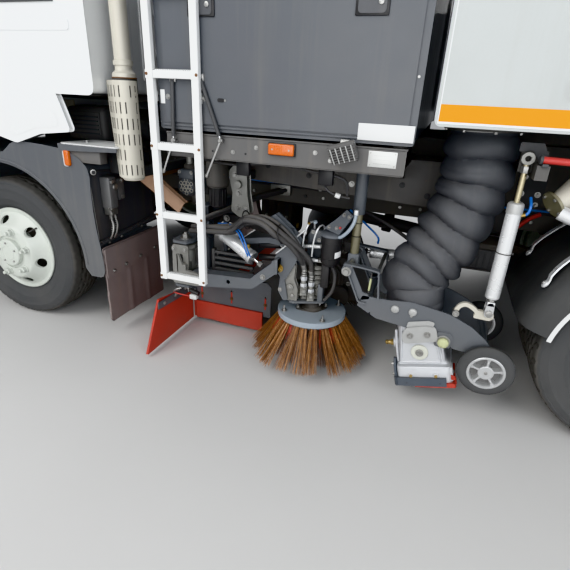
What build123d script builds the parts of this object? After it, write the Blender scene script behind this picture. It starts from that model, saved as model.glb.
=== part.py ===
from build123d import *
import os
from math import cos, sin, radians, hypot, atan2

os.makedirs("parts", exist_ok=True)

# Street sweeper on a two-axle forward-control truck. Millimetres, +Z up.
# The front of the truck points towards -X, its left side towards -Y.
# The origin is on the ground, under the middle of the bounding box.

# ---------------------------------------------------------------- driving dimensions
HALF_LENGTH = 2875.0
HALF_BODY = 1150.0          # hopper and engine housing
HALF_CAB = 1100.0
HALF_MIRRORS = 1250.0
FRONT_AXLE_X, REAR_AXLE_X = -1625.0, 1425.0
TYRE_R, TYRE_W = 398.5, 235.0
HUB_Z = TYRE_R
RIM_R, FLANGE_R, BEAD = 222.25, 234.5, 85.0
WHEEL_Y, INNER_DUAL_Y = 957.0, 692.0
KINGPIN_Y, KINGPIN_R = 820.0, 20.0
SPINDLE_R, RUN = 40.0, 0.05  # RUN is the running clearance of a pin in its bore

RAIL_OUT, RAIL_IN, RAIL_LOW, RAIL_TOP = 420.0, 350.0, 700.0, 920.0
RAIL_FRONT, RAIL_REAR, WEB = -2640.0, 2740.0, 8.0
SUB_TOP = 1100.0            # top of the sweeper body's subframe
SEAM = 0.1                  # open seam between pieces that are bolted together

CAB_FRONT, CAB_REAR, CAB_LOW, CAB_FLOOR, CAB_TOP = -2860.0, -940.0, 960.0, 1235.0, 2580.0
FOOTWELL_REAR = -2180.0
CAB_WALL, CAB_SIDE = 40.0, 60.0
TILT_X, TILT_Z = -2700.0, 850.0
DOOR_X0, DOOR_X1, DOOR_Z0, DOOR_Z1, DOOR_GAP = -2650.0, -1640.0, 1275.0, 2470.0, 8.0
DOOR_PIN_X, DOOR_PIN_Y, DOOR_PIN_R = -2642.0, 1112.0, 6.0
DOOR_HINGES = (1420.0, 1640.0)      # heights of the two hinges
GLASS_Z0, GLASS_Z1 = 1730.0, 2380.0

ARCH_R = 497.0              # front wing's lip
GUARD_R, GUARD_T = 485.0, 10.0

HOUSING_X0, HOUSING_X1, HOUSING_Z0, HOUSING_Z1, HOUSING_T = -560.0, 447.0, 1125.0, 2350.0, 30.0
HOPPER_X0, HOPPER_LOW, HOPPER_TOP, HOPPER_T = 516.0, 1200.0, 2850.0, 40.0
HINGE_X, HINGE_Z, HINGE_R = 2560.0, 1060.0, 22.0
GATE_X, GATE_Z = 2545.0, 2815.0
RAM_X, RAM_Z, RAM_Y = 900.0, 800.0, 270.0       # tipping rams' lower pins
RAM_EYE_X, RAM_EYE_Z = 1900.0, 1140.0           # and their rods' eyes

BROOM_X, BROOM_Y, BROOM_R, BRISTLE_R, BRISTLE_LOW = 62.0, -870.0, 171.0, 295.0, 50.0
SHAFT_R = 14.0
SWING_X, SWING_Y = -600.0, -950.0
ARM_PIN_X, ARM_PIN_Z, ARM_Y = -500.0, 398.0, -985.0

NOZZLE_X, NOZZLE_Z, NOZZLE_TILT = 250.0, 585.0, 13.7   # nozzle arm's pivot, parked angle
PLATE_OUT, PLATE_IN = -1045.0, -760.0
SMALL_WHEEL_R, SMALL_WHEEL_W = 112.0, 42.0
LIFT_X, LIFT_Y, LIFT_Z, LIFT_TOP = 835.0, -1030.0, 500.0, 1100.0
HOSE_R, HOSE_T = 131.0, 16.0

ROLLER_A, ROLLER_B = (112.0, -500.0, 235.0), (-260.0, 900.0, 235.0)
ROLLER_R, COVER_R, STUB_R = 190.0, 212.0, 20.0
ROLLER_PIN_X, ROLLER_PIN_Z = -620.0, 560.0

SKIRT_Y, SKIRT_X0, SKIRT_X1, SKIRT_Z0, SKIRT_Z1 = -745.0, -680.0, -252.0, 20.0, 132.0

LADDER_X0, LADDER_X1, LADDER_Y, LADDER_Z0, LADDER_Z1 = -596.0, -362.0, -1190.0, 458.0, 2330.0
RUNG_Z0, RUNG_PITCH = 475.0, 280.0


# ---------------------------------------------------------------- shape helpers
def block(x0, x1, y0, y1, z0, z1, mode=Mode.ADD):
    with Locations(((x0 + x1) / 2, (y0 + y1) / 2, (z0 + z1) / 2)):
        Box(abs(x1 - x0), abs(y1 - y0), abs(z1 - z0), mode=mode)


def side_prism(points, y0, y1, mode=Mode.ADD):
    """A side-view outline of (x, z) points, extruded from y0 to y1, y0 < y1."""
    with BuildSketch(Plane.XZ.offset(-y1)) as outline:
        with BuildLine():
            Polyline(*points, close=True)
        make_face()
    extrude(outline.sketch, amount=y1 - y0, mode=mode)


def bar(p, q, r, mode=Mode.ADD):
    """A round bar from p to q."""
    a, b = Vector(*p), Vector(*q)
    with BuildSketch(Plane(origin=a, z_dir=b - a)) as section:
        Circle(r)
    extrude(section.sketch, amount=(b - a).length, mode=mode)


def arm_prism(points, y0, y1, mode=Mode.ADD):
    """An outline of (u, v) points in the nozzle arm's own tilted plane, from y0 to y1."""
    t = radians(NOZZLE_TILT)
    plane = Plane(origin=(NOZZLE_X, y1, NOZZLE_Z), x_dir=(cos(t), 0, sin(t)), z_dir=(0, -1, 0))
    with BuildSketch(plane) as outline:
        with BuildLine():
            Polyline(*points, close=True)
        make_face()
    extrude(outline.sketch, amount=y1 - y0, mode=mode)


def arm_point(u, v, y):
    t = radians(NOZZLE_TILT)
    return (NOZZLE_X + u * cos(t) - v * sin(t), y, NOZZLE_Z + u * sin(t) + v * cos(t))


SIDES = (-1, 1)
#         name     side
HANDS = (("left", -1), ("right", 1))

# ---------------------------------------------------------------- chassis
with BuildPart() as frame_rails:
    for s in SIDES:
        block(RAIL_FRONT, RAIL_REAR, s * RAIL_OUT, s * (RAIL_OUT - WEB), RAIL_LOW, RAIL_TOP)
        block(RAIL_FRONT, RAIL_REAR, s * RAIL_OUT, s * RAIL_IN, RAIL_LOW, RAIL_LOW + WEB)
        block(RAIL_FRONT, RAIL_REAR, s * RAIL_OUT, s * RAIL_IN, RAIL_TOP - WEB, RAIL_TOP)
frame_rails.part.label = "frame_rails"
export_step(frame_rails.part, f"parts/{frame_rails.part.label}.step")

#              x0      x1     z0     z1
CROSSMEMBERS = (
    (-2620.0, -2540.0, 740.0, 860.0),
    (-540.0, -460.0, 740.0, 880.0),
    (150.0, 230.0, 740.0, 880.0),
    (800.0, 860.0, 740.0, 880.0),
    (1760.0, 1840.0, 740.0, 880.0),
    (2640.0, 2700.0, 740.0, 900.0),
)
with BuildPart() as crossmembers:
    for x0, x1, z0, z1 in CROSSMEMBERS:
        block(x0, x1, -RAIL_OUT + WEB, RAIL_OUT - WEB, z0, z1)
    for s in SIDES:                       # ears and pins that carry the tipping rams
        for y in (RAM_Y - 45, RAM_Y + 30):
            side_prism([(850, 745), (920, 765), (930, 835), (850, 875)],
                       min(s * y, s * (y + 15)), max(s * y, s * (y + 15)))
        bar((RAM_X, s * (RAM_Y - 45), RAM_Z), (RAM_X, s * (RAM_Y + 45), RAM_Z), 20)
crossmembers.part.label = "crossmembers"
export_step(crossmembers.part, f"parts/{crossmembers.part.label}.step")

with BuildPart() as subframe:
    for s in SIDES:
        block(HOUSING_X0, 2600, s * RAIL_OUT, s * RAIL_IN, RAIL_TOP, SUB_TOP)
        bar((HINGE_X, s * RAIL_OUT, HINGE_Z), (HINGE_X, s * 480, HINGE_Z), HINGE_R)
    for x0, x1 in ((-540, -480), (640, 700), (2440, 2500)):
        block(x0, x1, -RAIL_IN + SEAM, RAIL_IN - SEAM, 960, 1040)
    for x0, x1 in ((-520, -480), (230, 270), (380, 420)):      # bearers of the engine housing
        block(x0, x1, -1120, 1120, SUB_TOP + SEAM, HOUSING_Z0)
    for s in SIDES:                                            # light beams along both sides
        block(-520, 425, s * 1145, s * 1095, 1018, SUB_TOP)
    block(860, 900, -1085, -RAIL_OUT - SEAM, 1035, 1085)       # outrigger of the nozzle's lift
    block(815, 900, -1004, -992, 1050, 1125)
    for s in SIDES:
        block(1950, 1990, s * 1085, s * (RAIL_OUT + SEAM), 1035, 1085)
subframe.part.label = "subframe"
export_step(subframe.part, f"parts/{subframe.part.label}.step")

with BuildPart() as engine_block:
    block(-2110, -1200, -300, 300, 520, 1130)
engine_block.part.label = "engine_block"
export_step(engine_block.part, f"parts/{engine_block.part.label}.step")

with BuildPart() as driveline:
    block(-1200 + SEAM, -648, -180, 180, 520, 830)
    bar((-640, 0, 660), (1260, 0, 430), 45)
driveline.part.label = "driveline"
export_step(driveline.part, f"parts/{driveline.part.label}.step")

with BuildPart() as front_axle:
    block(FRONT_AXLE_X - 45, FRONT_AXLE_X + 45, -790, 790, 345, 425)
    for s in SIDES:
        bar((FRONT_AXLE_X, s * KINGPIN_Y, 340), (FRONT_AXLE_X, s * KINGPIN_Y, 457), 42)
        bar((FRONT_AXLE_X, s * KINGPIN_Y, 300), (FRONT_AXLE_X, s * KINGPIN_Y, 500), KINGPIN_R + RUN, Mode.SUBTRACT)
front_axle.part.label = "front_axle"
export_step(front_axle.part, f"parts/{front_axle.part.label}.step")

with BuildPart() as rear_axle:
    bar((REAR_AXLE_X, -630, HUB_Z), (REAR_AXLE_X, 630, HUB_Z), 75)
    bar((REAR_AXLE_X, -975, HUB_Z), (REAR_AXLE_X, 975, HUB_Z), 45)
    bar((REAR_AXLE_X, -130, HUB_Z), (REAR_AXLE_X, 130, HUB_Z), 175)
    for s in SIDES:
        block(REAR_AXLE_X - 60, REAR_AXLE_X + 60, s * RAIL_IN, s * RAIL_OUT, 400, 490)
    bar((1255, 0, HUB_Z + 30), (1400, 0, HUB_Z + 10), 70)
    bar((-640, 0, 660), (1262, 0, 430 - 0.2), 45.2, Mode.SUBTRACT)
rear_axle.part.label = "rear_axle"
export_step(rear_axle.part, f"parts/{rear_axle.part.label}.step")

#          axle x        seat z   half length
SPRINGS = ((FRONT_AXLE_X, 425.0, 600.0), (REAR_AXLE_X, 490.0, 640.0))
with BuildPart() as leaf_springs:
    for x, z, half in SPRINGS:
        for s in SIDES:
            side_prism([(x - half, 640), (x - 90, z), (x + 90, z), (x + half, 640),
                        (x + half, RAIL_LOW), (x + half - 80, RAIL_LOW), (x + 90, z + 75),
                        (x - 90, z + 75), (x - half + 80, RAIL_LOW), (x - half, RAIL_LOW)],
                       min(s * RAIL_IN, s * RAIL_OUT), max(s * RAIL_IN, s * RAIL_OUT))
leaf_springs.part.label = "leaf_springs"
export_step(leaf_springs.part, f"parts/{leaf_springs.part.label}.step")

# ---------------------------------------------------------------- wheels and knuckles
# tyre section: (distance outboard of the tyre's middle, radius)
TYRE_SECTION = ((-84, RIM_R), (-84, 237), (-105, 262), (-117.5, 315), (-112, 365), (-101, 388), (-88, TYRE_R),
                (88, TYRE_R), (101, 388), (112, 365), (117.5, 315), (105, 262), (84, 237), (84, RIM_R))
# front wheel and hub: barrel, flanges, outset disc, hub with its spindle bore
FRONT_RIM = ((-93, RIM_R - 9), (-93, FLANGE_R), (-BEAD, FLANGE_R), (-BEAD, RIM_R), (BEAD, RIM_R), (BEAD, FLANGE_R),
             (93, FLANGE_R), (93, 205), (120, 172), (157, 148), (157, 95), (170, 80), (170, 0), (116, 0),
             (116, SPINDLE_R + RUN), (-25, SPINDLE_R + RUN), (-25, 80), (100, 80), (143, 90), (143, 142),
             (108, 164), (75, 205), (60, RIM_R - 9))
# rear wheels and drum, from the axle's middle: inner barrel, joined discs, outer barrel, hub
REAR_RIM = tuple((INNER_DUAL_Y + u, r) for u, r in (
    (-93, RIM_R - 9), (-93, FLANGE_R), (-BEAD, FLANGE_R), (-BEAD, RIM_R), (BEAD, RIM_R), (BEAD, FLANGE_R),
    (93, FLANGE_R), (100, 200), (118, 175))) + tuple((WHEEL_Y + u, r) for u, r in (
    (-118, 175), (-100, 200), (-93, FLANGE_R), (-BEAD, FLANGE_R), (-BEAD, RIM_R), (BEAD, RIM_R), (BEAD, FLANGE_R),
    (93, FLANGE_R), (93, RIM_R - 9), (-75, RIM_R - 9), (-100, 165), (-110, 110), (55, 100), (62, 0), (28, 0),
    (28, 45 + RUN))) + ((640, 45 + RUN), (640, 110), (790, 110), (800, 165), (INNER_DUAL_Y + 75, RIM_R - 9))


def turned(section, x, y, s):
    """A section of (outboard distance, radius) turned about the wheel's axis."""
    with BuildSketch(Plane(origin=(x, y, HUB_Z), x_dir=(0, s, 0), z_dir=(s, 0, 0))) as half:
        with BuildLine():
            Polyline(*section, close=True)
        make_face()
    revolve(half.sketch, axis=Axis((x, y, HUB_Z), (0, 1, 0)))


for hand, s in HANDS:
    with BuildPart() as front_tyre:
        turned(TYRE_SECTION, FRONT_AXLE_X, s * WHEEL_Y, s)
    front_tyre.part.label = f"front_{hand}_tyre"
    export_step(front_tyre.part, f"parts/{front_tyre.part.label}.step")

    with BuildPart() as front_rim:
        turned(FRONT_RIM, FRONT_AXLE_X, s * WHEEL_Y, s)
    front_rim.part.label = f"front_{hand}_rim"
    export_step(front_rim.part, f"parts/{front_rim.part.label}.step")

    with BuildPart() as rear_tyres:
        turned(TYRE_SECTION, REAR_AXLE_X, s * WHEEL_Y, s)
        turned(TYRE_SECTION, REAR_AXLE_X, s * INNER_DUAL_Y, s)
    rear_tyres.part.label = f"rear_{hand}_tyres"
    export_step(rear_tyres.part, f"parts/{rear_tyres.part.label}.step")

    with BuildPart() as rear_rims:
        turned(REAR_RIM, REAR_AXLE_X, 0, s)
    rear_rims.part.label = f"rear_{hand}_rims"
    export_step(rear_rims.part, f"parts/{rear_rims.part.label}.step")

    with BuildPart() as knuckle:
        x = FRONT_AXLE_X
        bar((x, s * KINGPIN_Y, 297), (x, s * KINGPIN_Y, 500), KINGPIN_R)
        for z0, z1 in ((297, 334), (463, 500)):
            block(x - 38, x + 38, s * (KINGPIN_Y - 38), s * 895, z0, z1)
        block(x - 38, x + 38, s * 868, s * 895, 297, 500)
        bar((x, s * 890, HUB_Z), (x, s * 1067, HUB_Z), SPINDLE_R)
        block(x + 10, x + 170, s * 800, s * 850, 300, 325)          # steering arm
    knuckle.part.label = f"{hand}_knuckle"
    export_step(knuckle.part, f"parts/{knuckle.part.label}.step")

# ---------------------------------------------------------------- cab, tilting forward about its front edge
CAB_OUT = [(-2840, CAB_LOW), (CAB_FRONT, 1400), (-2770, 2350), (-2690, 2490), (-2550, 2560), (-1060, CAB_TOP),
           (CAB_REAR, 2480), (CAB_REAR, CAB_FLOOR), (FOOTWELL_REAR, CAB_FLOOR), (FOOTWELL_REAR, CAB_LOW)]
CAB_INNER = [(-2800, CAB_LOW + 40), (-2818, 1400), (-2732, 2340), (-2660, 2460), (-2540, 2520), (-1075, 2540),
             (-980, 2465), (-980, CAB_FLOOR + 40), (FOOTWELL_REAR - 40, CAB_FLOOR + 40), (FOOTWELL_REAR - 40, CAB_LOW + 40)]
# lower side panel over the front wheel, down to the wheel arch
CAB_SKIRT = [(FOOTWELL_REAR, CAB_FLOOR), (FOOTWELL_REAR, CAB_LOW), (-2060, 1010), (-1900, 1040), (-1538, 1026),
             (-1438, 1005), (-1278, 1054), (-1102, 1073), (-1150, CAB_FLOOR)]
with BuildPart() as cab_shell:
    side_prism(CAB_OUT, -HALF_CAB, HALF_CAB)
    side_prism(CAB_INNER, -HALF_CAB + CAB_SIDE, HALF_CAB - CAB_SIDE, Mode.SUBTRACT)
    for s in SIDES:
        side_prism(CAB_SKIRT, min(s * HALF_CAB, s * (HALF_CAB - 30)), max(s * HALF_CAB, s * (HALF_CAB - 30)))
        block(DOOR_X0, DOOR_X1, s * (HALF_CAB - 70), s * (HALF_CAB + 10), DOOR_Z0, DOOR_Z1, Mode.SUBTRACT)
        # hinge ears under the cab
        block(TILT_X - 30, TILT_X + 30, s * 430, s * 455, TILT_Z, CAB_LOW + 5)
        bar((TILT_X, s * 430, TILT_Z), (TILT_X, s * 455, TILT_Z), 30)
        bar((TILT_X, s * 425, TILT_Z), (TILT_X, s * 460, TILT_Z), 18 + RUN, Mode.SUBTRACT)
        # lugs and pins of the door's hinges
        for z in DOOR_HINGES:
            for z0 in (z - 40, z + 26):
                block(-2668, DOOR_X0, s * (HALF_CAB - 1), s * (DOOR_PIN_Y + 10), z0, z0 + 14)
                block(DOOR_X0, DOOR_PIN_X + 3, s * (HALF_CAB + 4), s * (DOOR_PIN_Y + 10), z0, z0 + 14)
            bar((DOOR_PIN_X, s * DOOR_PIN_Y, z - 40), (DOOR_PIN_X, s * DOOR_PIN_Y, z + 40), DOOR_PIN_R)
    block(-2900, -2700, -960, 960, 1500, 2310, Mode.SUBTRACT)
    block(-1000, -900, -620, 620, 1750, 2250, Mode.SUBTRACT)
cab_shell.part.label = "cab_shell"
export_step(cab_shell.part, f"parts/{cab_shell.part.label}.step")

with BuildPart() as cab_glass:
    # windscreen lies in the slope of the cab's front, rear window in the back wall
    side_prism([(-2850.5, 1500), (-2844.5, 1500), (-2767.8, 2310), (-2773.8, 2310)], -960, 960)
    block(-963, -957, -620, 620, 1750, 2250)
cab_glass.part.label = "cab_glass"
export_step(cab_glass.part, f"parts/{cab_glass.part.label}.step")

with BuildPart() as dashboard:
    side_prism([(-2790, 1330), (-2560, 1380), (-2540, 1500), (-2600, 1560), (-2780, 1560), (-2800, 1430)], -1030, 1030)
    bar((-2560, -560, 1470), (-2440, -560, 1560), 30)
dashboard.part.label = "dashboard"
export_step(dashboard.part, f"parts/{dashboard.part.label}.step")

with BuildPart() as steering_wheel:
    wheel_plane = Plane(origin=(-2418, -560, 1577), z_dir=(0.8, 0, 0.6))
    with BuildSketch(wheel_plane):
        Circle(225)
        Circle(196, mode=Mode.SUBTRACT)
    extrude(amount=28)
    with BuildSketch(wheel_plane):
        Circle(50)
    extrude(amount=24)
    with BuildSketch(wheel_plane):
        Rectangle(30, 400)
        Rectangle(400, 30)
    extrude(amount=12)
steering_wheel.part.label = "steering_wheel"
export_step(steering_wheel.part, f"parts/{steering_wheel.part.label}.step")

#         y0     y1
SEATS = ((-810.0, -310.0), (80.0, 900.0))
with BuildPart() as seats:
    for y0, y1 in SEATS:
        side_prism([(-2020, CAB_FLOOR + 40), (-1540, CAB_FLOOR + 40), (-1540, 1600), (-2020, 1600)], y0 + 40, y1 - 40)
        side_prism([(-2060, 1600), (-1500, 1600), (-1360, 2330), (-1460, 2340), (-1600, 1740), (-2050, 1750)], y0, y1)
seats.part.label = "seats"
export_step(seats.part, f"parts/{seats.part.label}.step")

with BuildPart() as mirrors:
    for s in SIDES:
        block(-2860, -2780, s * 1140, s * HALF_MIRRORS, 1720, 2180)
        block(-2775, -2715, s * HALF_CAB, s * (HALF_CAB + 12), 2200, 2260)
        block(-2810, -2750, s * HALF_CAB, s * (HALF_CAB + 12), 1630, 1690)
        bar((-2750, s * (HALF_CAB + 13), 2230), (-2820, s * 1180, 2230), 14)
        bar((-2820, s * 1180, 2244), (-2820, s * 1180, 2170), 14)
        bar((-2785, s * (HALF_CAB + 10), 1660), (-2820, s * 1180, 1660), 14)
        bar((-2820, s * 1180, 1646), (-2820, s * 1180, 1730), 14)
mirrors.part.label = "mirrors"
export_step(mirrors.part, f"parts/{mirrors.part.label}.step")

for hand, s in HANDS:
    outer, inner = s * HALF_CAB, s * (HALF_CAB - CAB_SIDE)
    with BuildPart() as door:
        block(DOOR_X0 + DOOR_GAP, DOOR_X1 - DOOR_GAP, outer, inner, DOOR_Z0 + DOOR_GAP, DOOR_Z1 - DOOR_GAP)
        block(-2560, -1730, s * (HALF_CAB + 10), s * (HALF_CAB - 80), GLASS_Z0, GLASS_Z1, Mode.SUBTRACT)
        for z in DOOR_HINGES:
            block(DOOR_PIN_X, DOOR_PIN_X + 45, outer, s * (HALF_CAB + 6), z - 20, z + 20)
            bar((DOOR_PIN_X, s * DOOR_PIN_Y, z - 20), (DOOR_PIN_X, s * DOOR_PIN_Y, z + 20), 11)
            bar((DOOR_PIN_X, s * DOOR_PIN_Y, z - 30), (DOOR_PIN_X, s * DOOR_PIN_Y, z + 30), DOOR_PIN_R + RUN, Mode.SUBTRACT)
    door.part.label = f"door_{hand}"
    export_step(door.part, f"parts/{door.part.label}.step")
    with BuildPart() as door_glass:
        block(-2560, -1730, s * (HALF_CAB - 33), s * (HALF_CAB - 27), GLASS_Z0, GLASS_Z1)
    door_glass.part.label = f"door_glass_{hand}"
    export_step(door_glass.part, f"parts/{door_glass.part.label}.step")

with BuildPart() as front_bumper:
    side_prism([(-2855, 380), (-HALF_LENGTH, 420), (-HALF_LENGTH, 740), (-2855, 785), (-2700, 785), (-2700, 380)], -1120, 1120)
    for s in SIDES:
        block(-2700, RAIL_FRONT, s * RAIL_OUT, s * RAIL_IN, 700, 785)
        block(TILT_X - 28, RAIL_FRONT, s * RAIL_OUT, s * (RAIL_OUT - 40), 785, 880)
        bar((TILT_X, s * (RAIL_OUT - 5), TILT_Z), (TILT_X, s * 470, TILT_Z), 18)
    # towing jaw in its pocket, with its upright pin bore
    block(-2890, -2760, -110, 110, 370, 600, Mode.SUBTRACT)
    block(-2868, -2755, -60, 60, 440, 500)
    block(-2890, -2780, -70, 70, 455, 485, Mode.SUBTRACT)
    bar((-2830, 0, 430), (-2830, 0, 510), 20, Mode.SUBTRACT)
front_bumper.part.label = "front_bumper"
export_step(front_bumper.part, f"parts/{front_bumper.part.label}.step")

# wings: step housing, arch and the rear apron with its flat back
WING = [(-2640, 400), (-2640, 930), (-1560, 930), (-1456, 992), (-1300, 985), (-1188, 974), (-1051, 878), (-1000, 803),
        (-1000, 760), (-1023, 500), (-1023, 345), (-1103, 354)]
with BuildPart() as front_wings:
    for s in SIDES:
        y0, y1 = sorted((s * 1085, s * 600))
        side_prism(WING, y0, y1)
        bar((FRONT_AXLE_X, s * 1200, HUB_Z), (FRONT_AXLE_X, s * 500, HUB_Z), ARCH_R, Mode.SUBTRACT)
        for z0 in (470, 720):               # footholds
            block(-2560, -2200, s * 1100, s * 860, z0, z0 + 150, Mode.SUBTRACT)
front_wings.part.label = "front_wings"
export_step(front_wings.part, f"parts/{front_wings.part.label}.step")

#            x0      x1      z0     z1
FLAPS = ((-1023.0, -1013.0, 70.0, 480.0), (1910.0, 1920.0, 90.0, 520.0))
with BuildPart() as mudflaps:
    for x0, x1, z0, z1 in FLAPS:
        for s in SIDES:
            block(x0, x1, s * 1080, s * 590, z0, z1)
mudflaps.part.label = "mudflaps"
export_step(mudflaps.part, f"parts/{mudflaps.part.label}.step")

with BuildPart() as rear_mudguards:
    for s in SIDES:
        bar((REAR_AXLE_X, s * 560, HUB_Z), (REAR_AXLE_X, s * 1120, HUB_Z), GUARD_R + GUARD_T)
        bar((REAR_AXLE_X, s * 550, HUB_Z), (REAR_AXLE_X, s * 1112, HUB_Z), GUARD_R, Mode.SUBTRACT)
        bar((REAR_AXLE_X, s * 1100, HUB_Z), (REAR_AXLE_X, s * 1130, HUB_Z), 372, Mode.SUBTRACT)
    block(REAR_AXLE_X - 600, REAR_AXLE_X + 600, -1150, 1150, -200, 500, Mode.SUBTRACT)
    for s in SIDES:                          # stays to the frame
        for x in (1250, 1600):
            block(x - 15, x + 15, s * RAIL_OUT, s * 575, 850, 880)
            block(x - 15, x + 15, s * 560, s * 600, 845, 880)
rear_mudguards.part.label = "rear_mudguards"
export_step(rear_mudguards.part, f"parts/{rear_mudguards.part.label}.step")

with BuildPart() as fuel_tank:
    block(-900, -150, 620, 1100, 520, 930)
    fillet(fuel_tank.edges().filter_by(Axis.X), 70)
    for x in (-760, -330):
        block(x - 25, x + 25, RAIL_OUT + SEAM, 620 - SEAM, 720, 800)
fuel_tank.part.label = "fuel_tank"
export_step(fuel_tank.part, f"parts/{fuel_tank.part.label}.step")

with BuildPart() as water_tank:
    block(0, 900, 560, 1110, 480, 980)
    fillet(water_tank.edges().filter_by(Axis.Z), 60)
    for x in (150, 750):
        block(x - 25, x + 25, RAIL_OUT + SEAM, 560 - SEAM, 720, 800)
water_tank.part.label = "water_tank"
export_step(water_tank.part, f"parts/{water_tank.part.label}.step")

with BuildPart() as battery_box:
    block(720, 930, -640, -430, 540, 670)
    block(750, 900, -430 + SEAM, -RAIL_OUT - SEAM, 560, 780)
battery_box.part.label = "battery_box"
export_step(battery_box.part, f"parts/{battery_box.part.label}.step")

# ---------------------------------------------------------------- engine housing, exhaust and ladder
with BuildPart() as engine_housing:
    side_prism([(HOUSING_X0, HOUSING_Z0), (HOUSING_X0, 2220), (-440, HOUSING_Z1), (HOUSING_X1, HOUSING_Z1),
                (HOUSING_X1, HOUSING_Z0)], -HALF_BODY, HALF_BODY)
    t = HOUSING_T
    side_prism([(HOUSING_X0 + t, HOUSING_Z0 + t), (HOUSING_X0 + t, 2208), (-428, HOUSING_Z1 - t),
                (HOUSING_X1 - t, HOUSING_Z1 - t), (HOUSING_X1 - t, HOUSING_Z0 + t)],
               -HALF_BODY + t, HALF_BODY - t, Mode.SUBTRACT)
engine_housing.part.label = "engine_housing"
export_step(engine_housing.part, f"parts/{engine_housing.part.label}.step")

with BuildPart() as fan_engine:
    block(-400, 340, -430, 430, HOUSING_Z0 + HOUSING_T, 1850)
fan_engine.part.label = "fan_engine"
export_step(fan_engine.part, f"parts/{fan_engine.part.label}.step")

STACK_X, STACK_Y = -830.0, -1015.0
with BuildPart() as exhaust_stack:
    bar((STACK_X, STACK_Y, 860), (STACK_X, STACK_Y, 1330), 58)
    bar((STACK_X, STACK_Y, 1330), (STACK_X, STACK_Y, 2520), 36)
    block(STACK_X - 25, STACK_X + 25, STACK_Y, -RAIL_OUT, 868, 912)
exhaust_stack.part.label = "exhaust_stack"
export_step(exhaust_stack.part, f"parts/{exhaust_stack.part.label}.step")

with BuildPart() as heat_shield:
    with BuildSketch(Plane.XY.offset(877)):
        with Locations((STACK_X, STACK_Y)):
            Circle(76)
            Circle(72.5, mode=Mode.SUBTRACT)
        with Locations((STACK_X, STACK_Y + 90)):
            Rectangle(200, 140, mode=Mode.SUBTRACT)
    extrude(amount=417)
    for z in (930, 1240):                    # lugs back to the silencer
        bar((STACK_X, STACK_Y - 58, z), (STACK_X, STACK_Y - 73, z), 12)
heat_shield.part.label = "heat_shield"
export_step(heat_shield.part, f"parts/{heat_shield.part.label}.step")

with BuildPart() as ladder:
    for x0, x1 in ((LADDER_X0, LADDER_X0 + 26), (LADDER_X1 - 26, LADDER_X1)):
        block(x0, x1, LADDER_Y, LADDER_Y + 25, LADDER_Z0, LADDER_Z1)
    for k in range(7):
        z = RUNG_Z0 + k * RUNG_PITCH
        block(LADDER_X0 + 10, LADDER_X1 - 10, LADDER_Y, LADDER_Y + 25, z - 12, z + 12)
    for z in (1240, 2180):                   # stand-offs on the engine housing
        block(-550, LADDER_X1 - 4, LADDER_Y + 20, -HALF_BODY, z - 12, z + 12)
ladder.part.label = "ladder"
export_step(ladder.part, f"parts/{ladder.part.label}.step")

# ---------------------------------------------------------------- hopper, its rear gate and the tipping rams
HOPPER_OUT = [(HOPPER_X0, HOPPER_LOW), (HOPPER_X0, 2620), (700, HOPPER_TOP), (2500, HOPPER_TOP), (2745, 1340), (2690, HOPPER_LOW)]
HOPPER_INNER = [(HOPPER_X0 + 40, HOPPER_LOW + 40), (HOPPER_X0 + 40, 2604), (720, HOPPER_TOP - 40), (3000, HOPPER_TOP - 40),
                (3000, HOPPER_LOW + 40)]
with BuildPart() as hopper:
    side_prism(HOPPER_OUT, -HALF_BODY, HALF_BODY)
    side_prism(HOPPER_INNER, -HALF_BODY + HOPPER_T, HALF_BODY - HOPPER_T, Mode.SUBTRACT)
    bar((690, -850, 1190), (690, -850, 1260), HOSE_R - HOSE_T, Mode.SUBTRACT)
    for s in SIDES:
        block(560, 2480, s * RAIL_IN, s * RAIL_OUT, SUB_TOP + 6, HOPPER_LOW + 5)
        block(HINGE_X - 60, HINGE_X + 60, s * 430, s * 465, HINGE_Z, HOPPER_LOW + 5)
        bar((HINGE_X, s * 430, HINGE_Z), (HINGE_X, s * 465, HINGE_Z), 60)
        bar((HINGE_X, s * 425, HINGE_Z), (HINGE_X, s * 470, HINGE_Z), HINGE_R + RUN, Mode.SUBTRACT)
        for y in (RAM_Y - 46, RAM_Y + 32):   # ears beside the rods' eyes
            block(RAM_EYE_X - 45, RAM_EYE_X + 45, s * y, s * (y + 14), RAM_EYE_Z - 30, HOPPER_LOW + 5)
        for y in (690, 760):                 # gate hinge ears on the roof's rear edge
            side_prism([(2440, HOPPER_TOP - 5), (2500, HOPPER_TOP - 45), (2566, 2796), (2568, 2834), (2520, HOPPER_TOP), (2440, HOPPER_TOP)],
                       min(s * y, s * (y + 18)), max(s * y, s * (y + 18)))
        bar((GATE_X, s * 690, GATE_Z), (GATE_X, s * 778, GATE_Z), 14)
hopper.part.label = "hopper"
export_step(hopper.part, f"parts/{hopper.part.label}.step")

slope = hypot(245, 1510)
dx, dz = 245 / slope, -1510 / slope          # down the rear edge
nx, nz = -dz, dx                             # outwards from it


def gate_point(down, out):
    return (2500 + down * dx + out * nx, HOPPER_TOP + down * dz + out * nz)


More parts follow.
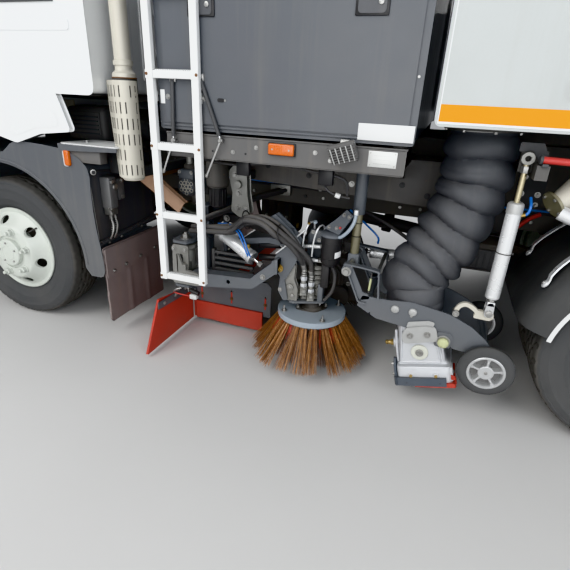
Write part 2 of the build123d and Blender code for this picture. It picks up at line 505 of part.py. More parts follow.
with BuildPart() as hopper_gate:
    side_prism([gate_point(80, 8), gate_point(80, 58), gate_point(1590, 58), gate_point(1640, 30), gate_point(1640, 8)],
               -HALF_BODY, HALF_BODY)
    for s in SIDES:
        y0, y1 = sorted((s * 714, s * 754))
        side_prism([gate_point(60, 28), gate_point(60, 58), gate_point(120, 58), gate_point(120, 28)], y0, y1)
        side_prism([(GATE_X - 14, GATE_Z - 5), (GATE_X + 18, GATE_Z - 5), (GATE_X + 30, 2745), (GATE_X - 5, 2745)], y0, y1)
        bar((GATE_X, y0, GATE_Z), (GATE_X, y1, GATE_Z), 24)
        bar((GATE_X, y0 - 5, GATE_Z), (GATE_X, y1 + 5, GATE_Z), 14 + RUN, Mode.SUBTRACT)
hopper_gate.part.label = "hopper_gate"
export_step(hopper_gate.part, f"parts/{hopper_gate.part.label}.step")

ram_angle = atan2(RAM_EYE_Z - RAM_Z, RAM_EYE_X - RAM_X)
ram_length = hypot(RAM_EYE_Z - RAM_Z, RAM_EYE_X - RAM_X)


def on_ram(distance, y):
    return (RAM_X + distance * cos(ram_angle), y, RAM_Z + distance * sin(ram_angle))


with BuildPart() as tip_rams:
    for s in SIDES:
        y = s * RAM_Y
        bar(on_ram(62, y), on_ram(880, y), 48)
        bar(on_ram(0, y), on_ram(70, y), 18)
        bar((RAM_X, y - 22, RAM_Z), (RAM_X, y + 22, RAM_Z), 32)
        bar((RAM_X, y - 60, RAM_Z), (RAM_X, y + 60, RAM_Z), 20 + RUN, Mode.SUBTRACT)
        bar(on_ram(110, y), on_ram(900, y), 26 + RUN, Mode.SUBTRACT)
tip_rams.part.label = "tip_rams"
export_step(tip_rams.part, f"parts/{tip_rams.part.label}.step")

with BuildPart() as tip_rods:
    for s in SIDES:
        y = s * RAM_Y
        bar(on_ram(150, y), on_ram(ram_length - 10, y), 26)
        bar((RAM_EYE_X, y - 17, RAM_EYE_Z), (RAM_EYE_X, y + 17, RAM_EYE_Z), 34)
tip_rods.part.label = "tip_rods"
export_step(tip_rods.part, f"parts/{tip_rods.part.label}.step")

with BuildPart() as rear_bumper:
    block(2790, 2860, -1100, 1100, 430, 560)
    block(2780, 2880, -90, 90, 400, 600, Mode.SUBTRACT)
    for s in SIDES:
        block(RAIL_REAR, 2790, s * RAIL_OUT, s * (RAIL_OUT - 50), 430, 900)
        block(2750, 2870, s * 1100, s * 640, 640, 780)
    block(2750, 2790, -660, 660, 640, 700)
    # towing plate with its upright pin bore
    block(2795, HALF_LENGTH, -100, 100, 470, 495)
    bar((2835, 0, 460), (2835, 0, 510), 20, Mode.SUBTRACT)
rear_bumper.part.label = "rear_bumper"
export_step(rear_bumper.part, f"parts/{rear_bumper.part.label}.step")

# ---------------------------------------------------------------- sweeping gear carried by the chassis
with BuildPart() as sweep_brackets:
    # post, two plates and kingpin of the side broom's arm
    block(-645, -585, -735, -675, 320, 700)
    block(-645, -585, -735, -RAIL_IN, 640, RAIL_LOW)
    for z0, z1 in ((330, 345), (566, 581)):
        block(-650, -550, -1000, -675, z0, z1)
    bar((SWING_X, SWING_Y, 330), (SWING_X, SWING_Y, 581), 15)
    # column and pivot pin of the nozzle arm
    bar((NOZZLE_X, -900, 600), (NOZZLE_X, -900, SUB_TOP), 19)
    block(NOZZLE_X - 26, NOZZLE_X + 26, -922, -878, 555, 620)
    bar((NOZZLE_X, -1062, NOZZLE_Z), (NOZZLE_X, -740, NOZZLE_Z), 15)
    # hangers and pins of the roller's arms
    for s in SIDES:
        block(ROLLER_PIN_X - 25, ROLLER_PIN_X + 25, s * 380, s * 398, 535, RAIL_LOW)
        bar((ROLLER_PIN_X, s * 380, ROLLER_PIN_Z), (ROLLER_PIN_X, s * 442, ROLLER_PIN_Z), 12)
sweep_brackets.part.label = "sweep_brackets"
export_step(sweep_brackets.part, f"parts/{sweep_brackets.part.label}.step")

with BuildPart() as skirt_plates:
    block(SKIRT_X0 + 6 + SEAM, SKIRT_X1, SKIRT_Y, SKIRT_Y + 6, 110, 315)
    block(SKIRT_X0, SKIRT_X0 + 6, SKIRT_Y, 940, 110, 315)
    block(SKIRT_X0 - 12, SKIRT_X0 - SEAM, -1120, SKIRT_Y + 6, 225, 262)
    for y in (-RAIL_IN - 40, RAIL_IN):
        block(SKIRT_X0 + 6 + SEAM, SKIRT_X0 + 33, y, y + 40, 290, RAIL_LOW)
skirt_plates.part.label = "skirt_plates"
export_step(skirt_plates.part, f"parts/{skirt_plates.part.label}.step")

with BuildPart() as skirt_rubbers:
    block(SKIRT_X0 + 8, SKIRT_X1, SKIRT_Y - 12, SKIRT_Y, SKIRT_Z0, SKIRT_Z1)
    block(SKIRT_X0 - 12, SKIRT_X0, SKIRT_Y, 940, SKIRT_Z0, SKIRT_Z1)
    # cross flap that leans outwards, (y, z) outline
    with BuildSketch(Plane.YZ.offset(SKIRT_X0 - 24)):
        with BuildLine():
            Polyline((-1216, SKIRT_Z0), (-1087, 274), (-815, 230), (-760, 215), (-760, SKIRT_Z0), close=True)
        make_face()
    extrude(amount=12)
skirt_rubbers.part.label = "skirt_rubbers"
export_step(skirt_rubbers.part, f"parts/{skirt_rubbers.part.label}.step")

# ---------------------------------------------------------------- side broom
with BuildPart() as broom_swivel:
    block(SWING_X - 45, SWING_X + 45, SWING_Y - 45, SWING_Y + 45, 351, 560)
    for y0, y1 in ((ARM_Y - 47, ARM_Y - 35), (ARM_Y + 35, ARM_Y + 47)):
        block(SWING_X, ARM_PIN_X + 25, y0, y1, ARM_PIN_Z - 32, ARM_PIN_Z + 32)
    block(SWING_X, SWING_X + 45, ARM_Y - 47, ARM_Y + 47, ARM_PIN_Z - 32, ARM_PIN_Z + 32)
    bar((ARM_PIN_X, ARM_Y - 47, ARM_PIN_Z), (ARM_PIN_X, ARM_Y + 47, ARM_PIN_Z), 12)
    bar((SWING_X, SWING_Y, 300), (SWING_X, SWING_Y, 600), 15 + RUN, Mode.SUBTRACT)
broom_swivel.part.label = "broom_swivel"
export_step(broom_swivel.part, f"parts/{broom_swivel.part.label}.step")

# square tube, side view
ARM = [(-535, 362), (-466, 362), (-213, 385), (20, 525), (50, 560), (21, 602), (-197, 452), (-463, 434), (-535, 434)]
with BuildPart() as broom_arm:
    side_prism(ARM, ARM_Y - 30, ARM_Y + 30)
    bar((ARM_PIN_X, ARM_Y - 40, ARM_PIN_Z), (ARM_PIN_X, ARM_Y + 40, ARM_PIN_Z), 12 + RUN, Mode.SUBTRACT)
    side_prism([(-10, 540), (50, 560), (110, 470), (110, 315), (20, 315), (0, 420)], -960, -945)
    side_prism([(-10, 540), (50, 560), (110, 470), (110, 315), (20, 315), (0, 420)], -822, -807)
    block(-5, 50, ARM_Y, -807, 500, 556)
    block(BROOM_X - 50, BROOM_X + 50, BROOM_Y - 40, BROOM_Y + 45, 330, 470)        # hydraulic motor
    block(BROOM_X - 70, BROOM_X + 70, -960, -800, 311, 331)
    bar((BROOM_X, BROOM_Y, 282), (BROOM_X, BROOM_Y, 340), SHAFT_R)                 # its shaft
    bar((150, -900, 320), (150, -900, 660), 38)
    block(100, 150, -920, -880, 320, 345)
broom_arm.part.label = "broom_arm"
export_step(broom_arm.part, f"parts/{broom_arm.part.label}.step")

with BuildPart() as side_broom:
    with BuildSketch(Plane(origin=(BROOM_X, BROOM_Y, 0), x_dir=(1, 0, 0), z_dir=(0, -1, 0))):
        with BuildLine():
            Polyline((SHAFT_R + RUN, 304), (35, 304), (35, 285), (BROOM_R, 285), (BROOM_R, 256), (BRISTLE_R, BRISTLE_LOW + 12),
                     (BRISTLE_R - 25, BRISTLE_LOW), (120, BRISTLE_LOW + 45), (90, 256), (0, 256), (0, 275), (SHAFT_R + RUN, 275),
                     close=True)
        make_face()
    revolve(axis=Axis((BROOM_X, BROOM_Y, 0), (0, 0, 1)))
side_broom.part.label = "side_broom"
export_step(side_broom.part, f"parts/{side_broom.part.label}.step")

# ---------------------------------------------------------------- suction nozzle on its arm
# arm plates, side view in the truck's frame
PLATE = [(228, 560), (240, 612), (262, 612), (330, 480), (437, 478), (540, 488), (700, 462), (790, 420), (850, 365),
         (905, 275), (895, 225), (850, 225), (800, 300), (735, 308), (650, 350), (396, 383), (308, 430)]
with BuildPart() as nozzle_arm:
    for y0 in (PLATE_OUT, PLATE_IN):
        side_prism(PLATE, y0, y0 + 8)
    bar((NOZZLE_X, PLATE_OUT + 1, NOZZLE_Z), (NOZZLE_X, -930, NOZZLE_Z), 24)
    bar((NOZZLE_X, -870, NOZZLE_Z), (NOZZLE_X, PLATE_IN + 4, NOZZLE_Z), 24)
    bar((NOZZLE_X, PLATE_OUT - 5, NOZZLE_Z), (NOZZLE_X, PLATE_IN + 15, NOZZLE_Z), 15 + RUN, Mode.SUBTRACT)
    wx, _, wz = arm_point(527.4, -471.3, 0)
    bar((wx, PLATE_OUT + 4, wz), (wx, -640, wz), 14)
    bar((wx, -1098, wz), (wx, PLATE_OUT + 4, wz), 8)
    bar((wx, -640, wz), (wx, -580, wz), 8)
    # lever that the lift cylinder pulls
    side_prism([(690, 440), (745, 440), (800, 487), (849, 487), (849, 513), (790, 513), (690, 480)], PLATE_OUT, PLATE_OUT + 8)
    bar((LIFT_X, PLATE_OUT, LIFT_Z), (LIFT_X, LIFT_Y + 8, LIFT_Z), 6)
nozzle_arm.part.label = "nozzle_arm"
export_step(nozzle_arm.part, f"parts/{nozzle_arm.part.label}.step")

# casting: (u, v) outlines in the lowered position, then tilted with the arm
with BuildPart() as suction_nozzle:
    arm_prism([(164, -544), (164, -470), (395, -470), (395, -544)], -1065, -625)
    arm_prism([(178, -475), (150, -215), (390, -215), (372, -475)], PLATE_OUT + 8, PLATE_IN)
    with BuildSketch(Plane(origin=arm_point(269.6, -216, -900), z_dir=(-sin(radians(NOZZLE_TILT)), 0, cos(radians(NOZZLE_TILT))))):
        Circle(HOSE_R)
    extrude(amount=20)
    arm_prism([(184, -560), (184, -482), (375, -482), (375, -560)], -1045, -645, Mode.SUBTRACT)
    arm_prism([(192, -500), (180, -240), (365, -240), (358, -500)], -1015, -784, Mode.SUBTRACT)
    with BuildSketch(Plane(origin=arm_point(269.6, -300, -900), z_dir=(-sin(radians(NOZZLE_TILT)), 0, cos(radians(NOZZLE_TILT))))):
        Circle(88)
    extrude(amount=120, mode=Mode.SUBTRACT)
suction_nozzle.part.label = "suction_nozzle"
export_step(suction_nozzle.part, f"parts/{suction_nozzle.part.label}.step")

#                name      y0       y1
SMALL_WHEELS = (("outer", -1095.0, -1053.0), ("inner", -632.0, -590.0))
for name, y0, y1 in SMALL_WHEELS:
    with BuildPart() as small_wheel:
        bar((wx, y0, wz), (wx, y1, wz), SMALL_WHEEL_R)
        bar((wx, y0 - 5, wz), (wx, y1 + 5, wz), 8 + RUN, Mode.SUBTRACT)
        fillet(small_wheel.edges().filter_by(GeomType.CIRCLE).filter_by(lambda e: e.radius > 100), 12)
    small_wheel.part.label = f"nozzle_wheel_{name}"
    export_step(small_wheel.part, f"parts/{small_wheel.part.label}.step")

with BuildPart() as lift_cylinder:
    bar((LIFT_X, LIFT_Y, LIFT_Z + 55), (LIFT_X, LIFT_Y, 945), 28)
    block(LIFT_X - 12, LIFT_X + 12, LIFT_Y - 5, LIFT_Y + 5, LIFT_Z, LIFT_Z + 60)
    bar((LIFT_X, LIFT_Y - 5, LIFT_Z), (LIFT_X, LIFT_Y + 5, LIFT_Z), 14)
    bar((LIFT_X, LIFT_Y - 20, LIFT_Z), (LIFT_X, LIFT_Y + 20, LIFT_Z), 6 + RUN, Mode.SUBTRACT)
    bar((LIFT_X, LIFT_Y, LIFT_Z + 90), (LIFT_X, LIFT_Y, 960), 10 + RUN, Mode.SUBTRACT)
lift_cylinder.part.label = "lift_cylinder"
export_step(lift_cylinder.part, f"parts/{lift_cylinder.part.label}.step")

with BuildPart() as lift_rod:
    bar((LIFT_X, LIFT_Y, LIFT_Z + 110), (LIFT_X, LIFT_Y, LIFT_TOP), 10)
    bar((LIFT_X, LIFT_Y - 8, LIFT_TOP), (LIFT_X, LIFT_Y + 8, LIFT_TOP), 16)
lift_rod.part.label = "lift_rod"
export_step(lift_rod.part, f"parts/{lift_rod.part.label}.step")

with BuildPart() as suction_hose:
    foot = arm_point(269.6, -190, -900)
    with BuildLine() as route:
        FilletPolyline(foot, arm_point(269.6, -95, -896), (690, -850, 950), (690, -850, 1192), radius=(170, 300))
    with BuildSketch(Plane(origin=foot, z_dir=route.line % 0)):
        Circle(HOSE_R)
        Circle(HOSE_R - HOSE_T, mode=Mode.SUBTRACT)
    sweep(path=route.line)
suction_hose.part.label = "suction_hose"
export_step(suction_hose.part, f"parts/{suction_hose.part.label}.step")

# ---------------------------------------------------------------- roller brush across the truck
a, b = Vector(*ROLLER_A), Vector(*ROLLER_B)
along = (b - a).normalized()
with BuildPart() as roller_brush:
    bar(ROLLER_A, ROLLER_B, ROLLER_R)
    bar(a, a + along * 60, STUB_R + RUN, Mode.SUBTRACT)
    bar(b, b - along * 60, STUB_R + RUN, Mode.SUBTRACT)
roller_brush.part.label = "roller_brush"
export_step(roller_brush.part, f"parts/{roller_brush.part.label}.step")

start = a - along * 22
with BuildPart() as roller_frame:
    side = Vector(0, 0, 1).cross(along).normalized()
    with BuildSketch(Plane(origin=start, x_dir=side, z_dir=along)) as hood:
        Circle(COVER_R)
        Circle(COVER_R - 8, mode=Mode.SUBTRACT)
        with Locations((0, 40 - COVER_R)):
            Rectangle(4 * COVER_R, 2 * COVER_R, mode=Mode.SUBTRACT)
    extrude(hood.sketch, amount=(b - a).length + 44)
    for p in (start, b + along * 14):        # end plates
        with BuildSketch(Plane(origin=p, x_dir=side, z_dir=along)) as end_plate:
            Circle(COVER_R)
            with Locations((0, -50 - 1.5 * COVER_R)):
                Rectangle(4 * COVER_R, 3 * COVER_R, mode=Mode.SUBTRACT)
        extrude(end_plate.sketch, amount=8)
    bar(start, a + along * 50, STUB_R)       # stubs that carry the roller
    bar(b + along * 22, b - along * 50, STUB_R)
    for s in SIDES:
        x = ROLLER_A[0] + (s * 420 - ROLLER_A[1]) * (b.X - a.X) / (b.Y - a.Y)
        y0, y1 = sorted((s * 405, s * 435))
        side_prism([(ROLLER_PIN_X - 25, ROLLER_PIN_Z - 20), (ROLLER_PIN_X - 25, ROLLER_PIN_Z + 20), (ROLLER_PIN_X + 40, ROLLER_PIN_Z + 22),
                    (x + 60, 478), (x + 40, 436), (x - 40, 438)], y0, y1)
        bar((ROLLER_PIN_X, y0 - 5, ROLLER_PIN_Z), (ROLLER_PIN_X, y1 + 12, ROLLER_PIN_Z), 12 + RUN, Mode.SUBTRACT)
roller_frame.part.label = "roller_frame"
export_step(roller_frame.part, f"parts/{roller_frame.part.label}.step")
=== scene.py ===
import bpy, bmesh, math, random
from math import sin, cos, pi, radians, sqrt, hypot, atan2
from mathutils import Vector, Matrix
from mathutils.geometry import tessellate_polygon


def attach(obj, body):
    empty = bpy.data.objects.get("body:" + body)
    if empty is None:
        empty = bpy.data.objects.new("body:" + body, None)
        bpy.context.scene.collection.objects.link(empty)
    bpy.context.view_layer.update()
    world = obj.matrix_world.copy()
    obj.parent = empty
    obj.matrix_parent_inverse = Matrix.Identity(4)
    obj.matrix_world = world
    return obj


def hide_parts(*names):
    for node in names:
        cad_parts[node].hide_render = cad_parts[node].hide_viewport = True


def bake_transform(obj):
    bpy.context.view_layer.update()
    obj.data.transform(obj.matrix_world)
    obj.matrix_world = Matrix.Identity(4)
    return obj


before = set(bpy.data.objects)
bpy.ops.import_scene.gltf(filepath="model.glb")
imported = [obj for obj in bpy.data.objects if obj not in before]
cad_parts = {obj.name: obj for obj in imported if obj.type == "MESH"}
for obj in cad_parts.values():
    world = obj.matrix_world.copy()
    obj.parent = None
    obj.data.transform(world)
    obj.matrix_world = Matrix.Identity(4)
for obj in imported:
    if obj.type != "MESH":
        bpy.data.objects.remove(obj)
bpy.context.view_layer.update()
random.seed(7)
V = Vector


# ------------------------------------------------------------------ camera, as the reference view
def make_camera():
    yaw, pitch, roll = radians(18.17), radians(23.706), radians(2.666)
    fwd = V((-sin(yaw) * cos(pitch), cos(yaw) * cos(pitch), -sin(pitch)))
    right = V((cos(yaw), sin(yaw), 0))
    up = right.cross(fwd)
    r2 = right * cos(roll) + up * sin(roll)
    u2 = up * cos(roll) - right * sin(roll)
    cam = bpy.data.cameras.new("camera")
    cam.sensor_width, cam.lens, cam.clip_start, cam.clip_end = 36.0, 27.37, 0.05, 200
    ob = bpy.data.objects.new("camera", cam)
    m = Matrix((r2, u2, -fwd)).transposed().to_4x4()
    m.translation = V((0.542, -2.7844, 1.2676))
    ob.matrix_world = m
    bpy.context.scene.collection.objects.link(ob)
    bpy.context.scene.camera = ob


make_camera()


# ------------------------------------------------------------------ materials
MATS = {}


def node(nt, kind, **kw):
    n = nt.nodes.new(kind)
    for k, v in kw.items():
        if k in n.inputs:
            n.inputs[k].default_value = v
        else:
            setattr(n, k, v)
    return n


def ramp(nt, fac, a, b, ca=(0, 0, 0, 1), cb=(1, 1, 1, 1)):
    r = nt.nodes.new("ShaderNodeValToRGB")
    r.color_ramp.elements[0].position, r.color_ramp.elements[1].position = a, b
    r.color_ramp.elements[0].color, r.color_ramp.elements[1].color = ca, cb
    nt.links.new(fac, r.inputs["Fac"])
    return r.outputs["Color"]


def mix(nt, fac, a, b):
    m = nt.nodes.new("ShaderNodeMix")
    m.data_type = "RGBA"
    for sock, val in ((m.inputs["Factor"], fac), (m.inputs[6], a), (m.inputs[7], b)):
        if isinstance(val, (int, float, tuple)):
            sock.default_value = val
        else:
            nt.links.new(val, sock)
    return m.outputs[2]


def math_(nt, op, a, b=None, clamp=False):
    m = nt.nodes.new("ShaderNodeMath")
    m.operation, m.use_clamp = op, clamp
    for sock, val in ((m.inputs[0], a), (m.inputs[1], b)):
        if val is None:
            continue
        if isinstance(val, (int, float)):
            sock.default_value = val
        else:
            nt.links.new(val, sock)
    return m.outputs[0]


def noise(nt, vec, scale, detail=4.0, rough=0.55, dist=0.0):
    n = node(nt, "ShaderNodeTexNoise", Scale=scale, Detail=detail, Roughness=rough, Distortion=dist)
    nt.links.new(vec, n.inputs["Vector"])
    return n.outputs["Fac"]


def c4(c, k=1.0):
    return (min(c[0] * k, 1), min(c[1] * k, 1), min(c[2] * k, 1), 1.0)


def mat(name, base, rough=0.45, metal=0.0, coat=0.0, spec=0.5, var=0.08, vscale=2.5, dirt=0.35, dcol=(0.23, 0.20, 0.165),
        dtop=0.95, dlow=0.05, dust=0.12, wear=0.0, wcol=(0.30, 0.28, 0.26), wmetal=0.7, bump=0.08, bscale=180.0, streak=0.0,
        spots=0.0, scol=(0.26, 0.13, 0.06), stretch=(1, 1, 1), sheen=0.0, extra=None):
    """A painted, moulded or metal surface with colour drift, road dirt that thickens towards the ground, dust, wear on edges and a fine grain."""
    m = bpy.data.materials.new(name)
    m.use_nodes = True
    nt = m.node_tree
    bsdf = nt.nodes["Principled BSDF"]
    L = nt.links.new
    tc = nt.nodes.new("ShaderNodeTexCoord")
    obj = tc.outputs["Object"]
    mp = node(nt, "ShaderNodeMapping")
    mp.inputs["Scale"].default_value = stretch
    L(obj, mp.inputs["Vector"])
    big = noise(nt, obj, vscale, 5, 0.6)
    col = mix(nt, big, c4(base, 1 - var), c4(base, 1 + var))
    fine = noise(nt, mp.outputs["Vector"], bscale, 3, 0.6)
    col = mix(nt, math_(nt, "MULTIPLY", fine, 0.22), col, c4(base, 0.80))
    rgh = math_(nt, "ADD", math_(nt, "MULTIPLY", noise(nt, obj, 14, 6, 0.65), 0.26), rough - 0.13, clamp=True)
    met = None
    sep = nt.nodes.new("ShaderNodeSeparateXYZ")
    L(obj, sep.inputs[0])
    if wear > 0:
        geo = nt.nodes.new("ShaderNodeNewGeometry")
        edge = ramp(nt, geo.outputs["Pointiness"], 0.515, 0.56)
        patch = ramp(nt, noise(nt, obj, 26, 7, 0.7), 0.62 - 0.25 * wear, 0.70 - 0.2 * wear)
        w = math_(nt, "MULTIPLY", math_(nt, "MULTIPLY", edge, patch), min(1.0, 0.5 + wear))
        col = mix(nt, w, col, c4(wcol))
        met = math_(nt, "MULTIPLY", w, wmetal)
    if spots > 0:
        s = math_(nt, "MULTIPLY", ramp(nt, noise(nt, obj, 55, 4, 0.6), 0.70 - 0.1 * spots, 0.78), min(1, spots * 1.4))
        col = mix(nt, s, col, c4(scol))
    if streak > 0:
        ms = node(nt, "ShaderNodeMapping")
        ms.inputs["Scale"].default_value = (22, 22, 1.1)
        L(obj, ms.inputs["Vector"])
        st = math_(nt, "MULTIPLY", ramp(nt, noise(nt, ms.outputs["Vector"], 1.0, 5, 0.6), 0.52, 0.8), streak)
        col = mix(nt, st, col, c4(dcol, 1.25))
    if dirt > 0:
        h = node(nt, "ShaderNodeMapRange")
        h.inputs["From Min"].default_value, h.inputs["From Max"].default_value = dtop, dlow
        L(sep.outputs["Z"], h.inputs["Value"])
        cloud = ramp(nt, noise(nt, obj, 4.0, 5, 0.56, 0.3), 0.25, 0.78)
        d = math_(nt, "MULTIPLY", math_(nt, "MULTIPLY", h.outputs[0], cloud), dirt, clamp=True)
        d = math_(nt, "ADD", d, math_(nt, "MULTIPLY", ramp(nt, noise(nt, obj, 6, 4, 0.5), 0.32, 0.85), dust * 0.6), clamp=True)
        col = mix(nt, d, col, c4(dcol))
        rgh = math_(nt, "ADD", rgh, math_(nt, "MULTIPLY", d, 0.45), clamp=True)
    if dust > 0:                                       # dust lies on faces that look up
        geo2 = nt.nodes.new("ShaderNodeNewGeometry")
        sn = nt.nodes.new("ShaderNodeSeparateXYZ")
        L(geo2.outputs["Normal"], sn.inputs[0])
        upf = ramp(nt, sn.outputs["Z"], 0.45, 0.95)
        u = math_(nt, "MULTIPLY", math_(nt, "MULTIPLY", upf, ramp(nt, noise(nt, obj, 6, 5, 0.56), 0.25, 0.80)), dust * 2.0, clamp=True)
        col = mix(nt, u, col, c4((0.34, 0.315, 0.275)))
        rgh = math_(nt, "ADD", rgh, math_(nt, "MULTIPLY", u, 0.4), clamp=True)
    if extra:
        col, rgh = extra(nt, obj, sep, col, rgh)
    L(col, bsdf.inputs["Base Color"])
    L(rgh, bsdf.inputs["Roughness"])
    if met is not None and metal < 0.5:
        L(met, bsdf.inputs["Metallic"])
    else:
        bsdf.inputs["Metallic"].default_value = metal
    bsdf.inputs["Specular IOR Level"].default_value = spec
    bsdf.inputs["Coat Weight"].default_value = coat
    bsdf.inputs["Coat Roughness"].default_value = 0.12
    if sheen > 0:
        bsdf.inputs["Sheen Weight"].default_value = sheen
        bsdf.inputs["Sheen Roughness"].default_value = 0.5
    if bump > 0:
        bp = node(nt, "ShaderNodeBump")
        bp.inputs["Strength"].default_value = bump
        bp.inputs["Distance"].default_value = 0.002
        hh = math_(nt, "ADD", fine, math_(nt, "MULTIPLY", noise(nt, obj, bscale * 0.12, 4, 0.6), 1.2))
        L(hh, bp.inputs["Height"])
        L(bp.outputs["Normal"], bsdf.inputs["Normal"])
    MATS[name] = m
    return m


# ------------------------------------------------------------------ mesh groups
_BOLT = {}


def catmull(pts, n):
    if len(pts) < 3 or n < 2:
        return [V(p) for p in pts]
    P = [V(p) for p in pts]
    P = [P[0] * 2 - P[1]] + P + [P[-1] * 2 - P[-2]]
    out = []
    for i in range(1, len(P) - 2):
        a, b, c, d = P[i - 1], P[i], P[i + 1], P[i + 2]
        for k in range(n):
            t = k / n
            out.append(0.5 * ((2 * b) + (c - a) * t + (2 * a - 5 * b + 4 * c - d) * t * t + (3 * b - a - 3 * c + d) * t ** 3))
    out.append(P[-2])
    return out


def frames(path):
    """Parallel-carried frames along a list of points."""
    T = []
    n = len(path)
    for i in range(n):
        t = path[min(i + 1, n - 1)] - path[max(i - 1, 0)]
        T.append(t.normalized() if t.length > 1e-9 else V((0, 0, 1)))
    ref = V((0, 0, 1)) if abs(T[0].z) < 0.9 else V((1, 0, 0))
    u = (ref - T[0] * ref.dot(T[0])).normalized()
    out = []
    for i in range(n):
        u = (u - T[i] * u.dot(T[i])).normalized()
        out.append((path[i], u, T[i].cross(u)))
    return out


def basis(d):
    d = V(d).normalized()
    ref = V((0, 0, 1)) if abs(d.z) < 0.9 else V((1, 0, 0))
    u = ref.cross(d).normalized()
    return u, d.cross(u), d


class Group:
    def __init__(self, name, body):
        self.name, self.body = name, body
        self.v, self.f, self.fm, self.mats, self.M = [], [], [], [], None

    def mi(self, m):
        m = MATS[m]
        if m not in self.mats:
            self.mats.append(m)
        return self.mats.index(m)

    def raw(self, verts, faces, m):
        o, k = len(self.v), self.mi(m)
        if self.M is not None:
            verts = [self.M @ V(p) for p in verts]
        self.v.extend(tuple(p) for p in verts)
        self.f.extend(tuple(i + o for i in f) for f in faces)
        self.fm.extend([k] * len(faces))

    def take(self, bm, m, M=None):
        bm.verts.index_update()
        vs = [(M @ v.co) if M else v.co.copy() for v in bm.verts]
        self.raw(vs, [[v.index for v in f.verts] for f in bm.faces], m)
        bm.free()

    def box(self, x0, x1, y0, y1, z0, z1, m, b=0.003, seg=2, rot=None):
        """A block with rounded edges; rot is (axis, degrees) about its own middle."""
        bm = bmesh.new()
        bmesh.ops.create_cube(bm, size=1)
        sx, sy, sz = abs(x1 - x0), abs(y1 - y0), abs(z1 - z0)
        for v in bm.verts:
            v.co = V((v.co.x * sx, v.co.y * sy, v.co.z * sz))
        b = min(b, 0.45 * min(sx, sy, sz))
        if b > 0:
            bmesh.ops.bevel(bm, geom=bm.edges[:], offset=b, segments=seg, profile=0.5, affect="EDGES", clamp_overlap=True)
        M = Matrix.Translation(V(((x0 + x1) / 2, (y0 + y1) / 2, (z0 + z1) / 2)))
        if rot:
            M = M @ Matrix.Rotation(radians(rot[1]), 4, rot[0])
        self.take(bm, m, M)

    def prism(self, pts, plane, lo, hi, m, b=0.002, holes=(), seg=2):
        """An outline in a plane ('xz', 'yz' or 'xy'), extruded along the third axis from lo to hi."""
        def to3(p, h):
            return {"xz": V((p[0], h, p[1])), "yz": V((h, p[0], p[1])), "xy": V((p[0], p[1], h))}[plane]
        bm = bmesh.new()
        if holes:
            rings = [list(pts)] + [list(h) for h in holes]
            flat = [p for r in rings for p in r]
            tris = tessellate_polygon([[V((p[0], p[1], 0)) for p in r] for r in rings])
            va = [bm.verts.new(to3(p, lo)) for p in flat]
            vb = [bm.verts.new(to3(p, hi)) for p in flat]
            for t in tris:
                for vs, order in ((va, 1), (vb, -1)):
                    try:
                        bm.faces.new([vs[i] for i in t][::order])
                    except ValueError:
                        pass
            o = 0
            for r in rings:
                n = len(r)
                for i in range(n):
                    a, c = o + i, o + (i + 1) % n
                    bm.faces.new((va[a], va[c], vb[c], vb[a]))
                o += n
        else:
            va = [bm.verts.new(to3(p, lo)) for p in pts]
            vb = [bm.verts.new(to3(p, hi)) for p in pts]
            n = len(pts)
            bm.faces.new(va)
            bm.faces.new(vb[::-1])
            for i in range(n):
                bm.faces.new((va[i], va[(i + 1) % n], vb[(i + 1) % n], vb[i]))
            if b > 0:
                bm.normal_update()
                ax = {"xz": 1, "yz": 0, "xy": 2}[plane]
                es = [e for e in bm.edges if abs((e.verts[0].co - e.verts[1].co)[ax]) < 1e-7]
                bmesh.ops.bevel(bm, geom=es, offset=min(b, 0.45 * abs(hi - lo)), segments=seg, profile=0.5, affect="EDGES", clamp_overlap=True)
        bmesh.ops.recalc_face_normals(bm, faces=bm.faces[:])
        self.take(bm, m)

    def cyl(self, p, q, r, m, r2=None, seg=24, b=0.0, bs=2):
        p, q = V(p), V(q)
        d = q - p
        bm = bmesh.new()
        bmesh.ops.create_cone(bm, cap_ends=True, cap_tris=False, segments=seg, radius1=r, radius2=r if r2 is None else r2, depth=d.length)
        if b > 0:
            es = [e for e in bm.edges if abs(e.verts[0].co.z - e.verts[1].co.z) < 1e-7]
            bmesh.ops.bevel(bm, geom=es, offset=min(b, 0.45 * d.length), segments=bs, profile=0.5, affect="EDGES", clamp_overlap=True)
        u, w, t = basis(d)
        M = Matrix((u, w, t)).transposed().to_4x4()
        M.translation = (p + q) / 2
        self.take(bm, m, M)

    def lathe(self, prof, p, d, m, seg=48, closed=False, wob=None):
        """A profile of (distance along d, radius) turned about the line through p."""
        u, w, t = basis(d)
        p = V(p)
        vs, rings = [], []
        for a, r in prof:
            if r < 1e-6:
                rings.append([len(vs)])
                vs.append(p + t * a)
            else:
                ring = []
                for k in range(seg):
                    th = 2 * pi * k / seg
                    rr, aa = (r, a) if wob is None else wob(a, r, th)
                    ring.append(len(vs))
                    vs.append(p + t * aa + (u * cos(th) + w * sin(th)) * rr)
                rings.append(ring)
        fs = []
        pairs = list(zip(rings, rings[1:])) + ([(rings[-1], rings[0])] if closed else [])
        for a, b in pairs:
            if len(a) == 1 and len(b) == 1:
                continue
            for k in range(seg):
                k2 = (k + 1) % seg
                if len(a) == 1:
                    fs.append((a[0], b[k2], b[k]))
                elif len(b) == 1:
                    fs.append((a[k], a[k2], b[0]))
                else:
                    fs.append((a[k], a[k2], b[k2], b[k]))
        if not closed:
            if len(rings[0]) > 1:
                fs.append(tuple(rings[0][::-1]))
            if len(rings[-1]) > 1:
                fs.append(tuple(rings[-1]))
        self.raw(vs, fs, m)

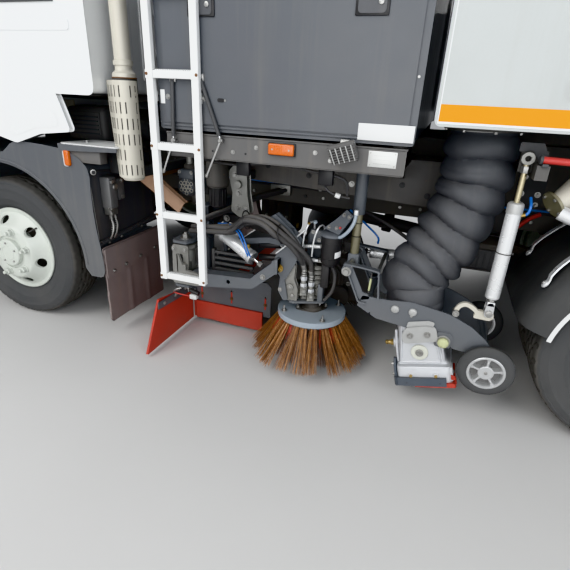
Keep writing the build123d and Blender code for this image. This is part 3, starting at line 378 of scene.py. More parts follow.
    def tube(self, pts, r, m, seg=10, n=6, rad=None, flat=None, cap=True):
        """A round tube (or flat bar, flat=(width, thickness)) along a smooth line through points."""
        path = catmull(pts, n)
        fr = frames(path)
        L = len(fr)
        vs, fs = [], []
        if flat:
            prof = [(-flat[0] / 2, -flat[1] / 2), (flat[0] / 2, -flat[1] / 2), (flat[0] / 2, flat[1] / 2), (-flat[0] / 2, flat[1] / 2)]
            seg = 4
        for i, (c, u, w) in enumerate(fr):
            k = r if rad is None else r * rad(i / (L - 1))
            for s in range(seg):
                if flat:
                    vs.append(c + u * prof[s][0] + w * prof[s][1])
                else:
                    th = 2 * pi * s / seg
                    vs.append(c + (u * cos(th) + w * sin(th)) * k)
        for i in range(L - 1):
            for s in range(seg):
                s2 = (s + 1) % seg
                fs.append((i * seg + s, i * seg + s2, (i + 1) * seg + s2, (i + 1) * seg + s))
        if cap:
            fs.append(tuple(range(seg))[::-1])
            fs.append(tuple((L - 1) * seg + s for s in range(seg)))
        self.raw(vs, fs, m)

    def strip(self, pts, width_dir, w, t, m, n=6):
        """A flat bar along points, its width along width_dir."""
        path = catmull(pts, n) if n > 1 else [V(p) for p in pts]
        W = V(width_dir).normalized()
        vs, fs = [], []
        L = len(path)
        for i in range(L):
            tan = (path[min(i + 1, L - 1)] - path[max(i - 1, 0)]).normalized()
            nn = tan.cross(W).normalized()
            k = 1.0
            if 0 < i < L - 1:
                a = (path[i] - path[i - 1]).normalized()
                c = max(0.35, a.dot(tan))
                k = 1 / c
            for a, b in ((-1, -1), (1, -1), (1, 1), (-1, 1)):
                vs.append(path[i] + W * a * w / 2 + nn * b * t / 2 * k)
        for i in range(L - 1):
            for s in range(4):
                s2 = (s + 1) % 4
                fs.append((i * 4 + s, i * 4 + s2, (i + 1) * 4 + s2, (i + 1) * 4 + s))
        fs.append((3, 2, 1, 0))
        fs.append(tuple((L - 1) * 4 + s for s in range(4)))
        self.raw(vs, fs, m)

    def bolt(self, p, d, r, m="zinc", washer=True, stud=0.0, h=None, wm=None):
        """A hexagon head of half width r on its washer; stud adds a thread that stands out of a nut."""
        if "hex" not in _BOLT:
            bm = bmesh.new()
            bmesh.ops.create_cone(bm, cap_ends=True, cap_tris=False, segments=6, radius1=1, radius2=1, depth=1)
            top = [e for e in bm.edges if e.verts[0].co.z > 0.4 and e.verts[1].co.z > 0.4]
            bmesh.ops.bevel(bm, geom=top, offset=0.13, segments=1, affect="EDGES")
            bm.verts.index_update()
            _BOLT["hex"] = ([v.co.copy() for v in bm.verts], [[v.index for v in f.verts] for f in bm.faces])
            bm.free()
        u, w, t = basis(d)
        a = random.uniform(0, pi)
        u, w = u * cos(a) + w * sin(a), w * cos(a) - u * sin(a)
        p = V(p)
        h = h or r * 1.05
        z = 0.0
        if washer:
            self.cyl(p, p + t * r * 0.28, r * 1.65, wm or m, seg=18)
            z = r * 0.28
        vs = [p + u * (v.x * r * 1.1) + w * (v.y * r * 1.1) + t * (z + (v.z + 0.5) * h) for v in _BOLT["hex"][0]]
        self.raw(vs, _BOLT["hex"][1], m)
        if stud:
            self.cyl(p + t * (z + h * 0.9), p + t * (z + h + stud), r * 0.55, m, seg=12, b=r * 0.12, bs=1)

    def ball(self, c, r, m, seg=16, squash=1.0, d=(0, 0, 1)):
        n = max(4, seg // 2)
        prof = [(-r * squash * cos(pi * k / n), r * sin(pi * k / n)) for k in range(n + 1)]
        prof = [(a, 0 if k in (0, n) else rr) for k, (a, rr) in enumerate(prof)]
        self.lathe(prof, c, d, m, seg=seg)

    def ring(self, c, d, R, r, m, seg=36, rs=10):
        self.lathe([(r * sin(2 * pi * k / rs), R + r * cos(2 * pi * k / rs)) for k in range(rs)], c, d, m, seg=seg, closed=True)

    def done(self, *replaces, slot=None, sharp=32, smooth=True):
        me = bpy.data.meshes.new(self.name)
        me.from_pydata(self.v, [], self.f)
        for m in self.mats:
            me.materials.append(m)
        me.polygons.foreach_set("material_index", self.fm)
        me.update()
        if smooth:
            me.polygons.foreach_set("use_smooth", [True] * len(me.polygons))
            me.set_sharp_from_angle(angle=radians(sharp))
        me.update()
        ob = bpy.data.objects.new(self.name, me)
        bpy.context.scene.collection.objects.link(ob)
        if self.body:
            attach(ob, self.body)
        if replaces:
            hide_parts(*replaces)
        return ob


def rounded(pts, r, n=4):
    """Rounds the corners of an outline: r is one radius or one per corner."""
    out, N = [], len(pts)
    for i in range(N):
        p0, p1, p2 = V(pts[i - 1]), V(pts[i]), V(pts[(i + 1) % N])
        rr = r[i] if isinstance(r, (list, tuple)) else r
        a, c = (p0 - p1), (p2 - p1)
        if rr <= 0 or a.length < 1e-6 or c.length < 1e-6:
            out.append((p1.x, p1.y))
            continue
        ang = a.angle(c)
        cut = min(rr / max(math.tan(ang / 2), 1e-3), 0.48 * a.length, 0.48 * c.length)
        s, e = p1 + a.normalized() * cut, p1 + c.normalized() * cut
        for k in range(n + 1):
            t = k / n
            q = s * (1 - t) ** 2 + p1 * 2 * t * (1 - t) + e * t * t
            out.append((q.x, q.y))
    return out


def circle(cx, cy, r, n=24, a0=0.0):
    return [(cx + r * cos(a0 + 2 * pi * k / n), cy + r * sin(a0 + 2 * pi * k / n)) for k in range(n)]


def rect(x0, x1, z0, z1, r=0.0, n=3):
    p = [(x0, z0), (x1, z0), (x1, z1), (x0, z1)]
    return rounded(p, r, n) if r > 0 else p


def slot_hole(x0, x1, z0, z1, n=6):
    """A slot with round ends, upright or lying."""
    if z1 - z0 >= x1 - x0:
        r, cx = (x1 - x0) / 2, (x0 + x1) / 2
        return [(cx + r * cos(a), z0 + r + r * sin(a)) for a in [pi + pi * k / n for k in range(n + 1)]] + \
               [(cx + r * cos(a), z1 - r + r * sin(a)) for a in [pi * k / n for k in range(n + 1)]]
    r, cz = (z1 - z0) / 2, (z0 + z1) / 2
    return [(x1 - r + r * cos(a), cz + r * sin(a)) for a in [-pi / 2 + pi * k / n for k in range(n + 1)]] + \
           [(x0 + r + r * cos(a), cz + r * sin(a)) for a in [pi / 2 + pi * k / n for k in range(n + 1)]]


# ------------------------------------------------------------------ the finishes
BROWN_DIRT = (0.20, 0.165, 0.125)
mat("hopper_paint", (0.468, 0.494, 0.491), rough=0.32, coat=0.25, var=0.03, vscale=1.2, dirt=0.25, dtop=1.6, dlow=0.9, dust=0.03, streak=0.10, bump=0.03, bscale=120)
mat("orange_stripe", (0.80, 0.330, 0.001), rough=0.5, spec=0.12, var=0.04, dirt=0.05, dust=0.02, bump=0.03)
mat("housing_paint", (0.102, 0.112, 0.128), rough=0.42, coat=0.12, var=0.07, vscale=1.6, dirt=0.20, dtop=1.7, dlow=1.0, dust=0.035, streak=0.12, spots=0.08, bump=0.05, bscale=150)
mat("beam_grey", (0.120, 0.121, 0.123), rough=0.55, var=0.10, dirt=0.5, dtop=1.25, dlow=0.6, dust=0.10, streak=0.3, spots=0.3, bump=0.12)
mat("under_dark", (0.088, 0.087, 0.086), rough=0.62, var=0.2, dirt=0.55, dtop=1.3, dlow=0.3, dcol=(0.16, 0.14, 0.115), dust=0.14, streak=0.2, spots=0.35, bump=0.25, bscale=90)
mat("frame_grey", (0.105, 0.104, 0.102), rough=0.58, var=0.18, vscale=2.2, dirt=0.55, dtop=1.2, dlow=0.5, dcol=(0.15, 0.135, 0.11), dust=0.15, streak=0.15, spots=0.15, scol=(0.20, 0.10, 0.045), bump=0.18, bscale=110)
mat("chassis_paint", (0.070, 0.072, 0.076), rough=0.5, var=0.15, dirt=0.5, dtop=1.1, dlow=0.2, dcol=(0.17, 0.15, 0.125), dust=0.13, spots=0.3, scol=(0.22, 0.10, 0.04), bump=0.18, bscale=110)
mat("gear_paint", (0.120, 0.131, 0.146), rough=0.40, coat=0.1, var=0.06, vscale=5, dirt=0.25, dtop=0.75, dlow=0.1, dust=0.05, wcol=(0.33, 0.31, 0.29), spots=0.12, bump=0.06, bscale=160)
mat("gear_blue", (0.330, 0.385, 0.440), rough=0.38, coat=0.15, var=0.06, vscale=6, dirt=0.22, dtop=0.6, dlow=0.1, dust=0.05, wcol=(0.45, 0.44, 0.43), spots=0.15, bump=0.06, bscale=160)
mat("cab_paint", (0.88, 0.895, 0.90), rough=0.22, coat=0.7, var=0.015, vscale=1.0, dirt=0.20, dtop=1.35, dlow=0.9, dcol=(0.42, 0.40, 0.36), dust=0.01, bump=0.0)
mat("grey_plastic", (0.108, 0.115, 0.126), rough=0.5, var=0.05, vscale=2.0, dirt=0.30, dtop=0.9, dlow=0.3, dcol=(0.26, 0.245, 0.22), dust=0.06, streak=0.15, bump=0.25, bscale=420)
mat("guard_plastic", (0.058, 0.060, 0.062), rough=0.60, spec=0.4, var=0.10, vscale=3.0, dirt=0.25, dtop=0.95, dlow=0.4, dcol=(0.16, 0.15, 0.135), dust=0.10, streak=0.10, bump=0.30, bscale=300)
mat("dark_plastic", (0.080, 0.083, 0.088), rough=0.55, var=0.1, dirt=0.40, dtop=0.95, dlow=0.2, dcol=(0.22, 0.20, 0.175), dust=0.09, bump=0.25, bscale=380)
mat("black_plastic", (0.028, 0.028, 0.030), rough=0.38, var=0.1, dirt=0.2, dust=0.04, bump=0.12, bscale=300)
mat("bare_plate", (0.092, 0.096, 0.105), rough=0.42, metal=0.2, var=0.15, vscale=6, dirt=0.30, dtop=1.0, dlow=0.4, dust=0.07, streak=0.3, spots=0.2, bump=0.08)
mat("tyre_rubber", (0.074, 0.076, 0.079), rough=0.74, spec=0.3, var=0.12, vscale=7, dirt=0.30, dtop=0.75, dlow=-0.1, dcol=(0.20, 0.19, 0.175), dust=0.06, bump=0.25, bscale=240)
mat("worn_tread", (0.080, 0.079, 0.077), rough=0.85, spec=0.25, var=0.15, vscale=12, dirt=0.5, dtop=0.9, dlow=-0.2, dcol=(0.24, 0.225, 0.20), dust=0.05, bump=0.5, bscale=320)
mat("wheel_paint", (0.60, 0.635, 0.585), rough=0.36, coat=0.2, var=0.05, vscale=9, dirt=0.38, dtop=0.65, dlow=0.1, dcol=(0.30, 0.29, 0.25), dust=0.05, wcol=(0.20, 0.16, 0.13), wmetal=0.2, bump=0.08, bscale=130)
mat("flap_rubber", (0.245, 0.210, 0.206), rough=0.72, spec=0.3, var=0.22, vscale=5, dirt=0.35, dtop=0.6, dlow=0.0, dcol=(0.22,0.175,0.15), dust=0.1, streak=0.5, bump=0.3, bscale=160)
mat("red_rubber", (0.47, 0.066, 0.048), rough=0.58, spec=0.35, var=0.16, vscale=7, dirt=0.45, dtop=0.20, dlow=0.0, dcol=(0.25, 0.16, 0.13), dust=0.04, spots=0.25, scol=(0.20, 0.10, 0.08), bump=0.2, bscale=170)
mat("dark_rubber", (0.045, 0.046, 0.048), rough=0.62, spec=0.4, var=0.15, vscale=8, dirt=0.35, dtop=0.9, dlow=0.1, dust=0.12, bump=0.25, bscale=260)
mat("hose_rubber", (0.082, 0.086, 0.095), rough=0.56, spec=0.42, var=0.10, vscale=5, dirt=0.22, dtop=1.25, dlow=0.3, dcol=(0.22, 0.205, 0.19), dust=0.07, streak=0.12, bump=0.30, bscale=200)
mat("lip_rubber", (0.070, 0.090, 0.118), rough=0.6, var=0.10, vscale=9, dirt=0.3, dtop=0.3, dlow=0.0, dust=0.12, bump=0.2)
mat("ladder_paint", (0.84, 0.85, 0.845), rough=0.36, coat=0.2, var=0.03, vscale=4, dirt=0.12, dtop=1.3, dlow=0.4, dust=0.04, streak=0.10, wcol=(0.36, 0.25, 0.18), wmetal=0.2, spots=0.12, scol=(0.45, 0.24, 0.10), bump=0.05)
mat("shield_cream", (0.62, 0.595, 0.52), rough=0.42, metal=0.1, var=0.06, vscale=5, dirt=0.16, dtop=1.5, dlow=0.8, dust=0.03, streak=0.12, spots=0.2, scol=(0.30, 0.20, 0.11), bump=0.06)
mat("cast_alloy", (0.61, 0.625, 0.65), rough=0.40, metal=0.30, var=0.10, vscale=9, dirt=0.34, dtop=0.45, dlow=0.03, dcol=(0.36, 0.34, 0.31), dust=0.05, spots=0.1, bump=0.35, bscale=420)
mat("alloy", (0.68, 0.69, 0.70), rough=0.30, metal=0.7, var=0.05, vscale=8, dirt=0.22, dtop=0.8, dlow=0.1, dcol=(0.35, 0.33, 0.30), dust=0.08, bump=0.10, bscale=260)
mat("silver_tube", (0.80, 0.815, 0.825), rough=0.26, metal=0.45, coat=0.1, var=0.03, vscale=6, dirt=0.18, dtop=1.1, dlow=0.3, dust=0.06, bump=0.03, stretch=(1, 1, 0.1))
mat("zinc", (0.42, 0.42, 0.41), rough=0.34, metal=0.85, var=0.12, vscale=30, dirt=0.35, dtop=1.2, dlow=0.1, dust=0.08, spots=0.25, scol=(0.24, 0.14, 0.07), bump=0.12, bscale=300)
mat("white_cap", (0.66, 0.665, 0.655), rough=0.42, var=0.04, vscale=30, dirt=0.3, dtop=0.8, dlow=0.1, dust=0.10, bump=0.04)
mat("yellow_cap", (0.55, 0.58, 0.33), rough=0.45, var=0.10, vscale=30, dirt=0.4, dtop=0.8, dlow=0.1, dust=0.12, bump=0.04)
mat("nylon_ring", (0.62, 0.63, 0.56), rough=0.5, var=0.06, vscale=30, dirt=0.35, dtop=0.6, dlow=0.1, dust=0.08, bump=0.08)
mat("brass", (0.48, 0.34, 0.13), rough=0.36, metal=0.85, var=0.15, vscale=40, dirt=0.4, dtop=0.9, dlow=0.1, dust=0.12, bump=0.1)
mat("chrome", (0.70, 0.70, 0.70), rough=0.14, metal=1.0, var=0.02, dirt=0.15, dtop=1.0, dlow=0.2, dust=0.05, bump=0.0)
mat("plug_grey", (0.46, 0.465, 0.46), rough=0.42, metal=0.35, var=0.10, vscale=16, dirt=0.30, dtop=0.8, dlow=0.1, dcol=(0.25, 0.23, 0.20), dust=0.08, spots=0.15, bump=0.15, bscale=300)
# darker copy of the alloy for the recessed web between the small wheel's spokes: painted shade for the pockets
mat("wheel_pocket_shade", (0.20, 0.205, 0.21), rough=0.55, metal=0.4, var=0.12, vscale=12, dirt=0.45, dtop=0.6, dlow=0.1, dust=0.10, bump=0.2, bscale=260)
mat("rod_brass", (0.56, 0.50, 0.34), rough=0.26, metal=0.8, var=0.06, vscale=20, dirt=0.25, dtop=1.2, dlow=0.2, dcol=(0.30, 0.27, 0.20), dust=0.05, bump=0.05, bscale=300)
mat("motor_alloy", (0.33, 0.33, 0.315), rough=0.48, metal=0.6, var=0.14, vscale=18, dirt=0.65, dtop=0.8, dlow=0.2, dcol=(0.16, 0.145, 0.12), dust=0.12, spots=0.4, bump=0.35, bscale=240)
mat("engine_iron", (0.110, 0.107, 0.103), rough=0.6, metal=0.35, var=0.25, vscale=8, dirt=0.6, dtop=1.4, dlow=0.4, dcol=(0.15, 0.125, 0.10), dust=0.15, spots=0.4, bump=0.35, bscale=140)
mat("engine_green", (0.16, 0.165, 0.14), rough=0.5, metal=0.3, var=0.15, vscale=10, dirt=0.5, dtop=1.3, dlow=0.4, dust=0.2, spots=0.2, bump=0.2)
mat("rust_steel", (0.20, 0.105, 0.055), rough=0.75, metal=0.2, var=0.35, vscale=14, dirt=0.35, dcol=(0.11, 0.07, 0.045), dust=0.12, streak=0.2, bump=0.5, bscale=120)
# tan primer, its colour lifted above its own tone as painted light to offset the shade where the guard plate hangs
mat("primer_tan_painted_light", (0.44, 0.285, 0.200), rough=0.6, var=0.12, vscale=9, dirt=0.25, dcol=(0.20, 0.15, 0.11), dust=0.08, streak=0.2, bump=0.12)
mat("valve_grey", (0.20, 0.203, 0.208), rough=0.45, metal=0.3, var=0.2, vscale=10, dirt=0.45, dust=0.10, spots=0.25, bump=0.15)
mat("copper_tube", (0.36, 0.20, 0.12), rough=0.42, metal=0.7, var=0.2, vscale=12, dirt=0.4, dtop=1.2, dlow=0.4, dust=0.15, bump=0.1)
mat("olive_tube", (0.25, 0.235, 0.165), rough=0.42, metal=0.35, var=0.12, vscale=9, dirt=0.35, dtop=1.1, dlow=0.4, dust=0.1, bump=0.08)
mat("hose_line", (0.062, 0.062, 0.065), rough=0.52, var=0.2, vscale=20, dirt=0.5, dtop=1.0, dlow=0.2, dcol=(0.19, 0.175, 0.155), dust=0.22, bump=0.35, bscale=340)
mat("blue_line", (0.02, 0.15, 0.50), rough=0.32, coat=0.3, var=0.05, dirt=0.15, dust=0.06, bump=0.0)
mat("red_paint", (0.52, 0.045, 0.04), rough=0.38, coat=0.2, var=0.08, dirt=0.3, dtop=1.3, dlow=0.6, dust=0.1, bump=0.05)
mat("white_plate", (0.78, 0.79, 0.79), rough=0.35, coat=0.2, var=0.03, dirt=0.15, dtop=1.4, dlow=0.6, dust=0.05, spots=0.05, bump=0.0)
mat("data_plate", (0.66, 0.67, 0.66), rough=0.32, metal=0.5, var=0.05, vscale=30, dirt=0.2, dtop=1.4, dlow=0.8, dust=0.05, streak=0.1, bump=0.03)
mat("blue_trim", (0.03, 0.22, 0.50), rough=0.4, coat=0.2, var=0.03, dirt=0.1, dust=0.04, bump=0.0)
mat("seat_cloth", (0.055, 0.06, 0.075), rough=0.85, spec=0.2, var=0.12, vscale=14, dirt=0.0, dust=0.0, sheen=0.4, bump=0.6, bscale=700)
mat("trim_soft", (0.040, 0.041, 0.045), rough=0.7, spec=0.3, var=0.06, vscale=5, dirt=0.0, dust=0.05, bump=0.4, bscale=500)
mat("blade_metal", (0.12, 0.12, 0.125), rough=0.40, metal=0.6, var=0.2, vscale=9, dirt=0.6, dtop=0.6, dlow=0.05, dust=0.2, spots=0.3, bump=0.2)


def lens(name, col, rough=0.16, rib=260.0, trans=0.0):
    """A ribbed lamp lens."""
    def extra(nt, obj, sep, c, r):
        return c, r
    m = mat(name, col, rough=rough + 0.1, coat=0.8, var=0.10, vscale=24, dirt=0.15, dust=0.08, bump=0.0, extra=extra)
    nt = m.node_tree
    b = nt.nodes["Principled BSDF"]
    w = node(nt, "ShaderNodeTexWave", Scale=rib / 6.0)
    w.bands_direction = "X"
    tc = nt.nodes.new("ShaderNodeTexCoord")
    nt.links.new(tc.outputs["Object"], w.inputs["Vector"])
    bp = node(nt, "ShaderNodeBump")
    bp.inputs["Strength"].default_value = 0.35
    bp.inputs["Distance"].default_value = 0.002
    nt.links.new(w.outputs["Fac"], bp.inputs["Height"])
    nt.links.new(bp.outputs["Normal"], b.inputs["Normal"])
    b.inputs["Transmission Weight"].default_value = trans
    return m


lens("amber_lens", (0.62, 0.125, 0.002))
lens("bright_amber", (0.86, 0.26, 0.004), rough=0.1)
lens("red_lens", (0.50, 0.015, 0.015))
lens("clear_lens", (0.78, 0.80, 0.82), trans=0.35)


def glass(name, tint=(0.72, 0.82, 0.82), rough=0.02):
    m = bpy.data.materials.new(name)
    m.use_nodes = True
    nt = m.node_tree
    b = nt.nodes["Principled BSDF"]
    tc = nt.nodes.new("ShaderNodeTexCoord")
    n = noise(nt, tc.outputs["Object"], 3.0, 7, 0.7)
    film = math_(nt, "MULTIPLY", ramp(nt, n, 0.42, 0.85), 0.20)
    nt.links.new(mix(nt, film, c4(tint), c4((0.50, 0.48, 0.44))), b.inputs["Base Color"])
    nt.links.new(math_(nt, "ADD", math_(nt, "MULTIPLY", film, 0.8), rough), b.inputs["Roughness"])
    b.inputs["Transmission Weight"].default_value = 0.92
    b.inputs["IOR"].default_value = 1.45
    b.inputs["Coat Weight"].default_value = 0.3
    MATS[name] = m
    return m


glass("cab_glass_mat", (0.42, 0.50, 0.50))


def bristle_mat(name, a, b_, c):
    """Strands of brush wire: each runs through a few tones, with a third tone mixed in patches."""
    def extra(nt, obj, sep, col, rgh):
        n = noise(nt, obj, 75.0, 3, 0.6)
        k = ramp(nt, n, 0.30, 0.66, c4(a), c4(b_))
        k2 = mix(nt, ramp(nt, noise(nt, obj, 9, 4, 0.6), 0.45, 0.8), k, c4(c))
        return k2, rgh
    return mat(name, a, rough=0.48, var=0.2, dirt=0.0, dust=0.0, bump=0.0, extra=extra)


bristle_mat("bristle", (0.210, 0.095, 0.038), (0.56, 0.310, 0.140), (0.400, 0.170, 0.045))
bristle_mat("bristle_rust", (0.110, 0.045, 0.022), (0.24, 0.105, 0.048), (0.090, 0.042, 0.026))
bristle_mat("bristle_dark", (0.05, 0.046, 0.042), (0.12, 0.105, 0.09), (0.075, 0.06, 0.05))


# ------------------------------------------------------------------ floor and light
def stage():
    bm = bmesh.new()
    bmesh.ops.create_grid(bm, x_segments=1, y_segments=1, size=40)
    me = bpy.data.meshes.new("floor")
    bm.to_mesh(me)
    bm.free()
    m = bpy.data.materials.new("floor_pale")
    m.use_nodes = True
    nt = m.node_tree
    b = nt.nodes["Principled BSDF"]
    tc = nt.nodes.new("ShaderNodeTexCoord")
    nt.links.new(mix(nt, noise(nt, tc.outputs["Object"], 0.8, 6, 0.6), (0.60, 0.595, 0.585, 1), (0.65, 0.645, 0.635, 1)), b.inputs["Base Color"])
    b.inputs["Roughness"].default_value = 0.85
    me.materials.append(m)
    ob = bpy.data.objects.new("floor", me)
    bpy.context.scene.collection.objects.link(ob)

    def area(name, loc, target, size, energy, col=(1, 1, 1)):
        l = bpy.data.lights.new(name, "AREA")
        l.shape, l.size, l.energy, l.color = "SQUARE", size, energy, col
        o = bpy.data.objects.new(name, l)
        o.location = loc
        o.rotation_euler = (V(target) - V(loc)).to_track_quat("-Z", "Y").to_euler()
        bpy.context.scene.collection.objects.link(o)
    area("key", (-4.0, -8.0, 7.5), (0.2, -0.8, 0.8), 6.0, 740, (1.0, 0.985, 0.96))
    area("fill", (6.5, -7.0, 4.0), (0.6, -0.8, 0.6), 6.0, 420, (0.94, 0.97, 1.0))
    area("low", (0.4, -6.5, 1.0), (0.2, -0.6, 0.5), 4.0, 190)
    area("back", (3.0, 9.0, 6.5), (0.0, 0.4, 1.2), 7.0, 620)
    area("nose", (-9.5, 2.0, 5.0), (-2.0, 0.0, 1.2), 5.0, 380)
    w = bpy.data.worlds.new("world")
    bpy.context.scene.world = w
    w.use_nodes = True
    w.node_tree.nodes["Background"].inputs["Color"].default_value = (0.90, 0.93, 0.97, 1)
    w.node_tree.nodes["Background"].inputs["Strength"].default_value = 1.05


stage()
bpy.context.scene.view_settings.view_transform = "Khronos PBR Neutral"
bpy.context.scene.view_settings.exposure = -0.64


# ------------------------------------------------------------------ wheels
HUB_Z, FX, RX, WY, IY = 0.3985, -1.625, 1.425, 0.957, 0.692


def tyre(name, body, x, y, s, lug, *replaces):
    """Tyre turned about Y: s points outboard. lug is True for a blocky drive tread."""
    R, W = 0.3985, 0.235
    prof = [(-0.078, 0.2235), (-0.084, 0.2255), (-0.0865, 0.232), (-0.087, 0.240), (-0.0925, 0.2475), (-0.0985, 0.250), (-0.1005, 0.2535),
            (-0.1075, 0.268), (-0.1135, 0.288), (-0.1155, 0.2905), (-0.1150, 0.2935), (-0.1165, 0.305), (-0.1172, 0.322), (-0.1160, 0.340),
            (-0.1172, 0.3425), (-0.1165, 0.3455), (-0.1125, 0.360), (-0.1090, 0.3705), (-0.1100, 0.3725), (-0.1055, 0.3815), (-0.1000, 0.3885)]
    tread = []
    for k in range(25):
        a = -0.093 + 0.186 * k / 24
        tread.append((a, R - 0.0075 * (abs(a) / 0.093) ** 2.6))
    prof = prof + tread + [(-a, r) for a, r in prof[::-1]]
    n = 216
    u, w, t = V((1, 0, 0)), V((0, 0, 1)), V((0, s, 0))
    vs, fs, fm = [], [], []
    groove = (-0.052, -0.017, 0.017, 0.052)
    for i, (a, r) in enumerate(prof):
        for k in range(n):
            th = 2 * pi * k / n
            rr, aa = r, a
            if 21 <= i < 21 + 25:
                if lug:
                    zz = 0.006 * (1 if (k // 3) % 2 else -1)
                    d = min(abs(a - g - zz) for g in (-0.058, -0.020, 0.020, 0.058))
                    cut = d < 0.0055
                    row = 0 if abs(a) > 0.058 else (1 if abs(a) > 0.02 else 2)
                    if (k + row * 3) % 6 == 0 and abs(a) > 0.008:
                        cut = True
                    if cut:
                        rr -= 0.0115
                else:
                    zz = 0.0042 * sin(2 * pi * k / 6.0)
                    d = min(abs(a - g - zz) for g in groove)
                    if d < 0.0045:
                        rr -= 0.0095
                    elif abs(a) > 0.075 and k % 4 == 0:
                        rr -= 0.0035
            elif 17 <= i < 21 or 46 <= i < 50:                      # shoulder lugs
                if (k % 6 == 0) if lug else (k % 4 == 0):
                    rr -= 0.0035
                    aa *= 0.985
            elif abs(a) > 0.112 and 0.305 < r < 0.345:
                aa *= 1 + 0.0012 * sin(36 * th)
            vs.append(V((x, y, HUB_Z)) + t * aa + (u * cos(th) + w * sin(th)) * rr)
    g = Group(name, body)
    nf = len(prof)
    mt, ms = g.mi("worn_tread"), g.mi("tyre_rubber")
    for i in range(nf - 1):
        for k in range(n):
            k2 = (k + 1) % n
            f = (i * n + k, i * n + k2, (i + 1) * n + k2, (i + 1) * n + k)
            fs.append(f if s < 0 else f[::-1])
            fm.append(mt if 19 <= i < 47 else ms)
    for k in range(n):                                             # inside, bead to bead
        k2 = (k + 1) % n
        f = ((nf - 1) * n + k, (nf - 1) * n + k2, k2, k)
        fs.append(f if s < 0 else f[::-1])
        fm.append(ms)
    g.v, g.f, g.fm = [tuple(p) for p in vs], fs, fm
    return g.done(*replaces, slot="tyre_black", sharp=38)


def cut_holes(ob, cutters):
    for c in cutters:
        md = ob.modifiers.new("cut", "BOOLEAN")
        md.operation, md.solver, md.object = "DIFFERENCE", "EXACT", c
    dg = bpy.context.evaluated_depsgraph_get()
    me = bpy.data.meshes.new_from_object(ob.evaluated_get(dg))
    ob.modifiers.clear()
    old = ob.data
    ob.data = me
    bpy.data.meshes.remove(old)
    for c in cutters:
        bpy.data.objects.remove(c)
    me.polygons.foreach_set("use_smooth", [True] * len(me.polygons))
    me.set_sharp_from_angle(angle=radians(32))


def cutter(name, prof2d, x, y, z, s, th, reach, depth0, depth1):
    """A prism through a wheel disc at angle th: outline in (tangent, radial) about radius reach."""
    bm = bmesh.new()
    er, et, ax = V((cos(th), 0, sin(th))), V((-sin(th), 0, cos(th))), V((0, s, 0))
    c = V((x, y, z)) + er * reach
    va = [bm.verts.new(c + et * a + er * b + ax * depth0) for a, b in prof2d]
    vb = [bm.verts.new(c + et * a + er * b + ax * depth1) for a, b in prof2d]
    n = len(prof2d)
    bm.faces.new(va)
    bm.faces.new(vb[::-1])
    for i in range(n):
        bm.faces.new((va[i], va[(i + 1) % n], vb[(i + 1) % n], vb[i]))
    bmesh.ops.recalc_face_normals(bm, faces=bm.faces[:])
    me = bpy.data.meshes.new(name)
    bm.to_mesh(me)
    bm.free()
    o = bpy.data.objects.new(name, me)
    bpy.context.scene.collection.objects.link(o)
    return o


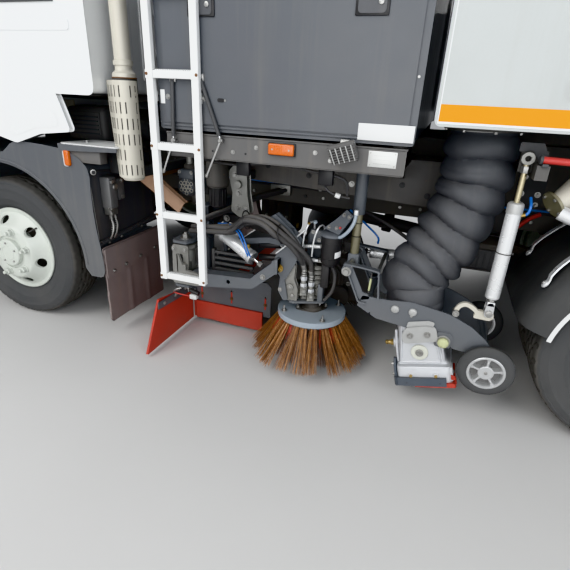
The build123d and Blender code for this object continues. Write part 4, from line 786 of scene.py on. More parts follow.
def wheel_front(name, body, y, s, *replaces):
    """Steel disc wheel with six round hand holes and six studs on an outset centre."""
    g = Group(name, body)
    P, D = (FX, y, HUB_Z), (0, s, 0)
    g.lathe([(-0.093, 0.2135), (-0.096, 0.232), (-0.093, 0.2355), (-0.086, 0.2345), (-0.084, 0.2232), (-0.045, 0.2215), (-0.02, 0.2105),
             (0.02, 0.2105), (0.045, 0.2215), (0.084, 0.2232), (0.086, 0.2345), (0.0925, 0.2358), (0.0965, 0.2325), (0.0945, 0.2235),
             (0.091, 0.2135), (0.0935, 0.2075), (0.104, 0.1945), (0.124, 0.1745), (0.1455, 0.1565), (0.1545, 0.1485), (0.1575, 0.141),
             (0.1575, 0.094), (0.150, 0.094), (0.150, 0.138), (0.146, 0.146), (0.136, 0.152), (0.115, 0.170), (0.094, 0.190), (0.082, 0.2045),
             (0.04, 0.2065), (-0.08, 0.2075)], P, D, "wheel_paint", seg=96, closed=True)
    ob = g.done(*replaces, slot="wheel_white")
    cs = []
    for k in range(6):
        th = radians(73 + 30 + 60 * k)
        if s > 0:
            th = pi - th
        cs.append(cutter(f"c{k}", [(0.030 * cos(a), 0.0205 * sin(a)) for a in [2 * pi * j / 20 for j in range(20)]], FX, y, HUB_Z, s, th, 0.1765, 0.06, 0.2))
    cs.append(cutter("cv", [(0.006 * cos(a), 0.006 * sin(a)) for a in [2 * pi * j / 12 for j in range(12)]], FX, y, HUB_Z, s, radians(43), 0.2035, 0.06, 0.2))
    cut_holes(ob, cs)
    h = Group(name + "_hub", body)
    h.lathe([(0.075, 0.0), (0.075, 0.112), (0.150, 0.112), (0.1505, 0.078), (0.170, 0.076), (0.1745, 0.072), (0.1765, 0.060), (0.1765, 0.0)], P, D, "wheel_paint", seg=64)
    h.lathe([(0.0, 0.0), (0.0, 0.150), (0.06, 0.150), (0.075, 0.12), (0.075, 0.0)], P, D, "engine_iron", seg=40)
    c = V(P)
    for k in range(6):
        th = radians(73 + 60 * k)
        if s > 0:
            th = pi - th
        e = V((cos(th), 0, sin(th)))
        p = c + e * 0.1225 + V((0, s, 0)) * 0.1575
        h.cyl(p - V((0, s, 0)) * 0.002, p + V((0, s, 0)) * 0.005, 0.0215, "wheel_paint", seg=24, b=0.0015)
        h.bolt(p + V((0, s, 0)) * 0.005, (0, s, 0), 0.0165, "wheel_paint", washer=False, stud=0.016, h=0.021)
    for k in range(5):
        th = radians(20 + 72 * k)
        p = c + V((cos(th), 0, sin(th))) * 0.056 + V((0, s, 0)) * 0.1765
        h.bolt(p, (0, s, 0), 0.0052, "zinc", washer=False)
    h.ring(c + V((0, s, 0)) * 0.176, D, 0.040, 0.0022, "wheel_paint", seg=40)
    th = radians(43)
    p = c + V((cos(th), 0, sin(th))) * 0.2045 + V((0, s, 0)) * 0.088
    h.tube([p, p + V((0, s * 0.016, 0)), p + V((-cos(th) * 0.008, s * 0.032, -sin(th) * 0.008)), p + V((-cos(th) * 0.020, s * 0.048, -sin(th) * 0.020))], 0.0042, "dark_rubber", seg=8)
    h.done(slot="wheel_white")


def wheel_rear(name, body, s, *replaces):
    """Twin wheels: the outer one dished, with the drum and hub in the middle."""
    g = Group(name, body)
    D = (0, s, 0)
    for y0, outer in ((WY, True), (IY, False)):
        P = (RX, s * y0, HUB_Z)
        k = -1 if outer else 1
        prof = [(0.093, 0.2135), (0.0965, 0.232), (0.093, 0.2358), (0.086, 0.2345), (0.084, 0.2232), (0.045, 0.2215), (0.02, 0.2105), (-0.02, 0.2105),
                (-0.045, 0.2215), (-0.084, 0.2232), (-0.086, 0.2345), (-0.0925, 0.2358), (-0.0965, 0.2325), (-0.0945, 0.2235), (-0.091, 0.2125),
                (-0.100, 0.195), (-0.118, 0.174), (-0.1255, 0.160), (-0.1285, 0.140), (-0.1285, 0.098), (-0.121, 0.098), (-0.121, 0.138),
                (-0.117, 0.155), (-0.108, 0.166), (-0.088, 0.188), (-0.078, 0.2045), (0.08, 0.2075)]
        g.lathe([(a * -k, r) for a, r in prof], P, D, "wheel_paint", seg=88, closed=True)
    ob = g.done(*replaces, slot="wheel_white")
    cs = []
    for k in range(6):
        th = radians(73 + 30 + 60 * k)
        if s > 0:
            th = pi - th
        cs.append(cutter(f"r{k}", [(0.030 * cos(a), 0.0185 * sin(a)) for a in [2 * pi * j / 18 for j in range(18)]], RX, s * WY, HUB_Z, s, th, 0.1735, -0.45, -0.04))
    cut_holes(ob, cs)
    h = Group(name + "_hub", body)
    C = V((RX, 0, HUB_Z))
    h.lathe([(0.560, 0.120), (0.560, 0.190), (0.575, 0.198), (0.70, 0.198), (0.715, 0.185), (0.72, 0.118), (0.8285, 0.108), (0.8285, 0.096),
             (0.860, 0.094), (0.905, 0.086), (0.962, 0.084), (0.975, 0.078), (0.985, 0.060), (1.012, 0.056), (1.019, 0.048), (1.019, 0.0)], C, D, "wheel_paint", seg=64)
    for k in range(6):
        th = radians(73 + 60 * k)
        e = V((cos(th), 0, sin(th)))
        p = C + e * 0.1225 + V((0, s, 0)) * 0.8365
        h.bolt(p, (0, s, 0), 0.0165, "wheel_paint", stud=0.016, h=0.021)
    for k in range(8):
        th = radians(10 + 45 * k)
        p = C + V((cos(th), 0, sin(th))) * 0.071 + V((0, s, 0)) * 0.9785
        h.bolt(p, (0, s, 0), 0.0085, "zinc", washer=False)
    h.done(slot="wheel_white")


for hand, s in (("left", -1), ("right", 1)):
    tyre(f"tyre_front_{hand}", f"front_{hand}_wheel", FX, s * WY, s, False, f"front_{hand}_tyre")
    wheel_front(f"wheel_front_{hand}", f"front_{hand}_wheel", s * WY, s, f"front_{hand}_rim")
    tyre(f"tyre_rear_{hand}_outer", f"rear_{hand}_wheels", RX, s * WY, s, True, f"rear_{hand}_tyres")
    tyre(f"tyre_rear_{hand}_inner", f"rear_{hand}_wheels", RX, s * IY, -s, True)
    wheel_rear(f"wheels_rear_{hand}", f"rear_{hand}_wheels", s, f"rear_{hand}_rims")


# ------------------------------------------------------------------ side broom head, arm and swivel
BX, BY = 0.062, -0.870


def strand(vs, fs, p, d, side, length, w, curl, segs=4):
    """One flat wire: a tapered three-sided strip that bends outwards along its length."""
    o = len(vs)
    up = d.cross(side).normalized()
    c = V(p)
    for i in range(segs + 1):
        t = i / segs
        k = w * (1 - 0.35 * t)
        vs.extend((c + side * k, c - side * k * 0.6 + up * k * 0.6, c - side * k * 0.6 - up * k * 0.6))
        c = c + (d + curl * t).normalized() * (length / segs)
    for i in range(segs):
        a, b = o + i * 3, o + (i + 1) * 3
        for s in range(3):
            s2 = (s + 1) % 3
            fs.append((a + s, a + s2, b + s2, b + s))
    fs.append((o + 2, o + 1, o))
    fs.append((o + segs * 3, o + segs * 3 + 1, o + segs * 3 + 2))


def side_broom():
    rnd = random.Random(11)
    g = Group("broom_bristles", "broom")
    for ring, (n, r0, tilt, length, count) in enumerate(((21, 0.150, 31, 0.250, 64), (15, 0.114, 22, 0.234, 34))):
        vs, fs, vd, fd = [], [], [], []
        for k in range(n):
            th = 2 * pi * (k + 0.5 * ring) / n + rnd.uniform(-0.055, 0.055)
            e = V((cos(th), sin(th), 0))
            t = V((-sin(th), cos(th), 0))
            c = V((BX, BY, 0.262)) + e * r0
            lean = radians(tilt + rnd.uniform(-3.5, 3.0))
            sweep = rnd.uniform(-0.13, 0.10)
            ltuft = rnd.uniform(0.92, 1.02)
            for j in range(count):
                a, rr = rnd.uniform(0, 2 * pi), sqrt(rnd.random())
                off = t * (0.0155 * rr * cos(a)) + e * (0.010 * rr * sin(a))
                spread = 0.20 if ring == 0 else 0.24
                d = (e * (sin(lean) + rnd.gauss(0, 0.030) + 0.35 * spread * rr * sin(a)) + t * (sweep + spread * rr * cos(a) * 0.42 + rnd.gauss(0, 0.018))
                     - V((0, 0, 1)) * cos(lean)).normalized()
                ln = length * ltuft * rnd.uniform(0.95, 1.03)
                drop = ln * abs(d.z)
                if 0.262 - drop < 0.053:
                    ln *= (0.262 - 0.053) / drop
                reach = hypot((c + off + d * ln).x - BX, (c + off + d * ln).y - BY)
                if reach > 0.303:
                    ln *= 0.303 / reach
                curl = e * rnd.uniform(-0.02, 0.16) + t * rnd.gauss(0, 0.05)
                dark = rnd.random() < 0.40                      # worn wires lie between the clean ones
                strand(vd if dark else vs, fd if dark else fs, c + off, d, t.cross(d).normalized() if j % 2 else t, ln, 0.00115, curl)
        g.raw(vs, fs, "bristle" if ring == 0 else "bristle_rust")
        g.raw(vd, fd, "bristle_rust" if ring == 0 else "bristle_dark")
    vs, fs = [], []
    for j in range(260):                                    # loose wires that lean between the tufts
        th = rnd.uniform(0, 2 * pi)
        e, t = V((cos(th), sin(th), 0)), V((-sin(th), cos(th), 0))
        lean = radians(rnd.uniform(18, 34))
        d = (e * sin(lean) + t * rnd.gauss(0, 0.14) - V((0, 0, 1)) * cos(lean)).normalized()
        strand(vs, fs, V((BX, BY, 0.260)) + e * rnd.uniform(0.12, 0.155), d, t, rnd.uniform(0.16, 0.232), 0.00105, e * rnd.uniform(0, 0.2))
    g.raw(vs, fs, "bristle_rust")
    # a few red and dark wires low at the front, as mixed in
    vs, fs = [], []
    for j in range(60):
        th = rnd.uniform(0, 2 * pi)
        e, t = V((cos(th), sin(th), 0)), V((-sin(th), cos(th), 0))
        strand(vs, fs, V((BX, BY, 0.258)) + e * 0.156, (e * 0.5 - V((0, 0, 0.86)) + t * rnd.gauss(0, 0.05)).normalized(), t, rnd.uniform(0.05, 0.11), 0.0014, e * 0.05)
    g.raw(vs, fs, "red_rubber")
    g.done("side_broom", slot="bristle")

    d = Group("broom_disc", "broom")
    c = (BX, BY, 0)
    Z = (0, 0, 1)
    d.lathe([(0.258, 0.0), (0.258, 0.150), (0.2555, 0.166), (0.2575, 0.1705), (0.2680, 0.1715), (0.2830, 0.1712), (0.2848, 0.1690), (0.2850, 0.0)], c, Z, "gear_blue", seg=96)
    d.lathe([(0.244, 0.060), (0.244, 0.158), (0.2585, 0.158), (0.2585, 0.060)], c, Z, "blade_metal", seg=64, closed=True)
    for k in range(21):                                   # tuft sockets under the disc
        th = 2 * pi * k / 21
        p = V((BX + 0.150 * cos(th), BY + 0.150 * sin(th), 0.263))
        dd = V((cos(th) * 0.5, sin(th) * 0.5, -0.87))
        d.cyl(p, p + dd * 0.017, 0.0135, "blade_metal", r2=0.0150, seg=12)
    for k in range(4):                                    # studs with nuts
        th = radians(-54 + 90 * k)
        p = V((BX + 0.146 * cos(th), BY + 0.146 * sin(th), 0.285))
        d.bolt(p, Z, 0.0085, "zinc", stud=0.019)
    # diamond-shaped rubber coupling with its two bolts, and the drive hub
    th0 = radians(30)
    dia = rounded([(0.098, 0.0), (0.0, 0.060), (-0.098, 0.0), (0.0, -0.060)], [0.026, 0.045, 0.026, 0.045], 6)
    dia = [(BX + x * cos(th0) - y * sin(th0), BY + x * sin(th0) + y * cos(th0)) for x, y in dia]
    d.prism(dia, "xy", 0.285, 0.2925, "dark_rubber", b=0.002)
    for sgn in (-1, 1):
        p = V((BX + sgn * 0.072 * cos(th0), BY + sgn * 0.072 * sin(th0), 0.2925))
        d.bolt(p, Z, 0.0082, "zinc", stud=0.005)
    d.lathe([(0.2925, 0.052), (0.296, 0.050), (0.302, 0.038), (0.318, 0.034), (0.334, 0.044), (0.3365, 0.044), (0.3368, 0.0)], c, Z, "dark_rubber", seg=40)
    d.done(slot="gear_grey")


side_broom()


def broom_head():
    g = Group("broom_motor", "broom_carrier")
    ca, sa = cos(radians(24)), sin(radians(24))

    def L(s, t, z):
        """Head's own frame: s along its front edge, t outwards, both from the disc's centre."""
        return V((BX + s * ca + t * sa, BY + s * sa - t * ca, z))

    def slab(pts, z0, z1, m, b=0.002):
        g.prism([(L(s, t, 0).x, L(s, t, 0).y) for s, t in pts], "xy", z0, z1, m, b=b)
    out = (0, 0, 0)
    D = (sa, -ca, 0)
    # base plate of the head, clear above the disc on its black rubber coupling
    slab(rounded([(-0.124, 0.042), (-0.104, 0.056), (0.044, 0.058), (0.060, 0.038), (0.056, -0.052), (-0.010, -0.066), (-0.112, -0.050)], 0.008), 0.337, 0.349, "gear_paint")
    for s, t in ((-0.108, 0.034), (0.044, -0.030), (0.046, 0.040), (-0.092, -0.036)):
        g.bolt(L(s, t, 0.349), (0, 0, 1), 0.0075, "zinc")
    g.bolt(L(0.030, 0.050, 0.337), (0, 0, -1), 0.006, "zinc", stud=0.008)
    # hydraulic motor: flange, stacked and banded body, rear cover with its tie bolts
    slab(rounded([(-0.066, 0.030), (0.050, 0.030), (0.050, -0.050), (-0.066, -0.050)], 0.016), 0.349, 0.366, "motor_alloy", b=0.003)
    g.lathe([(0.366, 0.037), (0.396, 0.037), (0.398, 0.040), (0.402, 0.040), (0.404, 0.036), (0.430, 0.036), (0.430, 0.0)], L(0.022, -0.006, 0), (0, 0, 1), "motor_alloy", seg=40)
    for k in range(4):
        z = 0.430 + 0.0245 * k
        slab(rounded([(-0.012, 0.034), (0.054, 0.034), (0.054, -0.044), (-0.012, -0.044)], 0.010 + 0.003 * (k % 2)), z, z + 0.0215, "motor_alloy", b=0.0022)
        slab(rounded([(-0.008, 0.030), (0.050, 0.030), (0.050, -0.040), (-0.008, -0.040)], 0.010), z + 0.0215, z + 0.0245, "dark_rubber", b=0.0)
    for s, t in ((-0.001, 0.024), (0.043, 0.024), (0.043, -0.034), (-0.001, -0.034)):
        g.bolt(L(s, t, 0.5275), (0, 0, 1), 0.0058, "zinc")
    g.cyl(L(0.024, 0.030, 0.405), L(0.024, 0.046, 0.405), 0.0150, "motor_alloy", seg=28, b=0.003)
    g.cyl(L(0.024, 0.046, 0.405), L(0.024, 0.052, 0.405), 0.0085, "zinc", seg=6, b=0.001)
    # two ports facing out, with swivel fittings that take the hoses from above
    for s, z in ((-0.057, 0.442), (-0.020, 0.412)):
        p = L(s, 0.045, z)
        slab(rounded([(s - 0.017, 0.058), (s + 0.017, 0.058), (s + 0.017, 0.020), (s - 0.017, 0.020)], 0.006), z - 0.062, z - 0.018, "motor_alloy", b=0.004)
        g.cyl(L(s, 0.054, z - 0.040), L(s, 0.066, z - 0.040), 0.0125, "motor_alloy", seg=24, b=0.002)
        g.cyl(L(s, 0.064, z - 0.040), L(s, 0.072, z - 0.040), 0.0090, "zinc", seg=6, b=0.001)
        g.cyl(p - V((0, 0, 0.022)), p - V((0, 0, 0.002)), 0.0165, "cast_alloy", seg=6, b=0.0015)
        g.cyl(p - V((0, 0, 0.004)), p + V((0, 0, 0.016)), 0.0128, "motor_alloy", seg=20, b=0.0015)
        g.cyl(p + V((0, 0, 0.014)), p + V((0, 0, 0.034)), 0.0160, "cast_alloy", seg=6, b=0.0015)
        for q in (0.036, 0.048, 0.060):
            g.cyl(p + V((0, 0, q)), p + V((0, 0, q + 0.0095)), 0.0148, "zinc", seg=24, b=0.0015)
    # fluted link casting between plate and cheek
    for y0, y1, m in ((-0.957, -0.932, "motor_alloy"),):
        g.prism(rounded([(-0.052, 0.349), (0.002, 0.349), (0.004, 0.410), (-0.016, 0.462), (-0.012, 0.530), (-0.034, 0.552), (-0.056, 0.462)], [0.004, 0.004, 0.02, 0.02, 0.012, 0.01, 0.02]), "xz", y0, y1, m, b=0.003)
    g.cyl((-0.030, -0.957, 0.420), (-0.030, -0.967, 0.420), 0.017, "motor_alloy", seg=24, b=0.003)
    g.cyl((-0.030, -0.966, 0.420), (-0.030, -0.972, 0.420), 0.0085, "zinc", seg=6, b=0.001)
    g.cyl((-0.018, -0.957, 0.376), (-0.018, -0.965, 0.376), 0.0095, "zinc", seg=20, b=0.002)
    g.box(-0.056, 0.0, -0.935, -0.850, 0.349, 0.420, "motor_alloy", b=0.006)
    # cheek that carries the head, with its brass pivot bolt; a second one behind
    cheek = rounded([(-0.107, 0.498), (-0.109, 0.564), (-0.056, 0.641), (-0.026, 0.643), (0.004, 0.604), (-0.004, 0.560), (-0.060, 0.456), (-0.040, 0.351), (-0.062, 0.347), (-0.088, 0.392), (-0.080, 0.468)],
                    [0.01, 0.008, 0.010, 0.012, 0.012, 0.02, 0.03, 0.003, 0.008, 0.012, 0.02])
    g.prism(cheek, "xz", -0.967, -0.960, "gear_paint", b=0.0012)
    g.prism(cheek, "xz", -0.860, -0.853, "gear_paint", b=0.0012)
    g.cyl((-0.030, -0.961, 0.610), (-0.030, -0.858, 0.610), 0.010, "gear_paint", seg=20)
    g.cyl((-0.088, -0.961, 0.520), (-0.088, -0.858, 0.520), 0.012, "gear_paint", seg=20)
    g.cyl((-0.086, -0.967, 0.512), (-0.086, -0.972, 0.512), 0.0200, "zinc", seg=28, b=0.0015)
    g.bolt((-0.086, -0.972, 0.512), (0, -1, 0), 0.0125, "brass", stud=0.010)
    g.bolt((-0.079, -0.967, 0.400), (0, -1, 0), 0.0066, "zinc")
    g.bolt((-0.020, -0.967, 0.618), (0, -1, 0), 0.0062, "zinc")
    g.strip([(-0.054, -0.9635, 0.460), (-0.004, -0.9635, 0.556)], (0, 1, 0), 0.012, 0.004, "gear_paint", n=1)
    # box between the cheeks, the tilt block behind, and its pairs of silver cross rods
    g.box(-0.020, 0.060, -0.900, -0.812, 0.512, 0.560, "gear_paint", b=0.004)
    g.prism(rounded([(0.018, 0.556), (0.104, 0.556), (0.104, 0.668), (0.034, 0.690), (0.018, 0.660)], 0.008), "xz", -0.862, -0.846, "gear_paint", b=0.0015)
    g.box(0.036, 0.092, -0.902, -0.862, 0.640, 0.700, "gear_paint", b=0.004)
    g.bolt((0.050, -0.902, 0.690), (0, -1, 0), 0.006, "zinc")
    g.bolt((0.080, -0.902, 0.655), (0, -1, 0), 0.006, "zinc")
    for xr, zr, dz in ((0.098, 0.627, -0.036), (0.092, 0.557, -0.030)):
        a, b = V((xr, -0.908, zr)), V((-0.205, -0.905, zr + dz))
        d = (b - a).normalized()
        g.cyl(a, b, 0.0092, "silver_tube", seg=20, b=0.002)
        g.cyl(a + d * 0.205, b + d * 0.01, 0.0165, "black_plastic", seg=24, b=0.003)
        g.cyl(a + d * 0.085, a + d * 0.100, 0.0120, "zinc", seg=6, b=0.001)
        g.cyl(a - d * 0.012, a + d * 0.006, 0.0118, "zinc", seg=6, b=0.0012)
    # two wire shackles standing over the cross rods
    for x0, dz in ((0.028, 0.036), (0.076, 0.026)):
        g.tube([(x0 - 0.014, -0.948, 0.560 + dz), (x0 - 0.008, -0.947, 0.640 + dz), (x0 + 0.004, -0.940, 0.690 + dz), (x0 + 0.012, -0.915, 0.702 + dz), (x0 + 0.020, -0.885, 0.692 + dz),
                (x0 + 0.020, -0.872, 0.640 + dz), (x0 + 0.018, -0.868, 0.580 + dz)], 0.0042, "silver_tube", seg=12, n=6)
    g.bolt((0.036, -0.934, 0.735), (0, -0.3, 1), 0.0065, "brass", washer=False)
    g.bolt((0.060, -0.915, 0.738), (0, -0.3, 1), 0.0090, "gear_blue", washer=False)
    # black canister with a blank white label and a grey flanged lid
    cx, cy = 0.148, -0.932
    g.lathe([(0.552, 0.0), (0.552, 0.030), (0.556, 0.034), (0.566, 0.036), (0.568, 0.044), (0.574, 0.0460), (0.694, 0.0480), (0.698, 0.0480), (0.700, 0.0)], (cx, cy, 0), (0, 0, 1), "black_plastic", seg=48)
    for z in (0.590, 0.668):
        g.ring((cx, cy, z), (0, 0, 1), 0.0476, 0.0014, "black_plastic", seg=48, rs=6)
    g.lathe([(0.694, 0.0), (0.694, 0.0525), (0.697, 0.0550), (0.704, 0.0550), (0.708, 0.0520), (0.714, 0.040), (0.716, 0.0)], (cx, cy, 0), (0, 0, 1), "gear_paint", seg=48)
    lab = []
    for k in range(13):
        th = radians(304 + 44 * k / 12)
        lab.append(V((cx + 0.0486 * cos(th), cy + 0.0486 * sin(th), 0)))
    vs = [p + V((0, 0, 0.600 + 0.006 * i / 12)) for i, p in enumerate(lab)] + [p + V((0, 0, 0.628 + 0.006 * i / 12)) for i, p in enumerate(lab)]
    inner = [V((cx, cy, p.z)) + (V((p.x, p.y, 0)) - V((cx, cy, 0))) * 0.985 for p in vs]
    n = 13
    fs = [(i, i + 1, n + i + 1, n + i) for i in range(n - 1)] + [(2 * n + i, 3 * n + i, 3 * n + i + 1, 2 * n + i + 1) for i in range(n - 1)]
    g.raw(vs + inner, fs + [(0, 2 * n, 3 * n, n), (n - 1, 2 * n - 1, 4 * n - 1, 3 * n - 1)], "white_plate")
    g.box(0.108, 0.148, -0.935, -0.895, 0.430, 0.560, "black_plastic", b=0.008)
    g.box(0.096, 0.122, -0.920, -0.880, 0.348, 0.440, "gear_paint", b=0.004)
    g.tube([(0.150, -0.920, 0.555), (0.176, -0.925, 0.50), (0.168, -0.920, 0.42), (0.135, -0.905, 0.362)], 0.0085, "hose_line", seg=10)
    # broad sloping catch plate up to the column, dirty, with rubber-cushioned bolts
    top = [V((0.104, -0.930, 0.724)), V((0.184, -0.978, 0.716)), V((0.240, -0.968, 0.804)), V((0.204, -0.942, 0.822)), V((0.158, -0.936, 0.772))]
    nrm = (top[1] - top[0]).cross(top[2] - top[0]).normalized()
    if nrm.y > 0:
        nrm = -nrm
    g.raw([p for p in top] + [p - nrm * 0.007 for p in top], [(0, 1, 2, 3, 4), (9, 8, 7, 6, 5)] + [(i, 5 + i, 5 + (i + 1) % 5, (i + 1) % 5) for i in range(5)], "gear_paint")
    for a, b in ((0.12, 0.2), (0.22, 0.62), (0.80, 0.25), (0.86, 0.75)):
        p = top[0].lerp(top[3], a).lerp(top[1].lerp(top[2], a), b)
        g.bolt(p, nrm, 0.0058, "zinc")
    p = top[0].lerp(top[3], 0.30).lerp(top[1].lerp(top[2], 0.30), 0.82)
    g.bolt(p, nrm, 0.0052, "red_paint", washer=False)
    g.tube([(0.250, -0.968, 0.822), (0.247, -0.978, 0.780), (0.226, -0.982, 0.738), (0.196, -0.972, 0.706), (0.178, -0.960, 0.700)], 0.0080, "gear_blue", seg=12, n=6)
    g.cyl((0.250, -0.968, 0.808), (0.250, -0.968, 0.832), 0.0105, "silver_tube", seg=16, b=0.002)
    # square-tube arm with its bend, welds, bolt and open hole
    arm_out = [(-0.535, 0.362), (-0.466, 0.362), (-0.206, 0.398), (-0.084, 0.500), (-0.088, 0.566), (-0.216, 0.450), (-0.463, 0.434), (-0.535, 0.434)]
    hole = circle(-0.334, 0.412, 0.0095, 18)
    for y0, y1 in ((-1.015, -1.011), (-0.959, -0.955)):
        g.prism(arm_out, "xz", y0, y1, "gear_paint", b=0, holes=[hole] if y0 < -1.0 else [])
    topl = [(-0.463, 0.434), (-0.216, 0.450), (-0.088, 0.566)]
    low = [(-0.466, 0.362), (-0.206, 0.398), (-0.084, 0.500)]
    for line, dz in ((topl, -0.004), (low, 0.0)):
        band = [(x, z + dz) for x, z in line] + [(x, z + dz + 0.004) for x, z in line[::-1]]
        g.prism(band, "xz", -1.0125, -0.9575, "gear_paint", b=0)
    for line in (topl, low):                                # rounded corners of the tube
        for y in (-1.0118, -0.9582):
            dz = -0.0032 if line is topl else 0.0032
            g.tube([(x, y, z + dz) for x, z in line], 0.0034, "gear_paint", seg=8, n=1)
    g.box(-0.538, -0.505, -1.015, -0.955, 0.362, 0.434, "gear_paint", b=0.005)
    g.bolt((-0.152, -1.015, 0.470), (0, -1, 0), 0.0085, "zinc")
    g.ring((-0.334, -1.0153, 0.412), (0, 1, 0), 0.0105, 0.0012, "gear_paint", seg=24, rs=6)
    g.box(-0.098, -0.082, -1.016, -0.956, 0.492, 0.566, "gear_paint", b=0.003)
    g.tube([(-0.083, -1.012, 0.500), (-0.083, -1.012, 0.562)], 0.0028, "gear_paint", seg=8, n=1)
    g.prism([(-0.110, 0.512), (-0.110, 0.556), (-0.082, 0.566), (-0.082, 0.500)], "xz", -1.012, -0.960, "gear_paint", b=0.001)
    # arm's pivot sleeve
    g.cyl((-0.500, -1.020, 0.398), (-0.500, -0.950, 0.398), 0.024, "gear_paint", seg=28, b=0.002)
    # lifting lever behind the arm
    g.prism(rounded([(-0.40, 0.596), (-0.16, 0.640), (-0.06, 0.632), (-0.06, 0.608), (-0.16, 0.614), (-0.40, 0.572)], 0.004), "xz", -0.930, -0.922, "gear_paint", b=0.001)
    # open box bracket that catches the air cylinder and hose bundle, and the thin rod across it
    for y in (-0.990, -0.948):
        g.strip([(-0.166, y, 0.724), (-0.108, y, 0.762), (-0.034, y, 0.706), (0.012, y, 0.650)], (0, 1, 0), 0.006, 0.020, "gear_paint", n=1)
    g.box(-0.170, -0.158, -0.992, -0.946, 0.712, 0.736, "gear_paint", b=0.002)
    g.box(-0.044, -0.028, -0.990, -0.948, 0.698, 0.712, "gear_paint", b=0.002)
    g.tube([(0.030, -0.974, 0.716), (-0.036, -0.974, 0.648), (-0.104, -0.974, 0.584)], 0.0036, "silver_tube", seg=10, n=2)
    ob = g.done("broom_arm", slot="gear_grey")
    return ob


broom_head()


def swivel_and_post():
    g = Group("broom_swivel_casting", "swivel")
    # rough casting that turns on the kingpin
    g.prism(rounded([(-0.645, -0.998), (-0.560, -1.006), (-0.542, -0.960), (-0.556, -0.905), (-0.640, -0.905)], 0.014), "xy", 0.352, 0.372, "motor_alloy", b=0.004)
    g.prism(rounded([(-0.645, -0.998), (-0.560, -1.006), (-0.542, -0.960), (-0.556, -0.905), (-0.640, -0.905)], 0.014), "xy", 0.538, 0.5595, "motor_alloy", b=0.004)
    g.lathe([(0.352, 0.0), (0.352, 0.040), (0.358, 0.044), (0.552, 0.044), (0.5595, 0.040), (0.5595, 0.0)], (-0.600, -0.950, 0), (0, 0, 1), "motor_alloy", seg=36)
    g.prism(rounded([(-0.652, 0.372), (-0.640, 0.372), (-0.632, 0.540), (-0.650, 0.540)], 0.004), "xz", -0.998, -0.910, "motor_alloy", b=0.002)
    for y0, y1 in ((-1.0325, -1.0205), (-0.9495, -0.9375)):
        g.prism(rounded([(-0.600, 0.366), (-0.500, 0.366), (-0.476, 0.380), (-0.476, 0.418), (-0.500, 0.432), (-0.570, 0.440), (-0.600, 0.520)], [0, 0.012, 0.012, 0.012, 0.012, 0.02, 0.0]), "xz", y0, y1, "motor_alloy", b=0.002)
    g.box(-0.606, -0.560, -1.032, -0.938, 0.372, 0.470, "motor_alloy", b=0.006)
    g.cyl((-0.500, -1.040, 0.398), (-0.500, -0.930, 0.398), 0.0118, "zinc", seg=20, b=0.001)
    g.bolt((-0.500, -1.0325, 0.398), (0, -1, 0), 0.0125, "zinc")
    # face plate with four bolts and a tall slot, as seen through the ladder
    g.prism(rounded([(-0.648, 0.352), (-0.556, 0.352), (-0.552, 0.562), (-0.642, 0.562)], 0.012), "xz", -1.012, -1.003, "motor_alloy", b=0.002,
            holes=[rounded([(-0.622, 0.415), (-0.585, 0.415), (-0.585, 0.515), (-0.622, 0.515)], 0.008)])
    for x, z in ((-0.634, 0.540), (-0.570, 0.540), (-0.634, 0.385), (-0.570, 0.385)):
        g.bolt((x, -1.012, z), (0, -1, 0), 0.008, "zinc")
    g.box(-0.620, -0.588, -1.003, -0.990, 0.418, 0.512, "black_plastic", b=0.003)
    g.done("broom_swivel", slot="gear_grey")


swivel_and_post()


